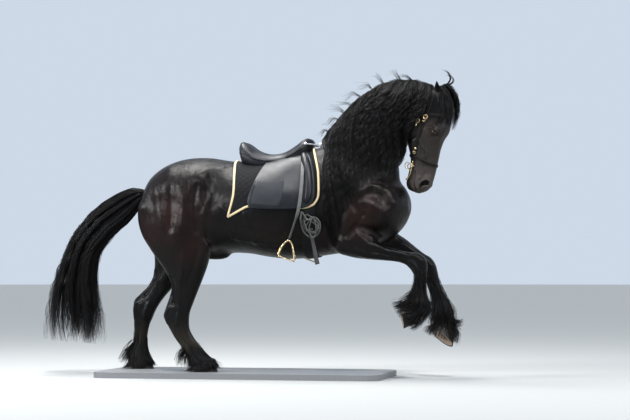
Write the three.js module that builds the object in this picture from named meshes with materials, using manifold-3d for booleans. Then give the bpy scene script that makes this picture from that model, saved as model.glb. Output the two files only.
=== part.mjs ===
// A Friesian stallion in a collected canter stride: both hind feet are down, the forehand is lifted,
// the neck is arched and the head is carried behind the vertical. It wears a saddle and a double bridle.
// Millimetres, +X towards the horse's front, +Y to its left side, +Z up. The origin is the middle of the
// underside of the base. Heights of the horse are measured from the base's top.
import * as THREE from "three";
import { mergeVertices } from "three/addons/utils/BufferGeometryUtils.js";
import Module from "manifold-3d";

const wasm = await Module();
wasm.setup();
const { Manifold, Mesh } = wasm;

// Driving sizes.
const GAP = 0.3; // left between pieces that touch
const BASE_LENGTH = 1840;
const BASE_WIDTH = 760;
const BASE_THICKNESS = 36;
const BASE_CORNER = 90;
const EYE_RADIUS = 23;
const STRAP_THICKNESS = 5;
const FINE = 0.12; // detail below this is left out of every piece
const LOCK_COARSE = 2.4; // joined locks lose detail finer than this
const CLOTH_THICKNESS = 11;
const FLAP_THICKNESS = 9;

// Colours and finishes.
const finish = (color, roughness, metalness = 0) => new THREE.MeshStandardMaterial({ color, roughness, metalness });
const COAT = finish(0x15110f, 0.42);
const HAIR = finish(0x111011, 0.5);
const HORN = finish(0x6b5a4c, 0.6);
const EYE = finish(0x1a0f08, 0.08);
const LEATHER = finish(0x17181b, 0.45);
const CLOTH = finish(0x0c0d10, 0.9);
const BINDING = finish(0xcdbb90, 0.7);
const BRASS = finish(0xb9924a, 0.3, 1);
const STEEL = finish(0xb8b6b0, 0.25, 1);
const BASE_PAINT = finish(0x8d8b85, 0.6);

// Shapes.

const clamp = (x, low, high) => Math.min(high, Math.max(low, x));
const smooth = (x) => {
  const t = clamp(x, 0, 1);
  return t * t * (3 - 2 * t);
};
const mix = (a, b, t) => a + (b - a) * t;

// A value between rows of numbers, on a Catmull-Rom curve through the rows.
function between(rows, v) {
  const last = rows.length - 1;
  const i = clamp(Math.floor(v), 0, last - 1);
  const t = v - i;
  const [p, q, r, s] = [i - 1, i, i + 1, i + 2].map((k) => rows[clamp(k, 0, last)]);
  return q.map(
    (_, k) =>
      0.5 *
      (2 * q[k] +
        (r[k] - p[k]) * t +
        (2 * p[k] - 5 * q[k] + 4 * r[k] - s[k]) * t * t +
        (3 * q[k] - p[k] - 3 * r[k] + s[k]) * t * t * t),
  );
}

// A body form is a list of sections. Each crosses the body from an outline point a to an outline point b
// in the side view: a.x, a.z, b.x, b.z, side offset y, half width, share of the way from b to a where
// it is widest, squareness of the a half, squareness of the b half (2 is an ellipse).
const [AX, AZ, BX, BZ, SIDE, WIDE, WIDEST, SQUARE_A, SQUARE_B] = [0, 1, 2, 3, 4, 5, 6, 7, 8];

const power = (x, n) => Math.sign(x) * Math.abs(x) ** (2 / n);

// The point of a section at an angle round it: 0 is its left side, a quarter turn is a.
function sectionPoint(row, angle) {
  const c = Math.cos(angle);
  const s = Math.sin(angle);
  const n = s >= 0 ? row[SQUARE_A] : row[SQUARE_B];
  const deep = s >= 0 ? 1 - row[WIDEST] : row[WIDEST];
  const share = row[WIDEST] + deep * power(s, n);
  return new THREE.Vector3(
    mix(row[BX], row[AX], share),
    row[SIDE] + row[WIDE] * power(c, n),
    mix(row[BZ], row[AZ], share),
  );
}

// Strokes are long swellings (or hollows) of muscle and bone seen from the side: two ends, radius, height.
function swell(point, side, strokes) {
  const out = Math.sign(point.y - side);
  for (const [x1, z1, x2, z2, radius, height] of strokes) {
    const dx = x2 - x1;
    const dz = z2 - z1;
    const t = clamp(((point.x - x1) * dx + (point.z - z1) * dz) / (dx * dx + dz * dz + 1e-9), 0, 1);
    const far = Math.hypot(point.x - x1 - t * dx, point.z - z1 - t * dz) / radius;
    point.y += out * height * Math.exp(-far * far);
  }
}

// A closed mesh through the sections: rings of points, with a point in the middle of each end.
function form(rows, rings, sides, strokes = []) {
  const points = [];
  const faces = [];
  for (let i = 0; i < rings; i++) {
    const row = between(rows, (i / (rings - 1)) * (rows.length - 1));
    for (let j = 0; j < sides; j++) {
      const p = sectionPoint(row, ((j + 0.5) / sides) * 2 * Math.PI);
      swell(p, row[SIDE], strokes);
      points.push(p);
    }
  }
  for (let i = 0; i < rings - 1; i++)
    for (let j = 0; j < sides; j++) {
      const [p, q] = [i * sides + j, i * sides + ((j + 1) % sides)];
      const onLeft = Math.cos(((j + 1) / sides) * 2 * Math.PI) > 0;
      if (onLeft) faces.push(p, q, q + sides, p, q + sides, p + sides);
      else faces.push(p, q, p + sides, q, q + sides, p + sides);
    }
  for (const [first, turn] of [[0, 1], [(rings - 1) * sides, 0]]) {
    const ring = points.slice(first, first + sides);
    const middle = ring.reduce((sum, p) => sum.add(p), new THREE.Vector3()).divideScalar(sides);
    points.push(middle);
    for (let j = 0; j < sides; j++) {
      const [p, q] = [first + j, first + ((j + 1) % sides)];
      faces.push(...(turn ? [q, p] : [p, q]), points.length - 1);
    }
  }
  return solid(points, faces);
}

// A solid from points and triangles, turned so that its faces point out.
function solid(points, faces) {
  const flat = new Float32Array(points.flatMap((p) => [p.x, p.y, p.z]));
  const make = (tris) => new Manifold(new Mesh({ numProp: 3, vertProperties: flat, triVerts: new Uint32Array(tris) }));
  const made = make(faces);
  return made.volume() > 0 ? made : make([...faces].reverse());
}

// A three.js geometry as a solid.
function solidOf(geometry, matrix = new THREE.Matrix4()) {
  const plain = new THREE.BufferGeometry();
  plain.setAttribute("position", geometry.getAttribute("position").clone());
  if (geometry.index) plain.setIndex(geometry.index.clone());
  const merged = mergeVertices(plain.applyMatrix4(matrix), 1e-3);
  return new Manifold(
    new Mesh({
      numProp: 3,
      vertProperties: merged.attributes.position.array,
      triVerts: new Uint32Array(merged.index.array),
    }),
  );
}

// A solid as a three.js geometry.
function geometryOf(made) {
  const mesh = made.getMesh();
  const flat = new Float32Array(mesh.numVert * 3);
  for (let i = 0; i < mesh.numVert; i++)
    flat.set(mesh.vertProperties.subarray(i * mesh.numProp, i * mesh.numProp + 3), i * 3);
  const geometry = new THREE.BufferGeometry();
  geometry.setAttribute("position", new THREE.BufferAttribute(flat, 3));
  geometry.setIndex(new THREE.BufferAttribute(new Uint32Array(mesh.triVerts), 1));
  return geometry;
}

// The same solid with every face moved outwards by at least a distance. A corner moves along the mean of
// its faces' directions, further where the corner is sharp.
function grown(made, distance) {
  const geometry = geometryOf(made);
  geometry.computeVertexNormals();
  const { position, normal } = geometry.attributes;
  const index = geometry.index.array;
  const least = new Float32Array(position.count).fill(1);
  const corner = [0, 1, 2].map(() => new THREE.Vector3());
  const face = new THREE.Vector3();
  const mean = new THREE.Vector3();
  for (let i = 0; i < index.length; i += 3) {
    corner.forEach((v, k) => v.fromBufferAttribute(position, index[i + k]));
    THREE.Triangle.getNormal(...corner, face);
    for (let k = 0; k < 3; k++) {
      const v = index[i + k];
      least[v] = Math.min(least[v], face.dot(mean.fromBufferAttribute(normal, v)));
    }
  }
  for (let i = 0; i < position.count; i++) {
    const far = distance / Math.max(least[i], 0.4);
    position.setXYZ(
      i,
      position.getX(i) + normal.getX(i) * far,
      position.getY(i) + normal.getY(i) * far,
      position.getZ(i) + normal.getZ(i) * far,
    );
  }
  return new Manifold(
    new Mesh({ numProp: 3, vertProperties: position.array, triVerts: new Uint32Array(index) }),
  );
}

// The largest closed piece of a solid.
const largest = (made) => made.decompose().reduce((a, b) => (a.volume() > b.volume() ? a : b));

// A solid with others cut out of it, a gap left all round.
const cutBy = (made, ...others) => others.reduce((rest, other) => rest.subtract(grown(other, GAP + FINE)), made);

// An outline in the side view (x, z), filled from side offset y1 to y2.
function slab(outline, y1 = -900, y2 = 900) {
  const shape = new THREE.Shape(outline.map(([x, z]) => new THREE.Vector2(x, z)));
  const geometry = new THREE.ExtrudeGeometry(shape, { depth: y2 - y1, bevelEnabled: false, curveSegments: 6 });
  return solidOf(geometry, new THREE.Matrix4().makeRotationX(Math.PI / 2).setPosition(0, y2, 0));
}

// A band of a given width along a line in the side view.
function band(line, width) {
  const path = line.map(([x, z]) => new THREE.Vector2(x, z));
  const edge = (turn) =>
    path.map((p, i) => {
      const along = path[Math.min(i + 1, path.length - 1)].clone().sub(path[Math.max(i - 1, 0)]).normalize();
      return [p.x - along.y * turn * width * 0.5, p.y + along.x * turn * width * 0.5];
    });
  return [...edge(1), ...edge(-1).reverse()];
}

function ball(x, y, z, rx, ry, rz, detail = 12) {
  const matrix = new THREE.Matrix4().makeScale(rx, ry, rz).setPosition(x, y, z);
  return solidOf(new THREE.SphereGeometry(1, detail, Math.ceil(detail * 0.6)), matrix);
}

const LEFT = 1;
const RIGHT = -1;
const SIDES = [["right", RIGHT], ["left", LEFT]];
const mirrored = (made) => made.mirror([0, 1, 0]);
const onSide = (made, sign) => (sign === RIGHT ? made : mirrored(made));

// Torso.

const TORSO_SECTIONS = [
  // a.x, a.z, b.x, b.z, side, half width, widest, squareness a, b
  [-682, 1105, -672, 985, 0, 62, 0.5, 2, 2],
  [-655, 1182, -650, 880, 0, 158, 0.5, 2.1, 2],
  [-600, 1260, -600, 820, 0, 222, 0.47, 2.2, 2],
  [-500, 1324, -510, 775, 0, 268, 0.47, 2.3, 2],
  [-380, 1359, -400, 748, 0, 288, 0.48, 2.2, 2],
  [-245, 1364, -250, 742, 0, 292, 0.49, 2.1, 2.1],
  [-120, 1346, -110, 752, 0, 288, 0.48, 2, 2.2],
  [20, 1326, 30, 746, 0, 308, 0.45, 2, 2.2],
  [150, 1332, 160, 724, 0, 318, 0.45, 2, 2.2],
  [280, 1362, 290, 712, 0, 304, 0.45, 1.9, 2.2],
  [400, 1402, 410, 718, 0, 272, 0.43, 1.7, 2.2],
  [520, 1425, 520, 734, 0, 256, 0.42, 1.7, 2.1],
  [640, 1412, 640, 752, 0, 262, 0.42, 1.9, 2],
  [760, 1372, 760, 775, 0, 258, 0.44, 2, 2],
  [860, 1312, 870, 812, 0, 238, 0.46, 2, 2.1],
  [950, 1235, 960, 858, 0, 200, 0.48, 2, 2.2],
  [1022, 1168, 1022, 922, 0, 146, 0.5, 2, 2.2],
  [1058, 1098, 1060, 998, 0, 66, 0.5, 2, 2],
];
const TORSO_STROKES = [
  // x1, z1, x2, z2, radius, height
  [980, 1060, 760, 850, 80, 16], // point of the shoulder and the arm
  [700, 900, 640, 830, 70, 20], // the three-headed muscle over the elbow
  [780, 1290, 900, 1100, 30, 8], // ridge of the shoulder blade
  [600, 1250, 640, 950, 45, -10], // hollow behind the shoulder
  [-170, 1180, -250, 1080, 70, -16], // flank in front of the hip
  [-330, 1260, -520, 1150, 90, 14], // croup
  [-215, 1225, -235, 1190, 45, 12], // point of the hip
  [950, 1020, 930, 960, 60, 14], // breast
];
const torsoFlesh = form(TORSO_SECTIONS, 21, 14, TORSO_STROKES);
const sheath = ball(-200, 0, 742, 95, 48, 34, 10);

// Neck.

const NECK_SECTIONS = [
  [450, 1385, 880, 950, 0, 150, 0.45, 1.8, 2],
  [500, 1428, 975, 1100, 0, 176, 0.44, 1.8, 2],
  [585, 1555, 992, 1225, 0, 158, 0.43, 1.8, 2.1],
  [698, 1664, 985, 1325, 0, 126, 0.43, 1.9, 2.1],
  [808, 1744, 990, 1398, 0, 108, 0.46, 2, 2.1],
  [918, 1796, 1006, 1460, 0, 98, 0.5, 2, 2.1],
  [1010, 1814, 1040, 1510, 0, 92, 0.52, 2, 2.1],
  [1095, 1808, 1092, 1545, 0, 84, 0.52, 2.1, 2.1],
  [1172, 1782, 1150, 1580, 0, 66, 0.52, 2.1, 2],
];
const neckFlesh = form(NECK_SECTIONS, 11, 16);

// Head.

// The head's own directions: s runs down the face from the poll, t forwards from it.
const POLL = [1234, 1772];
const FACE_LEAN = THREE.MathUtils.degToRad(18.6); // how far the nose is carried behind the vertical
const headX = (s, t) => POLL[0] - Math.sin(FACE_LEAN) * s + Math.cos(FACE_LEAN) * t;
const headZ = (s, t) => POLL[1] - Math.cos(FACE_LEAN) * s - Math.sin(FACE_LEAN) * t;
const headPoint = (s, t) => [headX(s, t), headZ(s, t)];
const HEAD_SECTIONS = [
  // s and t on the face, s and t under the jaw, half width, widest, squareness face, jaw
  [-14, 0, -6, -110, 40, 0.5, 2, 2],
  [6, 52, 8, -138, 70, 0.55, 2.2, 2.2],
  [48, 104, 56, -160, 88, 0.6, 2.3, 2.3],
  [108, 132, 128, -168, 95, 0.62, 2.4, 2.3],
  [172, 149, 198, -162, 101, 0.66, 2.5, 2.2],
  [232, 155, 262, -146, 106, 0.7, 2.6, 2.2],
  [286, 141, 320, -116, 99, 0.7, 2.6, 2.2],
  [350, 139, 380, -74, 82, 0.68, 2.6, 2.3],
  [410, 146, 436, -38, 68, 0.62, 2.6, 2.4],
  [470, 153, 490, -16, 59, 0.56, 2.6, 2.4],
  [530, 157, 545, -10, 56, 0.54, 2.6, 2.4],
  [580, 156, 592, -6, 60, 0.56, 2.7, 2.3],
  [612, 146, 622, 0, 58, 0.55, 2.6, 2.2],
  [636, 124, 648, 22, 46, 0.52, 2.4, 2.2],
  [650, 100, 655, 56, 24, 0.5, 2, 2],
].map(([sa, ta, sb, tb, wide, widest, na, nb]) => [...headPoint(sa, ta), ...headPoint(sb, tb), 0, wide, widest, na, nb]);
const headStroke = (s1, t1, s2, t2, radius, height) => [...headPoint(s1, t1), ...headPoint(s2, t2), radius, height];
const HEAD_STROKES = [
  headStroke(200, -80, 300, -60, 55, 12), // round cheek
  headStroke(255, 18, 400, 70, 16, 7), // facial crest
  headStroke(215, 118, 285, 118, 16, 9), // brow over the eye
  headStroke(180, 70, 200, 60, 22, -9), // hollow above the eye
  headStroke(300, 118, 420, 118, 26, -6), // side of the nose
  headStroke(560, 118, 600, 108, 20, 8), // wing of the nostril
];
const EYE_AT = [258, 80]; // s and t
const NOSTRIL_AT = [588, 104];
const NOSTRIL_SIDE = 50;
const MOUTH_LINE = [[666, 98], [606, 57], [522, 34]];
const MOUTH_WIDTH = 4;

function headFlesh() {
  let made = headPlain;
  const eyeSide = sideOfHead(...EYE_AT);
  const [eyeX, eyeZ] = headPoint(...EYE_AT);
  const lean = new THREE.Matrix4().makeRotationY(FACE_LEAN);
  for (const sign of [RIGHT, LEFT]) {
    const lids = ball(eyeX, sign * (eyeSide - 12), eyeZ, 27, 22, 33, 8);
    const opening = ball(0, 0, 0, 8.5, 40, 19, 8).transform(matrixList(lean.clone().setPosition(eyeX, sign * (eyeSide + 14), eyeZ)));
    const eye = ball(eyeX, sign * (eyeSide - 12), eyeZ, EYE_RADIUS + GAP, EYE_RADIUS - 3 + GAP, EYE_RADIUS + GAP, 8);
    made = made.add(lids).subtract(opening).subtract(eye);
    const [nx, nz] = headPoint(...NOSTRIL_AT);
    const hole = ball(0, 0, 0, 9, 26, 21, 6).transform(
      matrixList(new THREE.Matrix4().makeRotationY(FACE_LEAN + 0.7).setPosition(nx, sign * (NOSTRIL_SIDE + 18), nz)),
    );
    made = made.subtract(hole);
  }
  const mouth = slab(band(MOUTH_LINE.map(([s, t]) => headPoint(s, t)), MOUTH_WIDTH), -120, 120);
  return made.subtract(mouth);
}

const sideless = ([x, z]) => [x, 0, z];
const matrixList = (matrix) => matrix.elements;

// Half the width of a form at a point of the side view, when its skin is moved out by a distance.
function halfWidth(rows, x, z, out = 0) {
  const steps = rows.length * 6;
  let widest = 0;
  let before = null;
  for (let i = 0; i <= steps; i++) {
    const row = between(rows, (i / steps) * (rows.length - 1));
    const [ux, uz] = [row[AX] - row[BX], row[AZ] - row[BZ]];
    const long = Math.hypot(ux, uz);
    const across = (ux * (z - row[BZ]) - uz * (x - row[BX])) / long;
    const along = (ux * (x - row[BX]) + uz * (z - row[BZ])) / long;
    if (before && before.across * across <= 0) {
      const middle = row[WIDEST] * long;
      const above = along > middle;
      const deep = (above ? long - middle : middle) + out;
      const share = Math.abs(along - middle) / deep;
      const n = above ? row[SQUARE_A] : row[SQUARE_B];
      if (share < 1) widest = Math.max(widest, (row[WIDE] + out) * (1 - share ** n) ** (1 / n));
    }
    before = { across };
  }
  return widest;
}
const sideOfHead = (s, t, out = 0) => halfWidth(HEAD_SECTIONS, ...headPoint(s, t), out);

const headPlain = form(HEAD_SECTIONS, 17, 14, HEAD_STROKES);
const headWhole = headFlesh();

// Legs.

const FORE_RIGHT = [
  [800, 1010, 600, 890, -150, 60, 0.5, 2, 2],
  [800, 925, 612, 765, -172, 88, 0.5, 2, 2],
  [862, 842, 715, 722, -176, 84, 0.5, 2, 2],
  [940, 793, 815, 708, -174, 74, 0.5, 2, 2],
  [1020, 766, 915, 700, -170, 60, 0.5, 2, 2],
  [1085, 755, 1000, 692, -166, 50, 0.5, 2.2, 2],
  [1140, 748, 1052, 676, -164, 48, 0.5, 2.4, 2.2],
  [1178, 722, 1080, 652, -163, 49, 0.5, 2.5, 2.2],
  [1194, 678, 1096, 630, -162, 47, 0.5, 2.5, 2.2],
  [1192, 628, 1110, 600, -161, 40, 0.5, 2.2, 2.2],
  [1184, 570, 1113, 560, -160, 29, 0.5, 2, 2.2],
  [1182, 515, 1110, 510, -159, 27, 0.5, 2, 2.2],
  [1188, 474, 1104, 470, -158, 32, 0.5, 2, 2.2],
  [1202, 436, 1094, 452, -157, 40, 0.5, 2, 2.2],
  [1194, 390, 1086, 436, -156, 36, 0.5, 2, 2.1],
  [1158, 346, 1080, 424, -155, 37, 0.5, 2, 2.1],
  [1116, 315, 1058, 421, -154, 49, 0.5, 2, 2],
];
const FORE_LEFT = [
  [830, 1050, 640, 910, 145, 60, 0.5, 2, 2],
  [852, 965, 690, 805, 166, 86, 0.5, 2, 2],
  [925, 895, 780, 748, 170, 82, 0.5, 2, 2],
  [1005, 842, 888, 715, 166, 72, 0.5, 2, 2],
  [1072, 788, 980, 692, 160, 60, 0.5, 2, 2],
  [1122, 750, 1040, 672, 155, 51, 0.5, 2.2, 2],
  [1168, 722, 1080, 648, 152, 49, 0.5, 2.4, 2.2],
  [1198, 680, 1104, 622, 150, 49, 0.5, 2.5, 2.2],
  [1212, 630, 1120, 588, 150, 46, 0.5, 2.4, 2.2],
  [1224, 575, 1142, 548, 150, 38, 0.5, 2.2, 2.2],
  [1242, 520, 1170, 498, 150, 29, 0.5, 2, 2.2],
  [1264, 468, 1186, 446, 150, 29, 0.5, 2, 2.2],
  [1292, 420, 1188, 398, 150, 38, 0.5, 2, 2.2],
  [1304, 375, 1190, 358, 150, 41, 0.5, 2, 2.2],
  [1306, 325, 1208, 320, 150, 36, 0.5, 2, 2.1],
  [1312, 280, 1204, 300, 150, 40, 0.5, 2, 2.1],
  [1319, 248, 1196, 288, 150, 50, 0.5, 2, 2],
];
const HIND_RIGHT = [
  [-170, 1170, -560, 1190, -150, 60, 0.5, 2, 2],
  [-130, 1060, -655, 1070, -170, 104, 0.5, 2, 2.2],
  [-130, 955, -668, 965, -176, 116, 0.48, 2, 2.2],
  [-148, 855, -640, 862, -180, 113, 0.48, 2, 2.1],
  [-178, 766, -590, 782, -182, 102, 0.5, 2, 2],
  [-204, 680, -535, 702, -180, 88, 0.52, 2, 2],
  [-238, 592, -480, 622, -175, 72, 0.54, 2, 2],
  [-275, 505, -448, 545, -170, 57, 0.56, 2, 2],
  [-306, 430, -462, 475, -166, 45, 0.58, 2.2, 2],
  [-328, 372, -488, 402, -164, 42, 0.6, 2.4, 2],
  [-334, 322, -502, 348, -162, 43, 0.6, 2.4, 2.2],
  [-331, 274, -474, 290, -160, 42, 0.56, 2.3, 2.2],
  [-312, 232, -432, 216, -158, 35, 0.54, 2, 2.2],
  [-274, 176, -384, 150, -155, 31, 0.54, 2, 2.2],
  [-236, 124, -344, 98, -152, 35, 0.52, 2, 2.2],
  [-210, 92, -325, 58, -150, 43, 0.5, 2, 2.2],
  [-193, 76, -306, 36, -148, 46, 0.5, 2, 2.1],
  [-182, 67, -298, 28, -148, 50, 0.5, 2, 2],
];
const HIND_LEFT = [
  [-190, 1170, -560, 1190, 150, 60, 0.5, 2, 2],
  [-170, 1060, -655, 1070, 170, 104, 0.5, 2, 2.2],
  [-190, 955, -680, 960, 176, 114, 0.48, 2, 2.2],
  [-235, 855, -685, 868, 179, 110, 0.48, 2, 2.1],
  [-295, 768, -676, 792, 180, 100, 0.5, 2, 2],
  [-372, 684, -666, 722, 178, 86, 0.52, 2, 2],
  [-450, 608, -665, 655, 174, 71, 0.54, 2, 2],
  [-522, 542, -676, 592, 170, 56, 0.56, 2, 2],
  [-580, 482, -712, 532, 166, 45, 0.58, 2.2, 2],
  [-622, 428, -762, 484, 163, 42, 0.6, 2.4, 2],
  [-652, 378, -800, 440, 161, 43, 0.6, 2.4, 2.2],
  [-672, 330, -802, 366, 160, 42, 0.56, 2.3, 2.2],
  [-692, 284, -800, 302, 160, 36, 0.54, 2, 2.2],
  [-706, 214, -798, 222, 158, 31, 0.54, 2, 2.2],
  [-708, 150, -800, 152, 156, 35, 0.52, 2, 2.2],
  [-700, 98, -814, 100, 154, 43, 0.5, 2, 2.2],
  [-694, 74, -806, 56, 153, 47, 0.5, 2, 2.1],
  [-692, 64, -802, 40, 152, 50, 0.5, 2, 2],
];
const HIND_STROKES = [
  [-560, 1080, -600, 850, 34, -9], // groove between the hamstring muscles
  [-430, 1080, -420, 860, 90, 14], // the broad two-headed muscle
  [-215, 800, -200, 740, 40, 12], // kneecap
];

const FORE_SPLIT = 8.4; // the section below the knee where the leg is parted
const HIND_SPLIT = 10.6; // the section below the hock

// A hoof: from the coronet down to the flat sole. Toe and heel points, then half widths.
function hoof(coronetToe, coronetHeel, soleToe, soleHeel, side, coronetWide, soleWide) {
  const down = (t, swellToe) => [
    mix(coronetToe[0], soleToe[0], t), mix(coronetToe[1], soleToe[1], t),
    mix(coronetHeel[0], soleHeel[0], t), mix(coronetHeel[1], soleHeel[1], t),
    side, mix(coronetWide, soleWide, t) + swellToe, 0.55, 2, 2.6,
  ];
  return form([down(0, -3), down(0.06, 0), down(0.97, 0), down(1, 0)], 4, 14);
}

const SOLE_WIDE = 64;
const CORONET_WIDE = 52;
const hooves = {
  fore_right: hoof([1112, 312], [1054, 420], [1047, 281], [1020, 410], -154, CORONET_WIDE, SOLE_WIDE),
  fore_left: hoof([1318, 243], [1192, 283], [1307, 163], [1180, 254], 150, CORONET_WIDE, SOLE_WIDE),
  hind_right: hoof([-184, 66], [-296, 30], [-148, 0], [-300, 0], -148, CORONET_WIDE, SOLE_WIDE),
  hind_left: hoof([-694, 66], [-800, 38], [-660, 0], [-812, 0], 152, CORONET_WIDE, SOLE_WIDE),
};

// One body, parted along lines of the side view.

const legForms = {
  fore_right: form(FORE_RIGHT, 20, 10),
  fore_left: form(FORE_LEFT, 20, 10),
  hind_right: form(HIND_RIGHT, 20, 10, HIND_STROKES),
  hind_left: form(HIND_LEFT, 20, 10, HIND_STROKES),
};
const whole = Manifold.union([torsoFlesh, sheath, neckFlesh, headWhole, ...Object.values(legForms)]);
const body = cutBy(whole, ...Object.values(hooves));

const HEAD_AREA = [[1165, 1950], [1122, 1700], [1048, 1600], [1017, 1545], [1012, 1300], [1024, 1215], [1042, 1180],
  [1078, 1138], [1200, 1105], [1600, 1105], [1600, 1950]];
const NECK_AREA = [[425, 1950], [425, 1440], [560, 1330], [760, 1215], [960, 1140], [1090, 1110], [1090, 1560],
  [1100, 1600], [1300, 1950]];
const THIGH_AREA = [[-135, 700], [-150, 830], [-205, 960], [-330, 1045], [-480, 1082], [-600, 1070], [-720, 1020],
  [-1100, 900], [-1100, -100], [-60, -100]];
const FOREARM_RIGHT_AREA = [[575, 690], [598, 800], [680, 872], [800, 896], [885, 872], [960, 838], [1600, 838],
  [1600, -100], [575, -100]];
const FOREARM_LEFT_AREA = [[575, 690], [612, 832], [700, 930], [830, 962], [930, 930], [1010, 880], [1600, 880],
  [1600, -100], [575, -100]];
const CANNON_AREAS = {
  fore_right: [[900, 560], [1080, 578], [1250, 600], [1500, 610], [1500, -100], [900, -100]],
  fore_left: [[1000, 490], [1120, 527], [1260, 566], [1500, 600], [1500, -100], [1000, -100]],
  hind_right: [[-640, 335], [-500, 318], [-330, 296], [0, 250], [0, -100], [-640, -100]],
  hind_left: [[-1100, 370], [-802, 334], [-676, 306], [-400, 250], [-400, -100], [-1100, -100]],
};
const INNER = { fore: 70, hind: 45 }; // how far from the middle the legs are parted from the torso
const beside = (outline, sign, inner) => (sign === LEFT ? slab(outline, inner, 900) : slab(outline, -900, -inner));
const areas = {
  fore_right: beside(FOREARM_RIGHT_AREA, RIGHT, INNER.fore),
  fore_left: beside(FOREARM_LEFT_AREA, LEFT, INNER.fore),
  hind_right: beside(THIGH_AREA, RIGHT, INNER.hind),
  hind_left: beside(THIGH_AREA, LEFT, INNER.hind),
};
const headArea = slab(HEAD_AREA);
const neckArea = slab(NECK_AREA);

const headBare = body.intersect(headArea);
const neckBare = cutBy(body.intersect(neckArea), headArea);
const torso = cutBy(body, headArea, neckArea, ...Object.values(areas));

// Locks of hair.

// A repeatable stream of numbers between 0 and 1.
function stream(seed) {
  let state = seed;
  return () => {
    state = (state * 16807) % 2147483647;
    return state / 2147483647;
  };
}

// A flat tapered lock along a path: three-sided, its flat side in, its ridge out, ending in a point.
function lock(path, out, wide, thick, taper = 2.2) {
  const points = [];
  const faces = [];
  const rings = path.length - 1;
  for (let i = 0; i < rings; i++) {
    const along = path[i + 1].clone().sub(path[Math.max(i - 1, 0)]).normalize();
    const outward = out[i].clone().addScaledVector(along, -out[i].dot(along)).normalize();
    const across = new THREE.Vector3().crossVectors(along, outward);
    const t = i / rings;
    const share = Math.min(1, 0.6 + 1.6 * t) * (1 - t ** taper) ** 0.8;
    points.push(path[i].clone().addScaledVector(across, wide * 0.5 * share));
    points.push(path[i].clone().addScaledVector(across, -wide * 0.5 * share));
    points.push(path[i].clone().addScaledVector(outward, thick * (0.45 + 0.55 * share)));
  }
  points.push(path[rings]);
  for (let i = 0; i < rings - 1; i++)
    for (let j = 0; j < 3; j++) {
      const [p, q] = [i * 3 + j, i * 3 + ((j + 1) % 3)];
      faces.push(p, q, q + 3, p, q + 3, p + 3);
    }
  const last = (rings - 1) * 3;
  faces.push(2, 1, 0, last, last + 1, points.length - 1, last + 1, last + 2, points.length - 1);
  faces.push(last + 2, last, points.length - 1);
  return solid(points, faces);
}

// Points along a smooth curve through a few side-view guides; each guide is [x, z].
function curve(guides, count) {
  const rows = guides.map(([x, z]) => [x, z]);
  return Array.from({ length: count }, (_, i) => between(rows, (i / (count - 1)) * (rows.length - 1)));
}

// How far to the side the horse's skin is at a point of the side view.
function skinAt(x, z, sign, out) {
  let far = Math.max(halfWidth(TORSO_SECTIONS, x, z, out), halfWidth(NECK_SECTIONS, x, z, out));
  far = Math.max(far, halfWidth(HEAD_SECTIONS, x, z, out));
  const leg = sign === RIGHT ? FORE_RIGHT : FORE_LEFT;
  const legWide = halfWidth(leg, x, z, out);
  if (legWide > 0 && x > 500) far = Math.max(far, legWide + Math.abs(leg[3][SIDE]));
  for (const [x1, z1, x2, z2, radius, height] of TORSO_STROKES) {
    const d = Math.hypot(x - (x1 + x2) / 2, z - (z1 + z2) / 2) / (radius + Math.hypot(x2 - x1, z2 - z1) / 2);
    if (far > 100 && height > 0) far += height * Math.exp(-d * d);
  }
  return far;
}

// Mane.

const MANE_LOCKS = 15;
const MANE_POINTS = 6;
const CLEAR_OF_CLOTH = 580;
const MANE_LAYER = 14; // each layer lies this much further out
const CREST = [[1185, 1782], [1120, 1800], [1040, 1806], [950, 1800], [860, 1764], [770, 1715], [690, 1652],
  [620, 1580], [560, 1505], [510, 1440], [470, 1420]];
const MANE_ENDS = [[1050, 1420], [985, 1330], [925, 1262], [850, 1232], [778, 1205], [740, 1120], [705, 1020],
  [668, 935], [628, 845], [594, 730], [575, 800]];

function maneLock(i, random) {
  const u = (i + 0.5 * random()) / MANE_LOCKS;
  const layer = i % 3;
  const root = between(CREST, u * (CREST.length - 1));
  const end = between(MANE_ENDS, u * (MANE_ENDS.length - 1));
  const behind = between(CREST, Math.min(u + 0.16, 1) * (CREST.length - 1));
  const reach = [1, 0.8, 0.58][layer];
  const pull = [behind[0] - 20 - 30 * random(), behind[1] - 40 - 50 * layer];
  const fall = [mix(end[0], behind[0], 0.3) + 25, mix(end[1], behind[1], 0.42)];
  const path = [];
  const out = [];
  for (let k = 0; k < MANE_POINTS; k++) {
    const t = (k / (MANE_POINTS - 1)) * reach;
    const [a, b, c, d] = [(1 - t) ** 3, 3 * t * (1 - t) ** 2, 3 * t * t * (1 - t), t ** 3];
    const wave = 9 * Math.sin(k * 2.4 + i) * Math.min(1, k / 2);
    const z = a * (root[1] - 14) + b * pull[1] + c * fall[1] + d * end[1];
    const free = a * root[0] + b * pull[0] + c * fall[0] + d * end[0] + wave;
    const x = z < 1400 ? Math.max(free, CLEAR_OF_CLOTH) : free;
    const off = 6 + MANE_LAYER * layer * Math.min(1, k / 3);
    const side = skinAt(x, z, RIGHT, off);
    path.push(new THREE.Vector3(x, k === 0 ? 12 : -Math.max(side, off), z));
    out.push(new THREE.Vector3(0, -smooth(k / 2.5), 1 - smooth(k / 2.5)));
  }
  for (let k = 2; k < MANE_POINTS - 1; k++)
    path[k].y = Math.min(path[k].y, 0.5 * (path[k - 1].y + path[k + 1].y));
  return lock(path, out, 98 - 12 * layer + 8 * random(), 12);
}

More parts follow.
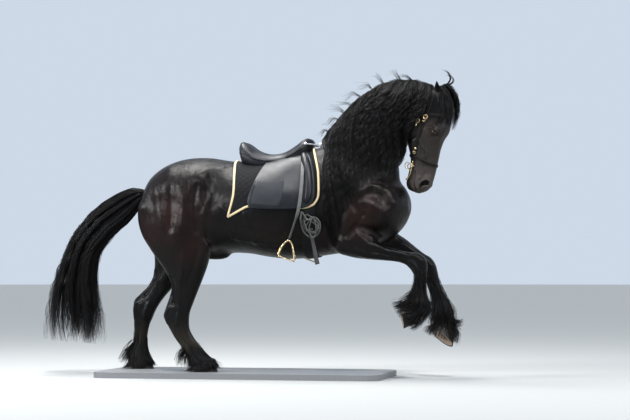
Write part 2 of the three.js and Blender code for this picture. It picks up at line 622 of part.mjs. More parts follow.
// Short locks that lie along the top of the crest and lift at the back.
function crestLock(i, count, random) {
  const u = (i + 0.3) / count;
  const path = [];
  const out = [];
  for (let k = 0; k < 6; k++) {
    const [x, z] = between(CREST, Math.min(u + 0.048 * k, 1) * (CREST.length - 1));
    const lift = -12 + 15 * Math.min(k, 3) + 7 * Math.max(0, k - 2) * random();
    path.push(new THREE.Vector3(x, 14 - 5 * k, z + lift));
    out.push(new THREE.Vector3(0, 0, 1));
  }
  return lock(path, out, 56, 14);
}
const maneRandom = stream(77);
const mane = [];
for (let i = 0; i < MANE_LOCKS; i++) mane.push(maneLock(i, maneRandom));
for (let i = 0; i < 5; i++) mane.push(crestLock(i, 7, maneRandom));

// Forelock.

const FORELOCKS = [
  // guides in the side view, side offset at root and at tip, width
  [[[1252, 1746], [1306, 1796], [1352, 1735], [1366, 1650], [1346, 1572]], -3, -18, 48],
  [[[1250, 1744], [1298, 1790], [1344, 1720], [1360, 1625], [1336, 1540]], 7, 28, 48],
  [[[1248, 1742], [1290, 1784], [1326, 1705], [1344, 1610], [1330, 1530]], 18, 68, 46],
  [[[1246, 1742], [1282, 1782], [1312, 1705], [1326, 1630], [1316, 1550]], -20, -78, 44],
  [[[1254, 1742], [1322, 1780], [1364, 1722], [1376, 1668], [1384, 1700]], -10, -24, 30],
  [[[1256, 1738], [1296, 1798], [1318, 1842], [1304, 1874], [1268, 1896]], 14, 4, 26],
];
const forelock = FORELOCKS.map(([guides, root, tip, wide]) => {
  const points = curve(guides, 6);
  const path = points.map(([x, z], k) => new THREE.Vector3(x, mix(root, tip, k / 5), z));
  const out = points.map((_, k) => new THREE.Vector3(1, (mix(root, tip, k / 5) / 60) * (k / 5), 0.4));
  return lock(path, out, wide, 13);
});

// Tail.

const TAIL_SECTIONS = [
  [-640, 1165, -655, 1085, 0, 34, 0.5, 2, 2],
  [-700, 1162, -706, 1070, 0, 40, 0.5, 2, 2],
  [-765, 1148, -745, 1030, 0, 46, 0.5, 2, 2],
  [-850, 1110, -812, 975, 0, 54, 0.5, 2, 2],
  [-940, 1050, -890, 905, 0, 60, 0.5, 2, 2],
  [-1020, 970, -955, 835, 0, 60, 0.5, 2, 2],
  [-1078, 880, -1008, 765, 0, 50, 0.5, 2, 2],
  [-1108, 790, -1052, 720, 0, 30, 0.5, 2, 2],
];
const TAIL_OUTER = [[-679, 1176], [-766, 1168], [-852, 1135], [-939, 1090], [-1025, 1028], [-1112, 930], [-1174, 846],
  [-1215, 755], [-1262, 646], [-1296, 540], [-1325, 421], [-1334, 297], [-1326, 189]];
const TAIL_INNER = [[-692, 1080], [-735, 1015], [-799, 944], [-869, 886], [-935, 812], [-978, 754], [-1000, 671],
  [-1004, 590], [-994, 500], [-978, 422], [-962, 350], [-957, 260], [-962, 165]];
const TAIL_SPREAD = [30, 46, 58, 70, 80, 88, 92, 94, 94, 90, 84, 76, 62];
const TAIL_LOCKS = 14;

function tailLock(i, random) {
  const angle = i * 2.39996;
  const rim = Math.sqrt(0.25 + 0.75 * random());
  const across = 0.5 - 0.5 * rim * Math.cos(angle); // 0 is the outer outline, 1 the inner
  const aside = rim * Math.sin(angle);
  const start = 0.03 + 0.33 * ((i * 7) % TAIL_LOCKS) / TAIL_LOCKS;
  const end = clamp(start + 0.45 + 0.2 * random(), 0, 1);
  const last = i % 2 ? 1 - 0.06 * random() : end;
  const path = [];
  const out = [];
  for (let k = 0; k < 6; k++) {
    const u = mix(start, Math.max(last, end), k / 5);
    const row = u * (TAIL_OUTER.length - 1);
    const [ox, oz] = between(TAIL_OUTER, row);
    const [ix, iz] = between(TAIL_INNER, row);
    const spread = between(TAIL_SPREAD.map((w) => [w]), row)[0];
    const open = smooth(k / 2.4);
    const q = mix(mix(0.42, across, 0.25), across, open) + 0.025 * Math.sin(k * 1.9 + i);
    const inset = 14 / Math.hypot(ox - ix, oz - iz);
    const p = clamp(q, inset, 1 - inset);
    path.push(new THREE.Vector3(mix(ox, ix, p), aside * spread * mix(0.3, 0.86, open), mix(oz, iz, p)));
    const outX = (ox - ix) * (0.5 - across) * 2;
    const outZ = (oz - iz) * (0.5 - across) * 2;
    out.push(new THREE.Vector3(outX, aside * spread * 2 + 0.01, outZ));
  }
  return lock(path, out, 98 + 16 * random(), 34, 5);
}
const tailRandom = stream(4242);
const tailLocks = Array.from({ length: TAIL_LOCKS }, (_, i) => tailLock(i, tailRandom));
const tail = Manifold.union([form(TAIL_SECTIONS, 11, 10), ...tailLocks]).simplify(LOCK_COARSE);
const TAIL_UPPER_AREA = [[-1060, 1270], [-1016, 1195], [-829, 770], [-700, 500], [-300, 500], [-300, 1270]];
const tailUpperArea = slab(TAIL_UPPER_AREA);

// Feathers.

// Side-view guides of the hair round each pastern, in front of and behind it.
const FEATHERS = {
  fore_right: [
    [[1128, 540], [1085, 500], [1040, 470], [1004, 440]],
    [[1140, 470], [1070, 440], [1020, 436], [985, 450]],
    [[1150, 440], [1090, 410], [1058, 372], [1040, 330]],
    [[1180, 400], [1140, 350], [1108, 312], [1085, 292]],
  ],
  fore_left: [
    [[1200, 470], [1158, 420], [1136, 380], [1128, 335]],
    [[1240, 350], [1222, 300], [1214, 262], [1240, 226]],
    [[1280, 330], [1330, 318], [1350, 322], [1372, 342]],
    [[1280, 300], [1322, 272], [1344, 262], [1358, 246]],
  ],
  hind_right: [
    [[-330, 190], [-378, 140], [-402, 110], [-416, 62]],
    [[-310, 150], [-352, 100], [-368, 60], [-376, 14]],
    [[-260, 110], [-262, 66], [-258, 40], [-262, 12]],
    [[-230, 90], [-180, 58], [-142, 34], [-108, 18]],
  ],
  hind_left: [
    [[-770, 200], [-822, 150], [-846, 100], [-862, 44]],
    [[-770, 150], [-828, 110], [-862, 66], [-884, 34]],
    [[-750, 110], [-762, 66], [-764, 40], [-768, 12]],
    [[-740, 120], [-700, 80], [-668, 46], [-640, 22]],
  ],
};
const FEATHER_OFFSETS = [-0.9, 0, 0.9]; // across the leg, in half widths
const FEATHER_ROOT = 22;
const FEATHER_TIP = 66;

function feather(name, seed) {
  const random = stream(seed);
  const side = hoofSides[name];
  return FEATHERS[name].flatMap((guides, g) =>
    FEATHER_OFFSETS.filter((_, n) => (g + n) % 2 === 0).map((share) => {
      const points = curve(guides, 4);
      const path = points.map(([x, z], k) => {
        const far = mix(FEATHER_ROOT, FEATHER_TIP - 14 * random(), smooth(k / 2.5));
        return new THREE.Vector3(x + 4 * (random() - 0.5), side + share * far, z);
      });
      const start = path[0];
      const out = path.map((p) => new THREE.Vector3(p.x - start.x + 0.01, (p.y - side) * 2 + 0.01, 6));
      return lock(path, out, 54, 19);
    }),
  );
}
const hoofSides = { fore_right: -158, fore_left: 150, hind_right: -150, hind_left: 154 };

// Ears and eyes.

const EAR_PROFILE = [[0, 0], [20, 0], [27, 34], [26, 70], [15, 104], [0, 132]];
const EAR_CUP = [[0, 16], [20, 40], [19, 74], [0, 118]];
const lathe = (profile, sides, matrix) =>
  solidOf(new THREE.LatheGeometry(profile.map(([r, h]) => new THREE.Vector2(r, h)), sides), matrix);

function ear(sign) {
  // The lathe's axis is turned up, then leaned out to the side and forwards.
  const stand = new THREE.Matrix4().makeRotationX(Math.PI / 2);
  const place = new THREE.Matrix4()
    .makeTranslation(1250, sign * 40, 1722)
    .multiply(new THREE.Matrix4().makeRotationX(-sign * 0.2))
    .multiply(new THREE.Matrix4().makeRotationY(0.06));
  const outer = place.clone().multiply(new THREE.Matrix4().makeScale(0.82, 1, 0.86)).multiply(stand);
  const inner = place.clone().multiply(new THREE.Matrix4().makeTranslation(7, sign * 11, 0))
    .multiply(new THREE.Matrix4().makeScale(0.8, 1, 0.86)).multiply(stand);
  return lathe(EAR_PROFILE, 8, outer).subtract(lathe(EAR_CUP, 6, inner));
}
const ears = { right: ear(RIGHT), left: ear(LEFT) };
const eyeSide = sideOfHead(...EYE_AT) - 12;
const eye = (sign) => {
  const [x, z] = headPoint(...EYE_AT);
  return ball(x, sign * eyeSide, z, EYE_RADIUS, EYE_RADIUS - 3, EYE_RADIUS, 8);
};

// Saddle, cloth and girth.

const CLOTH_OUTLINE = [[428, 1520], [455, 1400], [492, 1310], [513, 1230], [522, 1106], [498, 1057], [462, 1028],
  [97, 1046], [-46, 974], [-12, 1111], [-28, 1250], [-70, 1520]];
const BINDING_WIDE = 15;
const FLAP_OUTLINE = [[330, 1425], [395, 1400], [452, 1340], [484, 1250], [499, 1160], [497, 1090], [476, 1048],
  [430, 1024], [330, 1020], [100, 1022], [84, 1072], [110, 1170], [150, 1280], [190, 1350]];
const KNEE_BLOCK = [[388, 1372], [432, 1290], [456, 1200], [458, 1105], [438, 1050]];
const GIRTH_OUTLINE = [[425, 1040], [505, 1040], [492, 850], [480, 600], [396, 600], [412, 850]];
const layer = (inner, outer, base = torsoFlesh) => grown(base, outer).subtract(grown(base, inner));
const sideways = (outline, sign) => (sign === LEFT ? slab(outline, 20, 900) : slab(outline, -900, -20));

// The outline moved inwards all round by a distance.
function inset(outline, distance) {
  const points = outline.map(([x, z]) => new THREE.Vector2(x, z));
  const turn = THREE.ShapeUtils.area(points) > 0 ? 1 : -1;
  return points.map((p, i) => {
    const before = points[(i + points.length - 1) % points.length];
    const after = points[(i + 1) % points.length];
    const n1 = p.clone().sub(before).normalize();
    const n2 = after.clone().sub(p).normalize();
    const bisector = new THREE.Vector2(-(n1.y + n2.y), n1.x + n2.x).multiplyScalar(turn);
    return [p.x + (bisector.x * distance) / (1 + n1.dot(n2)), p.y + (bisector.y * distance) / (1 + n1.dot(n2))];
  });
}
const clothSheet = cutBy(layer(GAP, CLOTH_THICKNESS).intersect(slab(CLOTH_OUTLINE)), grown(whole, 0));
const clothCore = slab(inset(CLOTH_OUTLINE, BINDING_WIDE));
const cloth = clothSheet.intersect(clothCore);
const binding = clothSheet.subtract(slab(inset(CLOTH_OUTLINE, BINDING_WIDE - 2 * GAP)));
const FLAP_IN = CLOTH_THICKNESS + 2 * GAP;
const FLAP_OUT = FLAP_IN + FLAP_THICKNESS;
const BLOCK_OUT = FLAP_OUT + 22;
const flap = (sign) => layer(FLAP_IN, FLAP_OUT).intersect(sideways(FLAP_OUTLINE, sign));
const kneeBlock = (sign) =>
  layer(FLAP_OUT + 2 * GAP, BLOCK_OUT).intersect(sideways(band(KNEE_BLOCK, 54), sign));
const SEAT_SECTIONS = [
  [-42, 1436, -20, 1330, 0, 60, 0.4, 2, 2],
  [-20, 1462, 0, 1290, 0, 112, 0.45, 2.2, 2],
  [20, 1452, 30, 1260, 0, 128, 0.5, 2.2, 2],
  [90, 1404, 95, 1250, 0, 140, 0.5, 2.2, 2],
  [180, 1380, 185, 1260, 0, 134, 0.5, 2.2, 2],
  [260, 1392, 262, 1270, 0, 122, 0.5, 2.1, 2],
  [330, 1432, 322, 1290, 0, 118, 0.5, 2, 2],
  [392, 1478, 372, 1310, 0, 108, 0.5, 2, 2],
  [428, 1478, 400, 1330, 0, 84, 0.5, 2, 2],
  [448, 1458, 425, 1370, 0, 40, 0.5, 2, 2],
];
const flapRight = flap(RIGHT);
const underSeat = grown(torsoFlesh, FLAP_OUT + GAP).intersect(slab(inset(FLAP_OUTLINE, -GAP)));
const seat = form(SEAT_SECTIONS, 11, 10).subtract(grown(torsoFlesh, FLAP_IN)).subtract(underSeat);
const girth = cutBy(layer(GAP, 9).intersect(slab(GIRTH_OUTLINE)), slab(CLOTH_OUTLINE));

// The metal bar at each side of the pommel, with a knob behind and a round boss in front.
const BAR_LINE = [[404, 1440], [450, 1436], [500, 1428]];
const BAR_WIDE = 11;
const BAR_THICK = 6;
const BOSS_RADIUS = 14;
function pommelBar(sign) {
  const side = halfWidth(SEAT_SECTIONS, ...BAR_LINE[0]);
  const [[knobX, knobZ], , [bossX, bossZ]] = BAR_LINE;
  const boss = new THREE.CylinderGeometry(BOSS_RADIUS - 3, BOSS_RADIUS, BAR_THICK + 5, 12);
  const made = slab(band(BAR_LINE, BAR_WIDE), side, side + BAR_THICK)
    .add(solidOf(boss, new THREE.Matrix4().setPosition(bossX, side + BAR_THICK / 2 + 1, bossZ)))
    .add(ball(knobX, side + 5, knobZ, 11, 8, 11, 8));
  return sign === LEFT ? made : mirrored(made);
}

// Stirrups.

const LEATHER_LINE = [[408, 1330], [420, 1180], [413, 1032], [384, 930], [352, 838]];
const LEATHER_WIDE = 30;
const LEATHER_IN = BLOCK_OUT + 2 * GAP;
const IRON = [[346, 834], [320, 812], [298, 778], [284, 742], [281, 726], [384, 690], [388, 712], [382, 762],
  [366, 810]];
const IRON_BAR = 11;
const IRON_TREAD = [[279, 738], [387, 700], [386, 690], [276, 726]];
const IRON_SIDE = -(halfWidth(TORSO_SECTIONS, 413, 1032, 0) + LEATHER_IN + 3);
function stirrupLeather() {
  const strip = slab(band(LEATHER_LINE, LEATHER_WIDE), -900, -20);
  const lying = layer(LEATHER_IN, LEATHER_IN + 6).intersect(strip).intersect(slab([[0, 1010], [900, 1010], [900, 1400],
    [0, 1400]]));
  const hanging = slab(band(LEATHER_LINE.slice(1), LEATHER_WIDE), IRON_SIDE - 4, IRON_SIDE + 2)
    .intersect(slab([[0, 700], [900, 700], [900, 1050], [0, 1050]]));
  return lying.add(hanging);
}
function stirrupIron() {
  const frame = slab(IRON, IRON_SIDE - 8, IRON_SIDE + 6).subtract(slab(inset(IRON, IRON_BAR)));
  const tread = slab(IRON_TREAD, IRON_SIDE - 24, IRON_SIDE + 22);
  return frame.add(tread);
}

// The knotted strap hanging on the right side.

function loop(points, radius) {
  const path = new THREE.CatmullRomCurve3(points.map((p) => new THREE.Vector3(...p)), true);
  return solidOf(new THREE.TubeGeometry(path, 8, radius, 4, true));
}
const KNOT_SIDE = -(halfWidth(TORSO_SECTIONS, 480, 930, 0) + 40);
const knottedStrap = () =>
  Manifold.union([
    loop([[424, KNOT_SIDE + 2, 1000], [418, KNOT_SIDE, 930], [455, KNOT_SIDE - 6, 868], [500, KNOT_SIDE - 8, 850],
      [538, KNOT_SIDE - 6, 890], [532, KNOT_SIDE - 4, 950], [492, KNOT_SIDE - 2, 972], [452, KNOT_SIDE, 950]], 10),
    slab(band([[484, 880], [498, 800], [514, 730], [528, 676]], 26), KNOT_SIDE - 14, KNOT_SIDE - 7),
  ]);

// Bridle.

const BRIDLE_OUT = GAP + STRAP_THICKNESS;
const beyondHead = [neckFlesh, ...Object.values(ears)];
const strap = (line, wide, outer = BRIDLE_OUT) =>
  cutBy(layer(GAP, outer, headPlain), ...beyondHead).intersect(slab(band(line.map(([s, t]) => headPoint(s, t)), wide)));
const headstallWhole = strap([[-60, -20], [40, -3], [187, -1], [353, -9], [431, -1], [478, 2]], 20);
const browbandWhole = strap([[176, -12], [160, 50], [140, 110], [124, 175]], 18);
const throatlashWhole = strap([[176, -22], [224, -44], [264, -80], [292, -125], [310, -175]], 17);
const nosebandWhole = strap([[448, 210], [458, 120], [456, 78], [446, 38], [442, -2], [446, -80]], 18);

const ring = (x, y, z, radius, tube, sides = 10, tubeSides = 4) =>
  solidOf(
    new THREE.TorusGeometry(radius, tube, tubeSides, sides),
    new THREE.Matrix4().makeRotationX(Math.PI / 2).setPosition(x, y, z),
  );
const BIT_RING = [507, -18];
const BIT_RING_RADIUS = 21;
const SHANK = [[462, 2], [500, 6], [545, 10], [590, 2]];
const BIT_SIDE = halfWidth(HEAD_SECTIONS, ...headPoint(500, 14)) + 5;
function bit(sign) {
  const [x, z] = headPoint(...BIT_RING);
  const shank = slab(band(SHANK.map(([s, t]) => headPoint(s, t)), 9), BIT_SIDE, BIT_SIDE + 7);
  const ringBack = ring(x, BIT_SIDE + 3, z, BIT_RING_RADIUS, 4);
  const knob = ball(...sideless(headPoint(588, 2)), 8, 5, 8, 6).translate([0, BIT_SIDE + 4, 0]);
  const made = shank.add(ringBack).add(knob);
  return sign === LEFT ? made : mirrored(made);
}
const buckleAt = (s, t, sign, radius) => {
  const [x, z] = headPoint(s, t);
  const side = halfWidth(HEAD_SECTIONS, x, z) + BRIDLE_OUT + 5;
  return ring(x, sign * side, z, radius, 3.6, 9, 3);
};
const studAt = (s, t, sign) => {
  const [x, z] = headPoint(s, t);
  const side = halfWidth(HEAD_SECTIONS, x, z) + BRIDLE_OUT + 3;
  return ball(x, sign * side, z, 10, 6, 10, 6);
};

// The part.

const horse = new THREE.Group();
horse.position.z = BASE_THICKNESS + GAP;
const part = new THREE.Group();
part.add(horse);

function add(name, made, material, group = horse) {
  const mesh = new THREE.Mesh(geometryOf(largest(solidOf(geometryOf(largest(made.simplify(FINE)))))), material);
  mesh.name = name;
  group.add(mesh);
}

// Locks are joined to the piece they grow from and kept clear of its neighbours.
const joined = (locks) => Manifold.union(locks).simplify(LOCK_COARSE);
const withLocks = (made, locks, ...neighbours) => made.add(cutBy(joined(locks), ...neighbours));

const eyes = { right: eye(RIGHT), left: eye(LEFT) };
const headstall = cutBy(headstallWhole, ears.right, ears.left);
const browband = cutBy(browbandWhole, headstall, ears.right, ears.left);
const throatlashRight = cutBy(throatlashWhole, headstall, browband).intersect(sideways(HEAD_AREA, RIGHT));
const throatlashes = { right: throatlashRight, left: mirrored(throatlashRight) };
const noseband = cutBy(nosebandWhole, headstall);
const bridle = [headstall, browband, ...Object.values(throatlashes)];
const head = withLocks(headBare, forelock, ears.right, ears.left, neckBare, ...Object.values(eyes), ...bridle);
const blockRight = kneeBlock(RIGHT);
const cloths = [cloth, binding, flapRight, blockRight, seat];
const neck = withLocks(neckBare, mane, torso, headArea, areas.fore_right, girth, ...cloths, ...bridle, ears.right);

add("torso", torso, COAT);
add("neck", neck, COAT);
add("head", head, COAT);
for (const [side, sign] of SIDES) {
  add("ear_" + side, cutBy(ears[side], headWhole, neckFlesh), COAT);
  add("eye_" + side, eyes[side], EYE);
}
for (const [name, made] of Object.entries(legForms)) {
  const side = name.endsWith("left") ? LEFT : RIGHT;
  const cannonArea = beside(CANNON_AREAS[name], side, 20);
  const leg = cutBy(body.intersect(areas[name]), cannonArea);
  const cannon = body.intersect(areas[name]).intersect(cannonArea);
  const hair = feather(name, 11);
  add((name.startsWith("fore") ? "forearm_" : "thigh_") + name.split("_")[1], leg, COAT);
  add("cannon_" + name, withLocks(cannon, hair, hooves[name], leg), COAT);
  add("hoof_" + name, hooves[name], HORN);
}
const tailUpper = tail.intersect(tailUpperArea);
add("tail_upper", cutBy(tailUpper, torso), HAIR);
add("tail_lower", cutBy(tail, tailUpperArea), HAIR);

add("saddle_cloth", cloth, CLOTH);
add("saddle_cloth_binding", binding, BINDING);
add("saddle_seat", seat, LEATHER);
add("girth", girth, LEATHER);
for (const [side, sign] of SIDES) {
  add("saddle_flap_" + side, onSide(flapRight, sign), LEATHER);
  add("knee_block_" + side, onSide(blockRight, sign), LEATHER);
  add("stirrup_leather_" + side, onSide(stirrupLeather(), sign), LEATHER);
  add("stirrup_iron_" + side, onSide(stirrupIron(), sign), BRASS);
  add("bit_" + side, cutBy(bit(sign), headstall, headBare), BRASS);
  add("buckle_brow_" + side, cutBy(buckleAt(187, -1, sign, 13), headstall), BRASS);
  add("throatlash_" + side, throatlashes[side], LEATHER);
  add("buckle_throat_" + side, cutBy(buckleAt(224, -44, sign, 13), throatlashes[side], headBare), BRASS);
  add("pommel_bar_" + side, cutBy(pommelBar(sign), seat), STEEL);
  add("stud_cheek_" + side, cutBy(studAt(390, -4, sign), headstall), BRASS);
}
add("knotted_strap", cutBy(knottedStrap(), girth, torso), LEATHER);
add("headstall", headstall, LEATHER);
add("browband", browband, LEATHER);
add("noseband", noseband, LEATHER);

// Base.

function roundedPlate() {
  const [l, w, r] = [BASE_LENGTH / 2, BASE_WIDTH / 2, BASE_CORNER];
  const outline = new THREE.Shape();
  outline.absarc(l - r, w - r, r, 0, Math.PI / 2);
  outline.absarc(-l + r, w - r, r, Math.PI / 2, Math.PI);
  outline.absarc(-l + r, -w + r, r, Math.PI, 1.5 * Math.PI);
  outline.absarc(l - r, -w + r, r, 1.5 * Math.PI, 2 * Math.PI);
  return solidOf(new THREE.ExtrudeGeometry(outline, { depth: BASE_THICKNESS, bevelEnabled: false, curveSegments: 4 }));
}
add("stand_base", roundedPlate(), BASE_PAINT, part);

export default part;
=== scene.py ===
# A black Friesian stallion, life size, with its saddle and bridle, on a plain flat base.
# Metres, +X towards the horse's front, +Y to its left side, +Z up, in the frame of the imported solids.
import math

import bmesh
import bpy
import numpy as np
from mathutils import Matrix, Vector
from mathutils.bvhtree import BVHTree


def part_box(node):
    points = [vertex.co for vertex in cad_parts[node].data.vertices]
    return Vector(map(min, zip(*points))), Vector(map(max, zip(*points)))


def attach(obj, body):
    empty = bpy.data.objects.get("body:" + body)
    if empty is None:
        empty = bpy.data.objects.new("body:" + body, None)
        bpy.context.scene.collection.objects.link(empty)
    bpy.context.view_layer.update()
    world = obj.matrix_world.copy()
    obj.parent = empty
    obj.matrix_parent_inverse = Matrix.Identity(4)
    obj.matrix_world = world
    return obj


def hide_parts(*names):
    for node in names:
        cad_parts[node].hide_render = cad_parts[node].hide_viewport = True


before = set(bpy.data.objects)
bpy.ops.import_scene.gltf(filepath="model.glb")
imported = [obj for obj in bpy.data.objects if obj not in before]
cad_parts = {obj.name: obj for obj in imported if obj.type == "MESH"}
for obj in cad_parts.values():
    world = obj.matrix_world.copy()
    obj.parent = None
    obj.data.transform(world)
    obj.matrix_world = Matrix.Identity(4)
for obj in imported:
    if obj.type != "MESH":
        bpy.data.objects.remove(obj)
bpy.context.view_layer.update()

# Camera. It stands on the horse's right, turned a little towards its front, low over the ground,
# with a long lens that looks slightly up.
MM = 0.001
HOOF_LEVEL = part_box("stand_base")[1].z + 0.3 * MM
CAMERA_TURN = math.radians(12)
CAMERA_PITCH = math.radians(1.88)
CAMERA_PLACE = (2.9429, -11.7378, 0.630 + HOOF_LEVEL)
LENS_MM = 108

camera = bpy.data.objects.new("camera", bpy.data.cameras.new("camera"))
bpy.context.scene.collection.objects.link(camera)
camera.data.lens = LENS_MM
camera.data.sensor_width = 36
camera.data.clip_end = 400
camera.location = CAMERA_PLACE
camera.rotation_euler = (math.pi / 2 + CAMERA_PITCH, 0, CAMERA_TURN)
bpy.context.scene.camera = camera


# Studio. A plain pale floor that runs out to the horizon under an even pale sky, a broad key light from
# high on the camera's side that stands for the sun, and three soft lamps for the gloss of the coat.
FLOOR_RADIUS = 90
FLOOR_COLOUR = (0.33, 0.335, 0.33, 1)
SKY_COLOUR = (0.72, 0.80, 0.90, 1)
SKY_POWER = 0.92
KEY_POWER = 2.7
KEY_SOFT = math.radians(9)
KEY_FROM = (0.5, -1.0, 1.9)
TONE_GAMMA = 0.84
bpy.context.scene.view_settings.view_transform = "Standard"
bpy.context.scene.view_settings.gamma = TONE_GAMMA


def lamp(name, place, aim, wide, deep, watts, colour=(1, 1, 1)):
    """A soft rectangular lamp at a place, turned to an aim point."""
    data = bpy.data.lights.new(name, "AREA")
    data.shape = "RECTANGLE"
    data.size = wide
    data.size_y = deep
    data.energy = watts
    data.color = colour
    made = bpy.data.objects.new(name, data)
    bpy.context.scene.collection.objects.link(made)
    made.location = place
    made.rotation_euler = (Vector(aim) - Vector(place)).to_track_quat("-Z", "Y").to_euler()
    return made


lamp("lamp_overhead", (-0.9, 0.2, 5.0), (0, 0, 1.0), 3.0, 1.0, 300, (1.0, 0.98, 0.95))
lamp("lamp_camera_side", (-5.6, -4.2, 3.6), (0, 0, 1.0), 1.0, 1.6, 520, (0.97, 0.98, 1.0))
lamp("lamp_front", (5.5, -2.6, 3.4), (0.6, 0, 1.2), 1.1, 1.5, 160)
key = bpy.data.objects.new("key", bpy.data.lights.new("key", "SUN"))
bpy.context.scene.collection.objects.link(key)
key.data.energy = KEY_POWER
key.data.angle = KEY_SOFT
key.rotation_euler = Vector(KEY_FROM).to_track_quat("Z", "Y").to_euler()

world = bpy.data.worlds.new("studio")
bpy.context.scene.world = world
world.use_nodes = True
world.node_tree.nodes["Background"].inputs["Color"].default_value = SKY_COLOUR
world.node_tree.nodes["Background"].inputs["Strength"].default_value = SKY_POWER


def new_material(name, **settings):
    """A material whose Principled shader has the given socket values, by their names with _ for a blank."""
    made = bpy.data.materials.new(name)
    made.use_nodes = True
    shader = made.node_tree.nodes["Principled BSDF"]
    for key, value in settings.items():
        shader.inputs[key.replace("_", " ")].default_value = value
    return made


def new_mesh(name, points, *faces):
    """A mesh from an array of points and arrays of faces, three or four corners a face."""
    mesh = bpy.data.meshes.new(name)
    corners = np.concatenate([f.ravel() for f in faces]).astype(np.int32)
    counts = np.concatenate([np.full(len(f), f.shape[1]) for f in faces])
    starts = np.concatenate([[0], np.cumsum(counts)[:-1]]).astype(np.int32)
    mesh.vertices.add(len(points))
    mesh.vertices.foreach_set("co", np.asarray(points, np.float32).ravel())
    mesh.loops.add(len(corners))
    mesh.loops.foreach_set("vertex_index", corners)
    mesh.polygons.add(len(counts))
    mesh.polygons.foreach_set("loop_start", starts)
    mesh.update(calc_edges=True)
    mesh.validate()
    mesh.shade_smooth()
    return mesh


def disc_grid(radius, rings, sides):
    """Rings of points round the origin at r = radius * (k / rings)^2, the middle point first."""
    share = (np.arange(1, rings + 1) / rings) ** 2 * radius
    angle = np.arange(sides) / sides * 2 * np.pi
    ring = np.stack([np.cos(angle), np.sin(angle), np.zeros(sides)], 1)
    points = np.concatenate([np.zeros((1, 3)), (share[:, None, None] * ring).reshape(-1, 3)])
    first = 1 + np.arange(sides)
    fan = np.stack([np.zeros(sides, int), first, np.roll(first, -1)], 1)
    inner = 1 + (np.arange(rings - 1)[:, None] * sides + np.arange(sides)).ravel()
    beside = 1 + (np.arange(rings - 1)[:, None] * sides + np.roll(np.arange(sides), -1)).ravel()
    quads = np.stack([inner, inner + sides, beside + sides, beside], 1)
    return points, fan, quads


floor_finish = new_material("floor", Base_Color=FLOOR_COLOUR, Roughness=0.9)
floor = bpy.data.objects.new("floor", new_mesh("floor", *disc_grid(FLOOR_RADIUS, 8, 48)))
floor.data.materials.append(floor_finish)
bpy.context.scene.collection.objects.link(floor)


# Skin. The living body is one closed skin over muscle and bone: trunk, neck, head and legs run into one
# another with no seam. Each part is a surface through sections, the surfaces are fused, the creases
# between them are filled as flesh fills them, and muscles, bones, tendons and veins are raised on it.
COAT_DEPTH = 2.0 * MM
SKIN_CELL = 12.7 * MM


def between(rows, at):
    """Rows of numbers read at fractional row numbers, on a Catmull-Rom curve through the rows:
    half of 2q + (r-p)t + (2p-5q+4r-s)t^2 + (3q-p-3r+s)t^3 for the rows p, q, r, s round each place."""
    rows = np.asarray(rows, float)
    last = len(rows) - 1
    first = np.clip(np.floor(at).astype(int), 0, max(last - 1, 0))
    t = (np.asarray(at, float) - first)[..., None]
    p, q, r, s = (rows[np.clip(first + k, 0, last)] for k in (-1, 0, 1, 2))
    return 0.5 * (2 * q + (r - p) * t + (2 * p - 5 * q + 4 * r - s) * t ** 2 + (3 * q - p - 3 * r + s) * t ** 3)


def smooth(x, low=0.0, high=1.0):
    """0 below low, 1 above high, and 3t^2 - 2t^3 between."""
    t = np.clip((np.asarray(x, float) - low) / (high - low), 0, 1)
    return t * t * (3 - 2 * t)


def section_grid(rows, rings, sides):
    """Rings of points through sections. A section runs across the body from outline point b to a in the
    side view: the point at an angle round it lies at the share widest + depth * sin^(2/n) of that line,
    and at side + wide * cos^(2/n) across."""
    row = between(rows, np.linspace(0, len(rows) - 1, rings)).T[:, :, None]
    ax, az, bx, bz, side, wide, widest, n_a, n_b = row
    angle = (np.arange(sides) + 0.5) / sides * 2 * np.pi
    c, s = np.cos(angle), np.sin(angle)
    n = np.where(s >= 0, n_a, n_b)
    depth = np.where(s >= 0, 1 - widest, widest)
    share = widest + depth * np.sign(s) * np.abs(s) ** (2 / n)
    y = side + wide * np.sign(c) * np.abs(c) ** (2 / n)
    return np.stack([bx + (ax - bx) * share, y + 0 * share, bz + (az - bz) * share], 2)


def closed_faces(rings, sides):
    """Quads between neighbouring rings, and a fan at each end to a middle point."""
    i, j = np.meshgrid(np.arange(rings - 1), np.arange(sides), indexing="ij")
    a = (i * sides + j).ravel()
    b = (i * sides + (j + 1) % sides).ravel()
    quads = np.stack([a, b, b + sides, a + sides], 1)
    k = np.arange(sides)
    first, last = rings * sides, rings * sides + 1
    end = (rings - 1) * sides
    fans = np.concatenate([
        np.stack([np.roll(k, -1), k, np.full(sides, first)], 1),
        np.stack([end + k, end + np.roll(k, -1), np.full(sides, last)], 1),
    ])
    return quads, fans


def turned_out(points, *faces):
    """The same faces, all turned round if the volume they enclose comes out negative."""
    volume = 0.0
    for f in faces:
        for k in range(1, f.shape[1] - 1):
            a, b, c = points[f[:, 0]], points[f[:, k]], points[f[:, k + 1]]
            volume += np.einsum("ij,ij->", a, np.cross(b, c))
    return faces if volume > 0 else tuple(f[:, ::-1] for f in faces)


def closed_form(grid):
    """Points and faces of a closed surface through rings of points."""
    rings, sides = grid.shape[:2]
    points = np.concatenate([grid.reshape(-1, 3), grid[:1].mean(1), grid[-1:].mean(1)])
    return points, turned_out(points, *closed_faces(rings, sides))


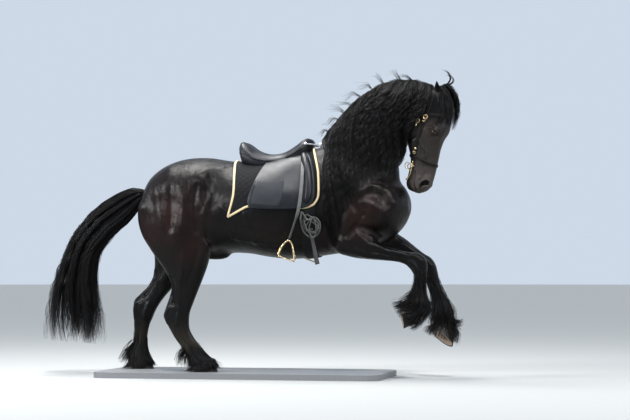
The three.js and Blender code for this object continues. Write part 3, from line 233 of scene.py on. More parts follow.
def lifted(grid, strokes):
    """A grid with swellings in side view: out from the middle by height * exp(-(d/radius)^2), where d is
    the distance to the stroke's line."""
    x1, z1, x2, z2, radius, height = (np.array(strokes, float).reshape(-1, 6) * MM).T[:, :, None, None]
    px, pz = grid[..., 0], grid[..., 2] - HOOF_LEVEL
    dx, dz = x2 - x1, z2 - z1
    t = np.clip(((px - x1) * dx + (pz - z1) * dz) / (dx * dx + dz * dz + 1e-12), 0, 1)
    far = np.hypot(px - x1 - t * dx, pz - z1 - t * dz) / radius
    out = (height * np.exp(-far * far)).sum(0)
    made = grid.copy()
    made[..., 1] += np.sign(grid[..., 1]) * out
    return made


def measured(rows):
    """Sections in millimetres over the hooves' level as sections in metres over the floor."""
    rows = np.array(rows, float)
    rows[:, :6] *= MM
    rows[:, [1, 3]] += HOOF_LEVEL
    return rows


# x and z of outline point a, x and z of outline point b, side, half width, widest, squareness a and b
TRUNK = measured([
    [-682, 1105, -672, 985, 0, 62, 0.5, 2, 2],
    [-655, 1182, -650, 880, 0, 158, 0.5, 2.1, 2],
    [-600, 1260, -600, 820, 0, 222, 0.47, 2.2, 2],
    [-500, 1324, -510, 775, 0, 268, 0.47, 2.3, 2],
    [-380, 1359, -400, 748, 0, 288, 0.48, 2.2, 2],
    [-245, 1364, -250, 742, 0, 292, 0.49, 2.1, 2.1],
    [-120, 1346, -110, 752, 0, 288, 0.48, 2, 2.2],
    [20, 1326, 30, 746, 0, 308, 0.45, 2, 2.2],
    [150, 1332, 160, 724, 0, 318, 0.45, 2, 2.2],
    [280, 1362, 290, 712, 0, 304, 0.45, 1.9, 2.2],
    [400, 1402, 410, 718, 0, 272, 0.43, 1.7, 2.2],
    [520, 1425, 520, 734, 0, 256, 0.42, 1.7, 2.1],
    [640, 1412, 640, 752, 0, 262, 0.42, 1.9, 2],
    [760, 1372, 760, 775, 0, 258, 0.44, 2, 2],
    [860, 1312, 870, 812, 0, 238, 0.46, 2, 2.1],
    [950, 1235, 960, 858, 0, 200, 0.48, 2, 2.2],
    [1022, 1168, 1022, 922, 0, 146, 0.5, 2, 2.2],
    [1058, 1098, 1060, 998, 0, 66, 0.5, 2, 2],
])
NECK = measured([
    [450, 1385, 880, 950, 0, 150, 0.45, 1.8, 2],
    [500, 1428, 975, 1100, 0, 176, 0.44, 1.8, 2],
    [585, 1555, 992, 1225, 0, 158, 0.43, 1.8, 2.1],
    [698, 1664, 985, 1325, 0, 126, 0.43, 1.9, 2.1],
    [808, 1744, 990, 1398, 0, 108, 0.46, 2, 2.1],
    [918, 1796, 1006, 1460, 0, 98, 0.5, 2, 2.1],
    [1010, 1814, 1040, 1510, 0, 92, 0.52, 2, 2.1],
    [1095, 1808, 1092, 1545, 0, 84, 0.52, 2.1, 2.1],
    [1172, 1782, 1150, 1580, 0, 66, 0.52, 2.1, 2],
])
FORE_RIGHT = measured([
    [800, 1010, 600, 890, -150, 60, 0.5, 2, 2],
    [800, 925, 612, 765, -172, 88, 0.5, 2, 2],
    [862, 842, 715, 722, -176, 84, 0.5, 2, 2],
    [940, 793, 815, 708, -174, 74, 0.5, 2, 2],
    [1020, 766, 915, 700, -170, 60, 0.5, 2, 2],
    [1085, 755, 1000, 692, -166, 50, 0.5, 2.2, 2],
    [1140, 748, 1052, 676, -164, 48, 0.5, 2.4, 2.2],
    [1178, 722, 1080, 652, -163, 49, 0.5, 2.5, 2.2],
    [1194, 678, 1096, 630, -162, 47, 0.5, 2.5, 2.2],
    [1192, 628, 1110, 600, -161, 40, 0.5, 2.2, 2.2],
    [1184, 570, 1113, 560, -160, 29, 0.5, 2, 2.2],
    [1182, 515, 1110, 510, -159, 27, 0.5, 2, 2.2],
    [1188, 474, 1104, 470, -158, 32, 0.5, 2, 2.2],
    [1202, 436, 1094, 452, -157, 40, 0.5, 2, 2.2],
    [1194, 390, 1086, 436, -156, 36, 0.5, 2, 2.1],
    [1158, 346, 1080, 424, -155, 37, 0.5, 2, 2.1],
    [1116, 315, 1058, 421, -154, 49, 0.5, 2, 2],
])
FORE_LEFT = measured([
    [830, 1050, 640, 910, 145, 60, 0.5, 2, 2],
    [852, 965, 690, 805, 166, 86, 0.5, 2, 2],
    [925, 895, 780, 748, 170, 82, 0.5, 2, 2],
    [1005, 842, 888, 715, 166, 72, 0.5, 2, 2],
    [1072, 788, 980, 692, 160, 60, 0.5, 2, 2],
    [1122, 750, 1040, 672, 155, 51, 0.5, 2.2, 2],
    [1168, 722, 1080, 648, 152, 49, 0.5, 2.4, 2.2],
    [1198, 680, 1104, 622, 150, 49, 0.5, 2.5, 2.2],
    [1212, 630, 1120, 588, 150, 46, 0.5, 2.4, 2.2],
    [1224, 575, 1142, 548, 150, 38, 0.5, 2.2, 2.2],
    [1242, 520, 1170, 498, 150, 29, 0.5, 2, 2.2],
    [1264, 468, 1186, 446, 150, 29, 0.5, 2, 2.2],
    [1292, 420, 1188, 398, 150, 38, 0.5, 2, 2.2],
    [1304, 375, 1190, 358, 150, 41, 0.5, 2, 2.2],
    [1306, 325, 1208, 320, 150, 36, 0.5, 2, 2.1],
    [1312, 280, 1204, 300, 150, 40, 0.5, 2, 2.1],
    [1319, 248, 1196, 288, 150, 50, 0.5, 2, 2],
])
HIND_RIGHT = measured([
    [-170, 1170, -560, 1190, -150, 60, 0.5, 2, 2],
    [-130, 1060, -655, 1070, -170, 104, 0.5, 2, 2.2],
    [-130, 955, -668, 965, -176, 116, 0.48, 2, 2.2],
    [-148, 855, -640, 862, -180, 113, 0.48, 2, 2.1],
    [-178, 766, -590, 782, -182, 102, 0.5, 2, 2],
    [-204, 680, -535, 702, -180, 88, 0.52, 2, 2],
    [-238, 592, -480, 622, -175, 72, 0.54, 2, 2],
    [-275, 505, -448, 545, -170, 57, 0.56, 2, 2],
    [-306, 430, -462, 475, -166, 45, 0.58, 2.2, 2],
    [-328, 372, -488, 402, -164, 42, 0.6, 2.4, 2],
    [-334, 322, -502, 348, -162, 43, 0.6, 2.4, 2.2],
    [-331, 274, -474, 290, -160, 42, 0.56, 2.3, 2.2],
    [-312, 232, -432, 216, -158, 35, 0.54, 2, 2.2],
    [-274, 176, -384, 150, -155, 31, 0.54, 2, 2.2],
    [-236, 124, -344, 98, -152, 35, 0.52, 2, 2.2],
    [-210, 92, -325, 58, -150, 43, 0.5, 2, 2.2],
    [-193, 76, -306, 36, -148, 46, 0.5, 2, 2.1],
    [-182, 67, -298, 28, -148, 50, 0.5, 2, 2],
])
HIND_LEFT = measured([
    [-190, 1170, -560, 1190, 150, 60, 0.5, 2, 2],
    [-170, 1060, -655, 1070, 170, 104, 0.5, 2, 2.2],
    [-190, 955, -680, 960, 176, 114, 0.48, 2, 2.2],
    [-235, 855, -685, 868, 179, 110, 0.48, 2, 2.1],
    [-295, 768, -676, 792, 180, 100, 0.5, 2, 2],
    [-372, 684, -666, 722, 178, 86, 0.52, 2, 2],
    [-450, 608, -665, 655, 174, 71, 0.54, 2, 2],
    [-522, 542, -676, 592, 170, 56, 0.56, 2, 2],
    [-580, 482, -712, 532, 166, 45, 0.58, 2.2, 2],
    [-622, 428, -762, 484, 163, 42, 0.6, 2.4, 2],
    [-652, 378, -800, 440, 161, 43, 0.6, 2.4, 2.2],
    [-672, 330, -802, 366, 160, 42, 0.56, 2.3, 2.2],
    [-692, 284, -800, 302, 160, 36, 0.54, 2, 2.2],
    [-706, 214, -798, 222, 158, 31, 0.54, 2, 2.2],
    [-708, 150, -800, 152, 156, 35, 0.52, 2, 2.2],
    [-700, 98, -814, 100, 154, 43, 0.5, 2, 2.2],
    [-694, 74, -806, 56, 153, 47, 0.5, 2, 2.1],
    [-692, 64, -802, 40, 152, 50, 0.5, 2, 2],
])
LEGS = {"fore_right": FORE_RIGHT, "fore_left": FORE_LEFT, "hind_right": HIND_RIGHT, "hind_left": HIND_LEFT}

# x1, z1, x2, z2, radius, height of the broad swellings that the solids have too
TRUNK_STROKES = [
    [980, 1060, 760, 850, 80, 16],
    [700, 900, 640, 830, 70, 20],
    [780, 1290, 900, 1100, 30, 8],
    [600, 1250, 640, 950, 45, -10],
    [-170, 1180, -250, 1080, 70, -16],
    [-330, 1260, -520, 1150, 90, 14],
    [-215, 1225, -235, 1190, 45, 12],
    [950, 1020, 930, 960, 60, 14],
]
HIND_STROKES = [
    [-560, 1080, -600, 850, 50, -6],
    [-430, 1080, -420, 860, 90, 14],
    [-215, 800, -200, 740, 40, 12],
]

# The head has its own directions: s runs down the face from the poll, t forwards from it.
POLL = (1234 * MM, 1772 * MM + HOOF_LEVEL)
FACE_LEAN = math.radians(18.6)


def head_xz(s, t):
    """x and z of a place on the head's side view, s down the face and t forwards, in metres."""
    s, t = np.asarray(s, float), np.asarray(t, float)
    x = POLL[0] - math.sin(FACE_LEAN) * s + math.cos(FACE_LEAN) * t
    return x, POLL[1] - math.cos(FACE_LEAN) * s - math.sin(FACE_LEAN) * t


def head_st(x, z):
    """The head's own s and t of a place in the side view."""
    dx, dz = x - POLL[0], POLL[1] - z
    return dz * math.cos(FACE_LEAN) - dx * math.sin(FACE_LEAN), dx * math.cos(FACE_LEAN) + dz * math.sin(FACE_LEAN)


# s and t on the face, s and t under the jaw, half width, widest, squareness of face and jaw
HEAD_ST = np.array([
    [-14, 0, -6, -110, 40, 0.5, 2, 2],
    [6, 52, 8, -138, 70, 0.55, 2.2, 2.2],
    [48, 104, 56, -160, 88, 0.6, 2.3, 2.3],
    [108, 132, 128, -168, 95, 0.62, 2.4, 2.3],
    [172, 149, 198, -162, 101, 0.66, 2.5, 2.2],
    [232, 155, 262, -146, 106, 0.7, 2.6, 2.2],
    [286, 141, 320, -116, 99, 0.7, 2.6, 2.2],
    [350, 139, 380, -74, 82, 0.68, 2.6, 2.3],
    [410, 146, 436, -38, 68, 0.62, 2.6, 2.4],
    [470, 153, 490, -16, 59, 0.56, 2.6, 2.4],
    [530, 157, 545, -10, 56, 0.54, 2.6, 2.4],
    [580, 156, 592, -6, 60, 0.56, 2.7, 2.3],
    [612, 146, 622, 0, 58, 0.55, 2.6, 2.2],
    [636, 124, 648, 22, 46, 0.52, 2.4, 2.2],
    [650, 100, 655, 56, 24, 0.5, 2, 2],
])
face_x, face_z = head_xz(HEAD_ST[:, 0] * MM, HEAD_ST[:, 1] * MM)
jaw_x, jaw_z = head_xz(HEAD_ST[:, 2] * MM, HEAD_ST[:, 3] * MM)
HEAD = np.stack([
    face_x, face_z, jaw_x, jaw_z, 0 * face_x, HEAD_ST[:, 4] * MM,
    HEAD_ST[:, 5], HEAD_ST[:, 6], HEAD_ST[:, 7],
], 1)
SHEATH = ((-200 * MM, 0, 742 * MM + HOOF_LEVEL), (95 * MM, 48 * MM, 34 * MM))


def egg(middle, radii, rings=24, sides=32):
    """Rings of points of an ellipsoid: middle + radii * (sin v cos u, sin v sin u, cos v)."""
    v = (np.arange(rings) + 0.5)[:, None] / rings * np.pi
    u = np.arange(sides)[None] / sides * 2 * np.pi
    ball = np.stack([np.sin(v) * np.cos(u), np.sin(v) * np.sin(u), np.cos(v) + 0 * u], 2)
    return np.array(middle) + ball * np.array(radii)


def unit(directions, tiny=0.0):
    """Directions at length 1. A tiny length added to each keeps a zero one from dividing by nothing."""
    return directions / (np.linalg.norm(directions, axis=-1, keepdims=True) + tiny)


def vertex_normals(points, faces):
    """The mean direction of the faces round each point, by their area."""
    total = np.zeros_like(points)
    for f in faces:
        a, b, c = points[f[:, 0]], points[f[:, 1]], points[f[:, 2]]
        across = np.cross(b - a, c - a) if f.shape[1] == 3 else np.cross(c - a, points[f[:, 3]] - b)
        for k in range(f.shape[1]):
            for axis in range(3):
                total[:, axis] += np.bincount(f[:, k], across[:, axis], len(points))
    return unit(total, 1e-12)


def neighbour_mean(values, edges):
    """The mean of each point's neighbours along the edges."""
    a, b = edges.T
    count = np.bincount(a, minlength=len(values)) + np.bincount(b, minlength=len(values))
    total = np.stack([
        np.bincount(a, values[b, k], len(values)) + np.bincount(b, values[a, k], len(values))
        for k in range(values.shape[1])
    ], 1)
    return total / np.maximum(count, 1)[:, None]


def arrays_of(mesh):
    """A mesh's points, edges and faces as arrays, the faces sorted by their number of corners."""
    points = np.zeros(len(mesh.vertices) * 3)
    mesh.vertices.foreach_get("co", points)
    edges = np.zeros(len(mesh.edges) * 2, int)
    mesh.edges.foreach_get("vertices", edges)
    corners = np.zeros(len(mesh.loops), int)
    mesh.loops.foreach_get("vertex_index", corners)
    starts = np.zeros(len(mesh.polygons), int)
    counts = np.zeros(len(mesh.polygons), int)
    mesh.polygons.foreach_get("loop_start", starts)
    mesh.polygons.foreach_get("loop_total", counts)
    faces = [corners[starts[counts == n][:, None] + np.arange(n)] for n in np.unique(counts)]
    return points.reshape(-1, 3), edges.reshape(-1, 2), faces


def set_points(mesh, points):
    """Moves a mesh's points to an array's places."""
    mesh.vertices.foreach_set("co", points.astype(np.float32).ravel())
    mesh.update()


def applied(mesh, kind, **settings):
    """The mesh after one modifier of a kind with its settings."""
    carrier = bpy.data.objects.new("carrier", mesh)
    bpy.context.scene.collection.objects.link(carrier)
    modifier = carrier.modifiers.new("shape", kind)
    for key, value in settings.items():
        setattr(modifier, key, value)
    made = bpy.data.meshes.new_from_object(carrier.evaluated_get(bpy.context.evaluated_depsgraph_get()))
    bpy.data.objects.remove(carrier)
    return made


def joined_forms(*forms):
    """Points and faces of several forms as one list of each."""
    shift = np.cumsum([0] + [len(points) for points, faces in forms])
    points = np.concatenate([points for points, faces in forms])
    by_corners = {}
    for (p, faces), by in zip(forms, shift):
        for f in faces:
            by_corners.setdefault(f.shape[1], []).append(f + by)
    return points, [np.concatenate(fs) for fs in by_corners.values()]


def finer(mesh, chosen):
    """The mesh with the faces that a mask chooses cut in four."""
    work = bmesh.new()
    work.from_mesh(mesh)
    work.faces.ensure_lookup_table()
    edges = {e for i in np.flatnonzero(chosen) for e in work.faces[i].edges}
    bmesh.ops.subdivide_edges(work, edges=list(edges), cuts=1, use_grid_fill=True)
    bmesh.ops.triangulate(work, faces=[f for f in work.faces if len(f.verts) > 4])
    work.to_mesh(mesh)
    work.free()
    return mesh


def face_middles(mesh):
    """The middle of each face."""
    middles = np.zeros(len(mesh.polygons) * 3)
    mesh.polygons.foreach_get("center", middles)
    return middles.reshape(-1, 3)


# The chin lies close to the chest. While the rough skin is made, the face is turned out round the poll,
# the more the further from it, so that the two don't grow together; then it is turned back.
NOSE_OUT = math.radians(10)
NOSE_START = (0.44, 0.56)
GAP_LINE = [
    (0.36, -0.30), (0.44, -0.17), (0.50, -0.065), (0.56, 0.012), (0.60, 0.036), (0.64, 0.098), (0.69, 0.16),
]
CHIN_LINE = [
    (0.36, -0.33), (0.386, -0.25), (0.446, -0.17), (0.50, -0.108), (0.60, -0.05), (0.64, 0.012), (0.69, 0.10),
]
NOSE_REACH = 0.69


def nose_turned(points, share):
    """Points turned in the side view round the poll by share * NOSE_OUT * smooth(distance)."""
    dx, dz = points[..., 0] - POLL[0], points[..., 2] - POLL[1]
    turn = share * NOSE_OUT * smooth(np.hypot(dx, dz), *NOSE_START)
    x = POLL[0] + dx * np.cos(turn) - dz * np.sin(turn)
    z = POLL[1] + dx * np.sin(turn) + dz * np.cos(turn)
    return np.stack([x, points[..., 1], z], -1)


def before_line(points, line):
    """True for points on the face's side of a line of (distance from the poll, angle forwards) pairs."""
    s, t = head_st(points[:, 0], points[:, 2])
    far = np.hypot(s, t)
    return (far < NOSE_REACH) & (np.arctan2(t, s) > np.interp(far, *np.array(line).T)) & (s > 0)


trunk_form = closed_form(lifted(section_grid(TRUNK, 150, 96), TRUNK_STROKES))
neck_form = closed_form(section_grid(NECK, 90, 80))
head_form = closed_form(section_grid(HEAD, 160, 96))
leg_forms = {
    name: closed_form(lifted(section_grid(rows, 160, 56), HIND_STROKES if "hind" in name else []))
    for name, rows in LEGS.items()
}
sheath_form = closed_form(egg(*SHEATH))
head_out = (nose_turned(head_form[0], 1), head_form[1])
rough_points, rough_faces = joined_forms(trunk_form, neck_form, head_out, sheath_form, *leg_forms.values())
rough = new_mesh("rough", rough_points, *rough_faces)
skin_mesh = applied(rough, "REMESH", mode="VOXEL", voxel_size=SKIN_CELL, adaptivity=0)

FILL_STEPS = 16
EVEN_STEPS = 14


def creases_filled(points, edges, faces, steps):
    """Hollow creases filled: each step moves a point out by its neighbours' mean where that lies outside."""
    for _ in range(steps):
        normals = vertex_normals(points, faces)
        step = neighbour_mean(points, edges) - points
        out = np.einsum("ij,ij->i", step, normals)[:, None]
        points = points + 0.7 * np.maximum(out, 0) * normals + 0.25 * (step - out * normals)
    return points


def evened(points, edges, steps, amount=1.0):
    """Small bumps evened out, with no loss of volume: a step to the neighbours' mean, then one back."""
    for _ in range(steps):
        points = points + 0.5 * amount * (neighbour_mean(points, edges) - points)
        points = points - 0.52 * amount * (neighbour_mean(points, edges) - points)
    return points


skin_points, skin_edges, skin_faces = arrays_of(skin_mesh)
skin_points = creases_filled(skin_points, skin_edges, skin_faces, FILL_STEPS)
skin_points = evened(skin_points, skin_edges, EVEN_STEPS)
turned = before_line(skin_points, GAP_LINE)
skin_points[turned] = nose_turned(skin_points[turned], -1)
set_points(skin_mesh, skin_points)

# Fine stretches: the head, the lower legs, then the face round the eyes and the muzzle once more.
HEAD_TOP_S = 30 * MM
THROAT_T = -0.165
LOWER_LEG = {"fore": 800 * MM + HOOF_LEVEL, "hind": 640 * MM + HOOF_LEVEL}
EYE_AT = (258 * MM, 80 * MM)
EYE_FINE = 46 * MM
NOSTRIL_AT = (590 * MM, 104 * MM)


def in_head(points):
    """True in front of the throat and below the poll."""
    s, t = head_st(points[:, 0], points[:, 2])
    return (s > HEAD_TOP_S) & (t > THROAT_T) & before_line(points, CHIN_LINE)


def in_lower_legs(points):
    """True on the legs below the elbow and the stifle."""
    x, y, z = points.T
    hind = (x < 0) & (z < LOWER_LEG["hind"])
    fore = (x > 0.86) & (z < LOWER_LEG["fore"] - 0.35 * np.clip(1.0 - x, 0, 1)) & (np.abs(y) > 0.09)
    return (hind | fore) & (np.abs(y) > 0.07)


def round_features(points):
    """True round the eyes, the nostrils and the mouth."""
    s, t = head_st(points[:, 0], points[:, 2])
    eye = np.hypot(s - EYE_AT[0], t - EYE_AT[1]) < EYE_FINE
    muzzle = (s > 0.505) & (t > -0.02)
    return in_head(points) & ((eye & (np.abs(points[:, 1]) > 0.05)) | muzzle)


middles = face_middles(skin_mesh)
finer(skin_mesh, in_head(middles) | in_lower_legs(middles))
finer(skin_mesh, round_features(face_middles(skin_mesh)))
skin_points, skin_edges, skin_faces = arrays_of(skin_mesh)
fine = (in_head(skin_points) | in_lower_legs(skin_points))[:, None].astype(float)
skin_points = evened(skin_points, skin_edges, 6, fine)
set_points(skin_mesh, skin_points)


def drawn_to(mesh, form, weight):
    """The mesh's points drawn onto the nearest place of a form's surface, by a weight for each point."""
    points, faces = form
    target = bpy.data.objects.new("target", new_mesh("target", points, *faces))
    bpy.context.scene.collection.objects.link(target)
    near = arrays_of(applied(mesh.copy(), "SHRINKWRAP", target=target, wrap_method="NEAREST_SURFACEPOINT"))[0]
    bpy.data.objects.remove(target)
    own = arrays_of(mesh)[0]
    set_points(mesh, own + weight[:, None] * (near - own))


s, t = head_st(skin_points[:, 0], skin_points[:, 2])
drawn_to(skin_mesh, head_form, in_head(skin_points) * smooth(s, 0.10, 0.2) * smooth(t, -0.15, -0.10))
for name, form in leg_forms.items():
    sign = -1 if "right" in name else 1
    x, y, z = arrays_of(skin_mesh)[0].T
    own_side = (y * sign > 0.05) & ((x < 0) == ("hind" in name))
    if "hind" in name:
        weight = smooth(z, LOWER_LEG["hind"] + 0.08, LOWER_LEG["hind"] - 0.06)
    else:
        weight = smooth(x - 0.5 * (z - 0.75), 0.96, 1.06)
    drawn_to(skin_mesh, form, own_side * weight)


# Muscles, bones, tendons and veins, as lines in the side view of the right (-1), the left (1) or both (0)
# sides: side, radius, height, then x and z of the line's points.
RELIEF = [
    (0, 34, 7, (640, 1330), (700, 1240), (790, 1110), (860, 1010)),
    (0, 22, -5, (600, 1300), (655, 1190), (740, 1060), (800, 985)),
    (0, 26, 6, (905, 1180), (880, 1080), (845, 985)),
    (0, 18, -5, (935, 1150), (915, 1060), (880, 965)),
    (0, 40, 9, (720, 985), (690, 900), (660, 830)),
    (0, 14, -5, (800, 985), (755, 905), (700, 850)),
    (0, 16, -5, (590, 1120), (600, 1000), (590, 900), (560, 800)),
    (0, 55, 8, (960, 1020), (985, 1080), (975, 1130)),
    (0, 60, 5, (60, 1180), (180, 1130), (330, 1100)),
    (0, 26, -5, (-90, 960), (60, 900), (250, 850), (420, 830)),
    (0, 9, 3, (-40, 850), (60, 826), (160, 812), (300, 800), (420, 806)),
    (0, 8, 2.5, (120, 818), (150, 850), (210, 868)),
    (0, 46, -7, (-150, 1210), (-190, 1130), (-160, 1050)),
    (0, 60, 9, (-470, 1270), (-560, 1180), (-610, 1060)),
    (0, 40, -5, (-500, 1240), (-560, 1120), (-590, 1000), (-585, 900)),
    (0, 40, -4, (-360, 1150), (-400, 1040), (-430, 930), (-450, 850)),
    (0, 60, 8, (-330, 1090), (-350, 980), (-380, 860)),
    (0, 26, -6, (-230, 1010), (-200, 920), (-180, 840)),
    (0, 22, 5, (-250, 1240), (-222, 1180), (-232, 1090), (-215, 990)),
    (0, 24, 5, (-120, 1290), (-200, 1280), (-280, 1230)),
    (-1, 20, 6, (-205, 800), (-225, 740), (-245, 680)),
    (-1, 13, -5, (-250, 760), (-290, 640), (-330, 560)),
    (-1, 26, 6, (-330, 740), (-360, 640), (-390, 570)),
    (-1, 11, -7, (-440, 600), (-425, 540), (-440, 480), (-430, 430)),
    (-1, 8, 4, (-480, 610), (-462, 540), (-478, 470)),
    (-1, 9, 4, (-350, 640), (-372, 560), (-380, 480), (-395, 400)),
    (-1, 13, 5, (-380, 400), (-395, 350), (-400, 310)),
    (-1, 12, 5, (-468, 400), (-480, 360), (-470, 310)),
    (-1, 7, -4, (-400, 280), (-372, 210), (-345, 165)),
    (-1, 6, 3, (-430, 260), (-392, 190), (-365, 145)),
    (1, 20, 6, (-280, 790), (-360, 700), (-420, 650)),
    (1, 13, -5, (-400, 740), (-470, 650), (-550, 580)),
    (1, 26, 6, (-480, 720), (-540, 640), (-600, 570)),
    (1, 11, -7, (-640, 640), (-650, 580), (-690, 520), (-720, 480)),
    (1, 8, 4, (-665, 640), (-690, 570), (-740, 510)),
    (1, 13, 5, (-690, 420), (-710, 370), (-720, 330)),
    (1, 12, 5, (-780, 430), (-792, 380), (-785, 330)),
    (1, 7, -4, (-760, 290), (-762, 220), (-760, 160)),
    (-1, 16, 6, (760, 870), (850, 800), (960, 765), (1050, 742)),
    (-1, 10, -5, (740, 800), (840, 760), (960, 738), (1040, 722)),
    (-1, 18, 6, (720, 770), (820, 730), (930, 712), (1000, 700)),
    (-1, 7, 3.5, (800, 890), (850, 842), (905, 812), (980, 775), (1040, 755)),
    (-1, 6, 3, (850, 842), (880, 800), (930, 765), (985, 730)),
    (-1, 14, 5, (1090, 735), (1130, 725), (1165, 700)),
    (-1, 12, 5, (1090, 690), (1120, 665), (1130, 640)),
    (-1, 10, -4, (1110, 715), (1135, 685), (1150, 650)),
    (-1, 7, -4, (1150, 610), (1144, 550), (1142, 500)),
    (-1, 6, 3, (1124, 600), (1120, 540), (1118, 490)),
    (1, 16, 6, (820, 930), (900, 880), (1000, 810), (1070, 760)),
    (1, 10, -5, (800, 860), (890, 810), (980, 760), (1050, 715)),
    (1, 14, 5, (1110, 715), (1150, 700), (1180, 670)),
    (1, 12, 5, (1110, 660), (1130, 630), (1150, 600)),
    (1, 7, -4, (1185, 560), (1205, 500), (1225, 450)),
    (0, 15, 6, (-208, 1230), (-168, 1120), (-212, 976), (-216, 830), (-175, 760)),
    (0, 15, -7, (-257, 1171), (-276, 1039), (-256, 882)),
    (0, 20, 6, (-361, 1172), (-328, 1027), (-347, 869)),
    (0, 24, 6, (-525, 1168), (-499, 1015), (-465, 883)),
    (0, 16, -5, (-430, 1170), (-420, 1040), (-410, 900)),
    (0, 14, 6, (769, 1125), (850, 1167), (944, 1135), (994, 1042)),
    (0, 12, -6, (790, 1085), (850, 1125), (920, 1100), (950, 1040)),
    (0, 13, 6, (800, 1060), (875, 1040), (938, 990)),
    (0, 12, -6, (700, 850), (755, 920), (844, 895), (903, 855)),
    (0, 10, 4, (-94, 1044), (-29, 943), (10, 830)),
    (0, 10, 4, (62, 993), (100, 893), (113, 812)),
    (-1, 8, 4, (825, 850), (988, 815), (1080, 770)),
]
# The same on the head, in its own s and t.
FACE_RELIEF = [
    (0, 9, 5, (262, 18), (320, 36), (385, 62), (420, 74)),
    (0, 14, -4, (300, 70), (360, 92), (420, 108)),
    (0, 7, 3, (330, 4), (370, 34), (420, 52), (470, 70)),
    (0, 5, 2, (370, 34), (400, 92), (430, 118)),
    (0, 5, 2, (420, 52), (480, 40), (530, 34)),
    (0, 26, 5, (170, -60), (240, -70), (300, -60)),
    (0, 9, -5, (330, -30), (350, -60), (356, -86)),
    (0, 14, 5, (206, 126), (250, 132), (292, 122)),
    (0, 14, -7, (168, 96), (200, 92), (216, 84)),
    (0, 16, 5, (540, 128), (580, 134), (614, 122)),
    (0, 12, 4, (560, 70), (590, 66), (620, 78)),
    (0, 9, -3, (520, 100), (548, 96), (572, 84)),
    (0, 10, 4, (600, 32), (622, 40), (640, 60)),
]
MOUTH_LINE = [(668, 98), (640, 78), (606, 57), (560, 44), (526, 36)]


# How much deeper than the solids' lines the lines of the body and the face are.
BODY_DEEP = 1.5
FACE_DEEP = 1.6
LIP_HIGH = 5.5 * MM
MOUTH_DEEP = 9.35 * MM
LIP_WIDE = 12 * MM
MOUTH_WIDE = 3.5 * MM


def line_distance(u, v, line):
    """The distance of places (u, v) to a bent line of points."""
    best = np.full(len(u), 9.0)
    for (u1, v1), (u2, v2) in zip(line[:-1], line[1:]):
        du, dv = u2 - u1, v2 - v1
        along = np.clip(((u - u1) * du + (v - v1) * dv) / (du * du + dv * dv), 0, 1)
        best = np.minimum(best, np.hypot(u - u1 - along * du, v - v1 - along * dv))
    return best


def relief(points, normals, rows, place, in_area):
    """The height over the skin: the sum of height * exp(-(distance / radius)^2) of the lines, on the skin
    that faces sideways."""
    u, v = place
    total = np.zeros(len(points))
    facing = smooth(np.abs(normals[:, 1]), 0.15, 0.6) * in_area
    for side, radius, height, *line in rows:
        on_side = 1.0 if side == 0 else (points[:, 1] * side > 0)
        far = line_distance(u, v, np.array(line) * MM) / (radius * MM)
        total += on_side * height * MM * np.exp(-far * far)
    return total * facing


skin_points, skin_edges, skin_faces = arrays_of(skin_mesh)
normals = vertex_normals(skin_points, skin_faces)
x, y, z = skin_points.T
s, t = head_st(x, z)
on_head = in_head(skin_points)
height = BODY_DEEP * relief(skin_points, normals, RELIEF, (x, z - HOOF_LEVEL), ~on_head)
height += FACE_DEEP * relief(skin_points, normals, FACE_RELIEF, (s, t), on_head)
mouth = line_distance(s, t, np.array(MOUTH_LINE) * MM)
lips = LIP_HIGH * np.exp(-(mouth / LIP_WIDE) ** 2) - MOUTH_DEEP * np.exp(-(mouth / MOUTH_WIDE) ** 2)
height += on_head * (s > 0.5) * lips
skin_points = skin_points + (height - COAT_DEPTH)[:, None] * normals

# Each nostril is a comma: round towards the face, drawn out to a point towards the lip. q is the distance
# from its middle line over its half width, below 1 inside it.
NOSTRIL_LONG = 46 * MM
NOSTRIL_TURN = math.atan2(-27, 34)
NOSTRIL_DEEP = 26 * MM
NOSTRIL_RIM = 4.5 * MM
along = (s - NOSTRIL_AT[0]) * math.cos(NOSTRIL_TURN) + (t - NOSTRIL_AT[1]) * math.sin(NOSTRIL_TURN)
across = -(s - NOSTRIL_AT[0]) * math.sin(NOSTRIL_TURN) + (t - NOSTRIL_AT[1]) * math.cos(NOSTRIL_TURN)
share = np.clip(along / NOSTRIL_LONG + 0.5, 0, 1)
half = (13.5 * (1 - share) ** 0.6 + 4.0) * MM
beyond = np.maximum(np.abs(along) - NOSTRIL_LONG / 2, 0)
across = across - 7 * MM * (2 * share - 1) ** 2
q = np.hypot(across, beyond) / half
on_muzzle = on_head & (np.abs(y) > 0.025) & (s > 0.53)
open_nostril = on_muzzle * (1 - smooth(q, 0.55, 1.05))
rim = on_muzzle * np.exp(-((q - 1.35) / 0.35) ** 2)
skin_points[:, 1] -= np.sign(y) * NOSTRIL_DEEP * open_nostril
skin_points = skin_points + (NOSTRIL_RIM * rim)[:, None] * normals

# The lids close over the eyeball to a slit. q is below 1 in the opening between them.
EYE_RADIUS = 23 * MM
EYE_FLAT = 0.87
EYE_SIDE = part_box("eye_left")[1].y - 20 * MM
LID = 3.0 * MM
SLIT_TURN = math.atan2(0.94, 0.34)
SLIT_LONG = 21 * MM
SLIT_HIGH = 8.5 * MM
ds, dt = s - EYE_AT[0], t - EYE_AT[1]
along = ds * math.cos(SLIT_TURN) + dt * math.sin(SLIT_TURN)
across = -ds * math.sin(SLIT_TURN) + dt * math.cos(SLIT_TURN)
far = np.hypot(ds, dt)
on_eye = on_head & (far < 60 * MM) & (np.abs(y) > 0.04)
lid_ball = EYE_RADIUS + LID
lid_out = EYE_SIDE + EYE_FLAT * np.sqrt(np.maximum(lid_ball ** 2 - far ** 2, 0)) * (far < lid_ball)
out = np.abs(skin_points[:, 1])
weight = smooth(far, EYE_RADIUS + LID + 9 * MM, EYE_RADIUS - 3 * MM) * on_eye
out = out + weight * np.maximum(lid_out - out, -0.004)
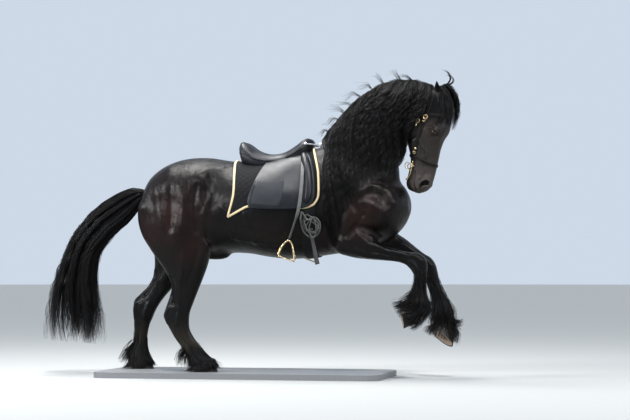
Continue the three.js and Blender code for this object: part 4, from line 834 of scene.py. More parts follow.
q = np.hypot(along / SLIT_LONG, across / SLIT_HIGH)
margin = on_eye * np.exp(-((q - 1.25) / 0.22) ** 2)
out = out + 1.8 * MM * margin
crease = on_eye * np.exp(-((q - 2.35) / 0.28) ** 2) * (across > 0)
out = out - 2.2 * MM * crease
opening = on_eye * (1 - smooth(q, 0.8, 1.05))
out = out * (1 - opening) + opening * (EYE_SIDE + 6 * MM)
skin_points[:, 1] = np.where(on_eye, np.sign(skin_points[:, 1]) * out, skin_points[:, 1])
set_points(skin_mesh, skin_points)

# Markings and painted light: red carries a painted brown sheen, in patches over the shoulder, the haunch,
# the flank and the throat where the coat catches the light; green the grey of the bare muzzle, made paler
# as a painted highlight, with painted light over the whole face, less round the eyes and inside the
# nostrils and full on their rims; blue the dust on the hind legs.
# x, z, radius and strength of each patch of painted brown sheen, where the coat catches the light.
PAINTED_SHEEN_ZONES = [
    (850, 1050, 120, 0.9), (760, 920, 110, 0.6), (-380, 1000, 200, 0.8), (-560, 900, 120, 0.5),
    (560, 830, 90, 0.7), (200, 850, 120, 0.3), (-300, 760, 120, 0.5), (1190, 1520, 60, 0.8),
]
painted_sheen = sum(
    power * np.exp(-((x - cx * MM) ** 2 + (z - HOOF_LEVEL - cz * MM) ** 2) / (radius * MM) ** 2)
    for cx, cz, radius, power in PAINTED_SHEEN_ZONES
)
# Painted light: the whole face below the forehead is greyed as if lit from the front, and the muzzle greyer still,
# partly the bare skin's own grey and partly a painted highlight.
face_painted_light = 0.5 * smooth(s, 0.12, 0.30) * smooth(t, -0.10, 0.02)
grey = on_head * (face_painted_light + smooth(s, 0.40, 0.60) * 0.55)
grey = grey * (1 - 0.85 * on_eye * np.exp(-((q - 1.0) / 0.9) ** 2))
grey = np.maximum(grey * (1 - 0.75 * open_nostril), rim * 1.0)
dust = smooth(HOOF_LEVEL + 0.36 - z, 0, 0.3) * (x < 0)
marks_and_light = np.stack([np.clip(painted_sheen, 0, 1), np.clip(grey, 0, 1), np.clip(dust, 0, 1), np.ones(len(x))], 1)
# The attribute carries the painted sheen and the face's painted light, beside the muzzle's grey and the dust.
attribute = skin_mesh.attributes.new("markings_and_painted_light", "FLOAT_COLOR", "POINT")
attribute.data.foreach_set("color", marks_and_light.astype(np.float32).ravel())


def node(material, kind, **settings):
    """A node of a kind in a material's or a group's tree, with properties or input values set by name."""
    made = getattr(material, "node_tree", material).nodes.new(kind)
    for key, value in settings.items():
        if hasattr(made, key):
            setattr(made, key, value)
        else:
            made.inputs[key.replace("_", " ")].default_value = value
    return made


def shader_group(name, given, shown):
    """An empty shader group with number sockets: the group, its inputs, its outputs and Object coordinates."""
    group = bpy.data.node_groups.new(name, "ShaderNodeTree")
    for key, value in given.items():
        group.interface.new_socket(key, in_out="INPUT", socket_type="NodeSocketFloat").default_value = value
    for key in shown:
        group.interface.new_socket(key, in_out="OUTPUT", socket_type="NodeSocketFloat")
    start, end = node(group, "NodeGroupInput"), node(group, "NodeGroupOutput")
    return group, start.outputs, end.inputs, node(group, "ShaderNodeTexCoord").outputs["Object"]


def hair_lie_group():
    """A shader group for short hair: fine streaks along the lie, as noise drawn out along one direction.
    Fine sets their width, Long how much longer they are; puts out Height and Patch."""
    sizes = {"Fine": 900.0, "Long": 0.12, "Broad": 9.0}
    group, given, shown, place = shader_group("short_hair", sizes, ("Height", "Patch"))
    bend = node(group, "ShaderNodeTexNoise", Scale=5.0, Detail=1.0)
    shift = node(group, "ShaderNodeVectorMath", operation="MULTIPLY_ADD")
    shift.inputs[1].default_value = (0.03, 0.03, 0.03)
    drawn = node(group, "ShaderNodeMath", operation="MULTIPLY")
    scale = node(group, "ShaderNodeCombineXYZ")
    stretch = node(group, "ShaderNodeVectorMath", operation="MULTIPLY")
    streaks = node(group, "ShaderNodeTexNoise", Scale=1.0, Detail=2.0)
    patches = node(group, "ShaderNodeTexNoise", Detail=3.0)
    for source, target in (
        (place, bend.inputs["Vector"]), (bend.outputs["Color"], shift.inputs[0]), (place, shift.inputs[2]),
        (given["Fine"], drawn.inputs[0]), (given["Long"], drawn.inputs[1]),
        (given["Fine"], scale.inputs["X"]), (given["Fine"], scale.inputs["Y"]), (drawn.outputs[0], scale.inputs["Z"]),
        (shift.outputs[0], stretch.inputs[0]), (scale.outputs[0], stretch.inputs[1]),
        (stretch.outputs[0], streaks.inputs["Vector"]), (streaks.outputs["Fac"], shown["Height"]),
        (place, patches.inputs["Vector"]), (given["Broad"], patches.inputs["Scale"]),
        (patches.outputs["Fac"], shown["Patch"]),
    ):
        group.links.new(source, target)
    return group


SHORT_HAIR = hair_lie_group()
COAT_BLACK = (0.0035, 0.0031, 0.0033, 1)
# The brown of the painted sheen on the black coat.
PAINTED_SHEEN_BROWN = (0.030, 0.010, 0.0065, 1)
# Grey of the bare muzzle, also used for the painted light over the face.
MUZZLE_AND_LIT_FACE_GREY = (0.062, 0.052, 0.047, 1)
DUST = (0.10, 0.085, 0.06, 1)


def placed(material, group, **values):
    """The outputs of a shader group placed in a material with its own values."""
    return node(material, "ShaderNodeGroup", node_tree=group, **values).outputs


def feed(material, socket, value):
    """Links a socket to another one, or gives it a plain value."""
    if isinstance(value, bpy.types.NodeSocket):
        material.node_tree.links.new(value, socket)
    else:
        socket.default_value = value


def mixed(material, factor, first, second):
    """A colour mix of two colours or sockets by a factor socket or number."""
    made = node(material, "ShaderNodeMix", data_type="RGBA")
    for k, value in ((0, factor), (6, first), (7, second)):
        feed(material, made.inputs[k], value)
    return made.outputs[2]


def calculated(material, operation, *terms, clamp=False):
    """The result of a sum on sockets or numbers."""
    made = node(material, "ShaderNodeMath", operation=operation, use_clamp=clamp)
    for socket, value in zip(made.inputs, terms):
        feed(material, socket, value)
    return made.outputs[0]


def raised(material, height, strength, distance, under=None):
    """A bump of a height socket on the material's normal, over another bump if one is given."""
    made = node(material, "ShaderNodeBump", Strength=strength, Distance=distance)
    feed(material, made.inputs["Height"], height)
    if under:
        feed(material, made.inputs["Normal"], under)
    return made.outputs["Normal"]


def joined_to(material, **sockets):
    """Links sockets to the Principled shader's inputs, by name with _ for a blank."""
    shader = material.node_tree.nodes["Principled BSDF"]
    for key, value in sockets.items():
        feed(material, shader.inputs[key.replace("_", " ")], value)


def coat_material():
    """Short glossy black hair: near black, with a painted brown sheen in patches where the light catches it,
    grey and matt on the muzzle, which with the rest of the face is lightened as painted light, with fine
    streaks along the lie in its bump and its gloss."""
    made = new_material("coat", Specular_IOR_Level=0.22)
    split = node(made, "ShaderNodeSeparateColor")
    feed(made, split.inputs[0], node(made, "ShaderNodeAttribute", attribute_name="markings_and_painted_light").outputs["Color"])
    painted_sheen_share, bare_and_lit, dusty = (split.outputs[k] for k in range(3))
    hair = placed(made, SHORT_HAIR, Fine=700.0, Long=0.10, Broad=7.0)
    ripple = placed(made, SHORT_HAIR, Fine=38.0, Long=0.42, Broad=9.0)["Height"]
    # Painted brown sheen mixed into the black coat in patches.
    colour = mixed(made, calculated(made, "MULTIPLY", painted_sheen_share, hair["Patch"]), COAT_BLACK, PAINTED_SHEEN_BROWN)
    # Grey where the muzzle is bare and where the face carries painted light.
    colour = mixed(made, bare_and_lit, colour, MUZZLE_AND_LIT_FACE_GREY)
    colour = mixed(made, calculated(made, "MULTIPLY", dusty, 0.35), colour, DUST)
    rough = calculated(made, "MULTIPLY_ADD", hair["Patch"], 0.16, 0.18)
    rough = calculated(made, "MULTIPLY_ADD", bare_and_lit, 0.28, rough)
    rough = calculated(made, "MULTIPLY_ADD", ripple, 0.12, rough)
    bump = raised(made, hair["Height"], 0.7, 0.0014, raised(made, ripple, 0.5, 0.007))
    joined_to(made, Base_Color=colour, Roughness=rough, Normal=bump)
    return made


def new_piece(name, mesh, material, replaced=()):
    """An object at the origin that rides on the one body, with its finish and the solids it stands for."""
    made = bpy.data.objects.new(name, mesh)
    bpy.context.scene.collection.objects.link(made)
    mesh.materials.clear()
    mesh.materials.append(material)
    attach(made, "root")
    if replaced:
        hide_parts(*replaced)
    return made


skin_mesh.shade_smooth()
FLESH = ("torso", "neck", "head", "thigh_", "forearm_", "cannon_")
flesh_nodes = [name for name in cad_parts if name.startswith(FLESH)]
new_piece("skin", skin_mesh, coat_material(), flesh_nodes)


# Hair. Mane, forelock, tail and feathers are long black hair that hangs in wavy locks. Each strand of the
# mesh is a thin closed ribbon with a flat back and a ridge, round a path, and stands for a few dozen hairs.
SIDE_CELL = 10 * MM
SIDE_LOW = np.array((-1.4, 0.0))
SIDE_CELLS = (300, 210)


def right_side_map(points):
    """How far a surface reaches to the right, on a grid over the side view: the largest -y in each cell,
    gaps inside filled from the cells beside them, then evened."""
    cells = np.zeros(SIDE_CELLS)
    column, row = ((points[:, [0, 2]] - SIDE_LOW) / SIDE_CELL).astype(int).T
    np.maximum.at(cells, (column, row), -points[:, 1])
    for filling in (True, True, False, False):
        near = np.array([np.roll(cells, (a, b), (0, 1)) for a in (-1, 0, 1) for b in (-1, 0, 1)])
        cells = np.where(cells == 0, near.max(0) * 0.94, cells) if filling else near.mean(0)
    return cells


def table_at(table, u, v):
    """A table's entries at fractional rows and columns, straight between the four round each place."""
    i, j = u.astype(int), v.astype(int)
    a, b = u - i, v - j
    if table.ndim > 2:
        a, b = a[..., None], b[..., None]
    low = table[i, j] * (1 - a) + table[i + 1, j] * a
    return low * (1 - b) + (table[i, j + 1] * (1 - a) + table[i + 1, j + 1] * a) * b


skin_side = right_side_map(np.concatenate([skin_points, skin_points[skin_faces[-1]].mean(1)]))


def side_at(x, z):
    """How far the skin reaches to the right at places in the side view."""
    u = np.clip((x - SIDE_LOW[0]) / SIDE_CELL - 0.5, 0, SIDE_CELLS[0] - 2)
    v = np.clip((z - SIDE_LOW[1]) / SIDE_CELL - 0.5, 0, SIDE_CELLS[1] - 2)
    return table_at(skin_side, u, v)


def along_paths(paths, at):
    """Places along each of many paths at its own shares of the way, straight between its points."""
    count = paths.shape[1] - 1
    u = np.clip(at, 0, 1) * count
    i = np.minimum(u.astype(int), count - 1)
    w = (u - i)[..., None]
    rows = np.arange(len(paths))[:, None]
    return paths[rows, i] * (1 - w) + paths[rows, i + 1] * w


def even_path(points, count):
    """A guide's points as a smooth curve of count points at even distances."""
    fine = between(np.array(points, float), np.linspace(0, len(points) - 1, 200))
    run = np.concatenate([[0], np.cumsum(np.linalg.norm(np.diff(fine, axis=0), axis=1))])
    at = np.linspace(0, run[-1], count)
    return np.stack([np.interp(at, run, fine[:, k]) for k in range(fine.shape[1])], 1)


def over_hooves(line):
    """Side-view points in millimetres over the hooves as metres over the floor."""
    return np.array(line, float) * MM + [0, HOOF_LEVEL]


def guide_paths(guides, count):
    """Side-view guides in millimetres over the hooves as smooth curves of count points each."""
    return np.stack([even_path(over_hooves(guide), count) for guide in guides])


def at_side(flat, y):
    """Side-view places (x, z) and their distances y to the side as places (x, y, z)."""
    return np.stack([flat[..., 0], np.broadcast_to(y, flat.shape[:-1]), flat[..., 1]], -1)


def run_lengths(paths):
    """How far along each path each of its points is."""
    steps = np.linalg.norm(np.diff(paths, axis=1), axis=2)
    return np.concatenate([np.zeros((len(paths), 1)), np.cumsum(steps, 1)], 1)


def ribbons(paths, width, out):
    """Points and faces of closed three-sided ribbons along paths. The ring at each place has corners at
    +-width/2 across the path and one at 0.45 width outwards; the width tapers at both ends."""
    count, steps = paths.shape[:2]
    tangent = unit(np.gradient(paths, axis=1), 1e-12)
    out = unit(out - tangent * np.einsum("nmk,nmk->nm", out, tangent)[..., None], 1e-12)
    across = np.cross(tangent, out)
    t = np.linspace(0, 1, steps)
    taper = np.minimum(1, 0.45 + 5 * t) * (1 - t ** 2.6) ** 0.75 + 0.04
    w = (width[:, None] * taper)[..., None]
    ring = np.stack([paths + 0.5 * w * across, paths - 0.5 * w * across, paths + 0.45 * w * out], 2)
    first = (np.arange(count)[:, None] * steps + np.arange(steps - 1)).reshape(-1, 1) * 3
    sides = [first + [j, (j + 1) % 3, 3 + (j + 1) % 3, 3 + j] for j in range(3)]
    ends = np.arange(count)[:, None] * steps * 3
    caps = np.concatenate([ends + [2, 1, 0], ends + (steps - 1) * 3 + [0, 1, 2]])
    points = ring.reshape(-1, 3)
    return points, turned_out(points, np.concatenate(sides), caps)


ROOT_PATCH = 0.003


def hair_pieces(name, paths, width, out, roots, pieces=1, replaced=()):
    """Coat pieces of ribbons. The OFBake map puts each ribbon on a small patch at its root's place on an
    unwrap of the skin under it: roots holds that place, 0 to 1 each way."""
    steps = paths.shape[1]
    for k in range(pieces):
        mine = np.arange(len(paths)) % pieces == k
        points, faces = ribbons(paths[mine], width[mine], out[mine])
        mesh = new_mesh(name, points, *faces)
        corners = np.zeros(len(mesh.loops), int)
        mesh.loops.foreach_get("vertex_index", corners)
        strand, ring, corner = corners // (3 * steps), corners // 3 % steps, corners % 3
        uv = roots[mine][strand] * (1 - ROOT_PATCH) + np.stack([corner / 2, ring / steps], 1) * ROOT_PATCH
        mesh.uv_layers.new(name="OFBake").data.foreach_set("uv", uv.astype(np.float32).ravel())
        label = f"{name}_{k + 1}" if pieces > 1 else name
        new_piece(label, mesh, HAIR, replaced if k == 0 else ())


def waved(paths, outward, amplitude, length, phase, begin=0.06, full=0.35):
    """Paths with a winding wave laid on: across by A sin, outwards by 0.6 A cos of 2 pi run / length."""
    across = np.cross(unit(np.gradient(paths, axis=1), 1e-12), outward)
    t = np.linspace(0, 1, paths.shape[1])
    turn = 2 * np.pi * run_lengths(paths) / length[:, None] + phase[:, None]
    size = amplitude[:, None] * smooth(t, begin, full)
    return paths + (size * np.sin(turn))[..., None] * across + (0.6 * size * np.cos(turn))[..., None] * outward


def brighter(colour, times):
    """A colour times a number."""
    return tuple(times * c for c in colour[:3]) + (1,)


HAIR_BLACK = (0.0045, 0.0042, 0.0045, 1)
HAIR = new_material("long_hair", Specular_IOR_Level=0.27)
hair_lie = placed(HAIR, SHORT_HAIR, Fine=260.0, Long=0.3, Broad=5.0)
joined_to(
    HAIR,
    Base_Color=mixed(HAIR, hair_lie["Patch"], HAIR_BLACK, brighter(HAIR_BLACK, 2.2)),
    Roughness=calculated(HAIR, "MULTIPLY_ADD", hair_lie["Height"], 0.2, 0.30),
)
hair_random = np.random.default_rng(20)


# Mane. Long crimped hair, rooted along the crest of the neck. It streams back from the poll, then curls
# down over the right side of the neck and the shoulder: a smoother under layer, and crimped locks over it.
CLOTH_EDGE = 545 * MM
CLOTH_TOP = 1.44 + HOOF_LEVEL
CREST = [
    (1212, 1776), (1150, 1796), (1085, 1812), (1010, 1818), (918, 1802), (830, 1766), (740, 1706),
    (660, 1634), (588, 1560), (530, 1484), (500, 1444),
]
MANE_GUIDES = [
    [(1212, 1780), (1204, 1720), (1168, 1640), (1112, 1572),
     (1066, 1508), (1040, 1430), (1028, 1370), (1000, 1310)],
    [(1120, 1805), (1082, 1740), (1042, 1670), (1006, 1600), (988, 1520),
     (986, 1440), (986, 1360), (974, 1290), (950, 1215)],
    [(1015, 1815), (952, 1768), (906, 1700), (886, 1620), (890, 1530),
     (904, 1440), (914, 1350), (914, 1270), (898, 1190)],
    [(915, 1798), (855, 1748), (815, 1680), (796, 1600), (795, 1510),
     (808, 1420), (825, 1330), (838, 1240), (836, 1160)],
    [(828, 1760), (772, 1706), (735, 1630), (715, 1550), (712, 1460),
     (722, 1370), (742, 1280), (762, 1190), (772, 1110)],
    [(740, 1702), (690, 1644), (658, 1570), (642, 1490), (642, 1400),
     (656, 1300), (680, 1200), (705, 1105), (720, 1020)],
    [(662, 1630), (618, 1570), (598, 1500), (592, 1420), (598, 1320),
     (614, 1215), (638, 1110), (662, 1010), (672, 930)],
    [(590, 1552), (562, 1485), (558, 1410), (564, 1320), (577, 1220),
     (592, 1110), (612, 1000), (630, 890), (640, 815)],
    [(530, 1466), (536, 1390), (548, 1310), (557, 1210), (562, 1110),
     (572, 1000), (584, 890), (592, 800), (588, 745)],
]


GUIDE_STEPS = 70
crest_line = even_path(over_hooves(CREST), 80)
mane_guides = guide_paths(MANE_GUIDES, GUIDE_STEPS)


def mane_paths(u, reach, steps):
    """Side-view paths of mane strands rooted at shares u of the crest, each cut off at its reach."""
    rows = between(mane_guides.reshape(len(mane_guides), -1), u * (len(mane_guides) - 1))
    return along_paths(rows.reshape(len(u), GUIDE_STEPS, 2), reach[:, None] * np.linspace(0, 1, steps))


def crest_paths(u, far, steps):
    """Paths that run back along the crest from shares u of it for a share far of its length."""
    at = np.clip(u[:, None] + far[:, None] * np.linspace(0, 1, steps), 0, 1)
    return along_paths(np.broadcast_to(crest_line, (len(u), *crest_line.shape)), at)


def make_mane(locks, strands, steps, depths, wave, length, gathered, shortest):
    """Strands gather into locks: from its root a strand leaves its own path for its lock's, and keeps a
    small place of its own round it. depths, wave and length are ranges over the locks, of how far off the
    skin they lie and of their crimp's size and length. Locks further out are shorter."""
    rnd = hair_random
    lock_u = (np.arange(locks) + rnd.random(locks)) / locks
    share = rnd.random(locks)
    lock_depth = depths[0] + (depths[1] - depths[0]) * share
    lock_reach = 1.02 - shortest * rnd.random(locks) ** 1.4 * (0.4 + 0.6 * share)
    lock_ride = np.where(rnd.random(locks) < 0.4, 0.08 + 0.24 * rnd.random(locks), 0.03)
    lock_wave = rnd.uniform(*wave, locks)
    lock_length = rnd.uniform(*length, locks)
    lock_phase = rnd.random(locks) * 2 * np.pi
    mine = rnd.integers(0, locks, strands)
    t = np.linspace(0, 1, steps)
    u = np.clip(lock_u[mine] + rnd.normal(0, 0.02, strands), 0, 1)
    reach = lock_reach[mine] * (1 - 0.16 * rnd.random(strands) ** 2)
    gather = (gathered * smooth(t, 0.03, 0.25))[None, :, None]
    own = mane_paths(u, reach, steps)
    locked = mane_paths(np.clip(lock_u[mine], 0, 1), reach, steps)
    flat = own * (1 - gather) + locked * gather
    ride = crest_paths(u, lock_ride[mine], steps)
    away = smooth(t[None], 0.02, (0.10 + 1.2 * lock_ride[mine])[:, None])[..., None]
    flat = ride * (1 - away) + flat * away
    near_crest = np.exp(-((t - 0.09) / 0.10) ** 2)
    flat[..., 1] += near_crest * (8 * MM + 0.5 * lock_depth[mine] + 8 * MM * rnd.random(strands))[:, None]
    spread = (4 + 8 * t) * MM
    place = rnd.normal(0, 0.55, (strands, 2))
    flat += place[:, None, :1] * spread[None, :, None] * np.array([0.8, 0.5])
    behind = smooth(CLOTH_TOP - flat[..., 1], 0, 0.06) * np.maximum(CLOTH_EDGE - flat[..., 0], 0)
    flat[..., 0] += behind
    rising = (0.45 + 0.55 * smooth(t, 0.04, 0.22)) * (1 - 0.35 * smooth(t, 0.7, 1))
    depth = (3 * MM + lock_depth[mine])[:, None] * rising + np.abs(place[:, 1:]) * spread * 0.7
    root_y = rnd.uniform(-16, 18, strands)[:, None] * MM
    over = smooth(t, 0.0, 0.09)
    side = -(side_at(flat[..., 0], flat[..., 1]) + depth)
    paths = at_side(flat, root_y * (1 - over) + side * over)
    for _ in range(steps // 12):
        paths[:, 1:-1, 1] = 0.25 * paths[:, :-2, 1] + 0.5 * paths[:, 1:-1, 1] + 0.25 * paths[:, 2:, 1]
    outward = np.zeros_like(paths)
    outward[..., 1] = -smooth(t, 0.02, 0.16)
    outward[..., 2] = 1 - smooth(t, 0.02, 0.2)
    outward += 1e-3
    phase = lock_phase[mine] + rnd.normal(0, 0.3, strands)
    paths = waved(paths, outward, lock_wave[mine] * rnd.uniform(0.75, 1.2, strands), lock_length[mine], phase)
    floor = side_at(paths[..., 0], paths[..., 2]) + 2 * MM
    paths[..., 1] = np.where(t > 0.12, np.minimum(paths[..., 1], -floor), paths[..., 1])
    roots = np.stack([u, 0.5 + root_y[:, 0] / (60 * MM)], 1)
    return paths, outward, roots


UNDER_LAYER = dict(
    locks=120, strands=740, steps=30, depths=(1 * MM, 12 * MM), wave=(3 * MM, 7 * MM),
    length=(90 * MM, 130 * MM), gathered=0.6, shortest=0.35)
OVER_LAYER = dict(
    locks=130, strands=1080, steps=72, depths=(10 * MM, 34 * MM), wave=(7 * MM, 15 * MM),
    length=(56 * MM, 92 * MM), gathered=0.93, shortest=0.5)
for name, layer, widths, pieces in (("mane_under", UNDER_LAYER, (3.6, 6.0), 1), ("mane", OVER_LAYER, (2.2, 4.2), 3)):
    paths, out, roots = make_mane(**layer)
    hair_pieces(name, paths, hair_random.uniform(*widths, len(paths)) * MM, out, roots, pieces)


# Wisps: a few fine hairs together that stand off the crest and stream back, as side-view guides with
# the side they start and end at.
WISPS = [
    ([(650, 1625), (600, 1665), (560, 1672), (516, 1678)], -10, -40),
    ([(700, 1672), (650, 1704), (610, 1700), (580, 1694)], 5, 10),
    ([(625, 1590), (575, 1600), (545, 1570), (500, 1560)], -20, -60),
    ([(830, 1765), (790, 1815), (760, 1806), (700, 1800)], 8, 25),
    ([(900, 1800), (870, 1850), (846, 1874), (815, 1868)], -5, 10),
    ([(1000, 1826), (975, 1870), (948, 1897), (915, 1885)], 5, 20),
    ([(760, 1730), (700, 1765), (650, 1745), (600, 1730)], 12, 30),
    ([(560, 1510), (520, 1530), (500, 1500), (470, 1490)], -30, -80),
    ([(1080, 1826), (1040, 1862), (1000, 1866), (960, 1850)], 0, 30),
]


def make_wisps(table, hairs, steps, spread):
    """Each guide with a fan of hairs round it that open towards the tip."""
    rnd = hair_random
    guides = np.repeat(guide_paths([row[0] for row in table], steps), hairs, 0)
    ends = np.repeat(np.array([row[1:3] for row in table], float) * MM, hairs, 0)
    t = np.linspace(0, 1, steps)
    paths = at_side(guides, ends[:, :1] * (1 - t) + ends[:, 1:] * t)
    fan = rnd.normal(0, 1, (len(paths), 1, 3)) * (0.25 + t[None, :, None] ** 1.3) * spread
    reach = rnd.uniform(0.6, 1.05, len(paths))
    paths = along_paths(paths + fan, reach[:, None] * t)
    outward = np.broadcast_to(np.array([0.01, -0.3, 1.0]), paths.shape)
    phase = np.repeat(rnd.random(len(table)) * 6.28, hairs) + rnd.normal(0, 0.8, len(paths))
    amplitude, length = rnd.uniform(3, 9, len(paths)) * MM, rnd.uniform(90, 150, len(paths)) * MM
    return waved(paths, outward, amplitude, length, phase), outward


WISP_HAIRS = 14
WISP_WIDE = 1.9 * MM
wisp_paths, wisp_out = make_wisps(WISPS, WISP_HAIRS, 20, 11 * MM)
wisp_at = np.repeat(np.linspace(0.1, 0.9, len(WISPS)), WISP_HAIRS)
wisp_roots = np.stack([wisp_at, hair_random.random(len(wisp_paths))], 1)
hair_pieces("mane_wisps", wisp_paths, np.full(len(wisp_paths), WISP_WIDE), wisp_out, wisp_roots)


# Forelock. Thick hair from between the ears, over the forehead and down to the eyes, with one lock that
# curls out in front and one that stands up beside the far ear.
FORELOCK = [
    ([(1240, 1770), (1290, 1800), (1335, 1760), (1360, 1690), (1362, 1620), (1338, 1555)], -4, -16, 1.0),
    ([(1240, 1768), (1286, 1798), (1328, 1750), (1352, 1670), (1350, 1600), (1326, 1530)], 8, 20, 1.0),
    ([(1236, 1766), (1276, 1790), (1312, 1735), (1336, 1655), (1336, 1590), (1318, 1525)], 20, 52, 0.9),
    ([(1236, 1766), (1272, 1790), (1306, 1735), (1328, 1660), (1330, 1600), (1312, 1540)], -22, -62, 1.0),
    ([(1232, 1764), (1262, 1782), (1290, 1730), (1306, 1665), (1312, 1610), (1296, 1560)], -30, -84, 0.9),
    ([(1230, 1764), (1252, 1780), (1270, 1725), (1280, 1660), (1284, 1600), (1266, 1545)], -34, -104, 0.8),
    ([(1232, 1764), (1262, 1790), (1300, 1745), (1322, 1680), (1330, 1610), (1316, 1530)], -26, -74, 0.8),
    ([(1242, 1768), (1300, 1796), (1352, 1745), (1366, 1690), (1376, 1670), (1384, 1700)], -8, -22, 0.35),
    ([(1246, 1768), (1290, 1806), (1316, 1840), (1310, 1868), (1286, 1890), (1262, 1902)], 16, 6, 0.35),
    ([(1246, 1768), (1296, 1800), (1330, 1820), (1326, 1850), (1300, 1866), (1280, 1862)], 10, 22, 0.25),
]
FORELOCK_HAIRS = 560
FORELOCK_STEPS = 24
FORELOCK_WIDE = 3.2 * MM


def make_forelock():
    """Strands shared out among the guides by their weight, each beside its guide by a normal offset."""
    rnd = hair_random
    weight = np.array([row[3] for row in FORELOCK])
    mine = rnd.choice(len(FORELOCK), FORELOCK_HAIRS, p=weight / weight.sum())
    guides = guide_paths([row[0] for row in FORELOCK], FORELOCK_STEPS)
    ends = np.array([row[1:3] for row in FORELOCK], float) * MM
    t = np.linspace(0, 1, FORELOCK_STEPS)
    paths = at_side(guides[mine], ends[mine, :1] * (1 - t) + ends[mine, 1:] * t)
    thin = (weight[mine] < 0.5)[:, None, None]
    offset = rnd.normal(0, 1, (FORELOCK_HAIRS, 1, 3)) * np.array([7, 15, 7]) * MM
    paths = paths + offset * np.where(thin, 0.35, 1.0) * (0.45 + 0.55 * smooth(t, 0, 0.4))[None, :, None]
    reach = rnd.uniform(0.72, 1.04, FORELOCK_HAIRS)
    paths = along_paths(paths, reach[:, None] * t)
    outward = unit(np.stack([1 + 0 * paths[..., 0], paths[..., 1] / 0.06, 0.4 + 0 * paths[..., 0]], 2))
    phase = mine * 1.7 + rnd.normal(0, 0.6, FORELOCK_HAIRS)
    amplitude, length = rnd.uniform(3, 7, FORELOCK_HAIRS) * MM, rnd.uniform(70, 100, FORELOCK_HAIRS) * MM
    paths = waved(paths, outward, amplitude, length, phase, 0.1, 0.5)
    roots = np.stack([0.5 + ends[mine, 0] / 0.1, rnd.random(FORELOCK_HAIRS)], 1)
    return paths, outward, roots


lock_paths, lock_out, lock_roots = make_forelock()
lock_wide = FORELOCK_WIDE * hair_random.uniform(0.6, 1.1, FORELOCK_HAIRS)
hair_pieces("forelock", lock_paths, lock_wide, lock_out, lock_roots)


# Tail. The dock is clothed in long hair: it springs out from the croup, arches back and hangs, full and
# wavy, and opens into loose ends. Its strands run between an outer and an inner edge of the side view.
TAIL_STRANDS = 2550
TAIL_STEPS = 24
TAIL_LOCKS = 84
TAIL_STRAND_WIDE = 4.4 * MM
TAIL_OUTER = [
    (-640, 1166), (-690, 1184), (-766, 1172), (-852, 1140), (-939, 1092), (-1025, 1028), (-1112, 934),
    (-1174, 848), (-1215, 757), (-1262, 648), (-1296, 542), (-1322, 421), (-1332, 300), (-1328, 186),
]
TAIL_INNER = [
    (-640, 1108), (-692, 1078), (-735, 1013), (-799, 942), (-869, 884), (-935, 810), (-978, 752),
    (-1000, 669), (-1004, 588), (-994, 498), (-978, 420), (-962, 348), (-957, 258), (-962, 160),
]
TAIL_HALF = [16, 32, 48, 60, 72, 82, 90, 94, 96, 96, 92, 86, 78, 66]
TAIL_EDGE_STEPS = 60


def make_tail():
    """A strand has a place across the tail, edge to edge and side to side, that it keeps on the way down.
    Locks gather the places of their strands and swing off a little by themselves."""
    rnd = hair_random
    outer, inner = guide_paths([TAIL_OUTER, TAIL_INNER], TAIL_EDGE_STEPS)
    even = np.linspace(0, 1, TAIL_EDGE_STEPS)
    half = np.interp(even, np.linspace(0, 1, len(TAIL_HALF)), TAIL_HALF) * MM
    lock_at = rnd.uniform(0, 2 * np.pi, TAIL_LOCKS)
    lock_far = np.sqrt(rnd.random(TAIL_LOCKS)) * 0.96
    mine = rnd.integers(0, TAIL_LOCKS, TAIL_STRANDS)
    own = np.sqrt(rnd.random(TAIL_STRANDS)) * 0.12
    turn = rnd.uniform(0, 2 * np.pi, TAIL_STRANDS)
    across = lock_far[mine] * np.cos(lock_at[mine]) + own * np.cos(turn)
    aside = lock_far[mine] * np.sin(lock_at[mine]) + own * np.sin(turn)
    t = np.linspace(0, 1, TAIL_STEPS)
    shortened = rnd.random(TAIL_STRANDS) ** 2.2
    reach = np.clip(1.03 - 0.42 * shortened - 0.10 * rnd.random(TAIL_LOCKS)[mine], 0, 1.03)
    begin = 0.30 * rnd.random(TAIL_STRANDS) ** 1.5
    at = begin[:, None] + (reach - begin)[:, None] * t
    swing = rnd.normal(0, 0.14, (TAIL_LOCKS, 2))[mine]
    f = across[:, None] + swing[:, :1] * at ** 4
    g = aside[:, None] + swing[:, 1:] * at ** 4
    o, i = (along_paths(np.broadcast_to(edge, (TAIL_STRANDS, *edge.shape)), at) for edge in (outer, inner))
    middle, edge = (o + i) / 2, (o - i) / 2
    start = smooth(at, 0.02, 0.10)
    flat = (middle + edge * f[..., None]) * start[..., None]
    flat = flat + (middle + edge * 0.5 * f[..., None]) * (1 - start)[..., None]
    paths = at_side(flat, np.interp(at, even, half) * g * (0.5 + 0.5 * start))
    outward = unit(np.stack([edge[..., 0] * f * 12, g + 0.01, edge[..., 1] * f * 12], 2))
    phase = (rnd.random(TAIL_LOCKS) * 6.28)[mine] + rnd.normal(0, 0.5, TAIL_STRANDS)
    amplitude = rnd.uniform(5, 15, TAIL_LOCKS)[mine] * MM
    length = rnd.uniform(95, 180, TAIL_LOCKS)[mine] * MM
    roots = np.stack([0.5 + 0.45 * across, 0.5 + 0.45 * aside], 1)
    return waved(paths, outward, amplitude, length, phase, 0.1, 0.6), outward, np.clip(roots, 0, 1)


tail_paths, tail_out, tail_roots = make_tail()
tail_wide = TAIL_STRAND_WIDE * hair_random.uniform(0.6, 1.15, TAIL_STRANDS)
hair_pieces("tail", tail_paths, tail_wide, tail_out, tail_roots, 3, ["tail_upper", "tail_lower"])


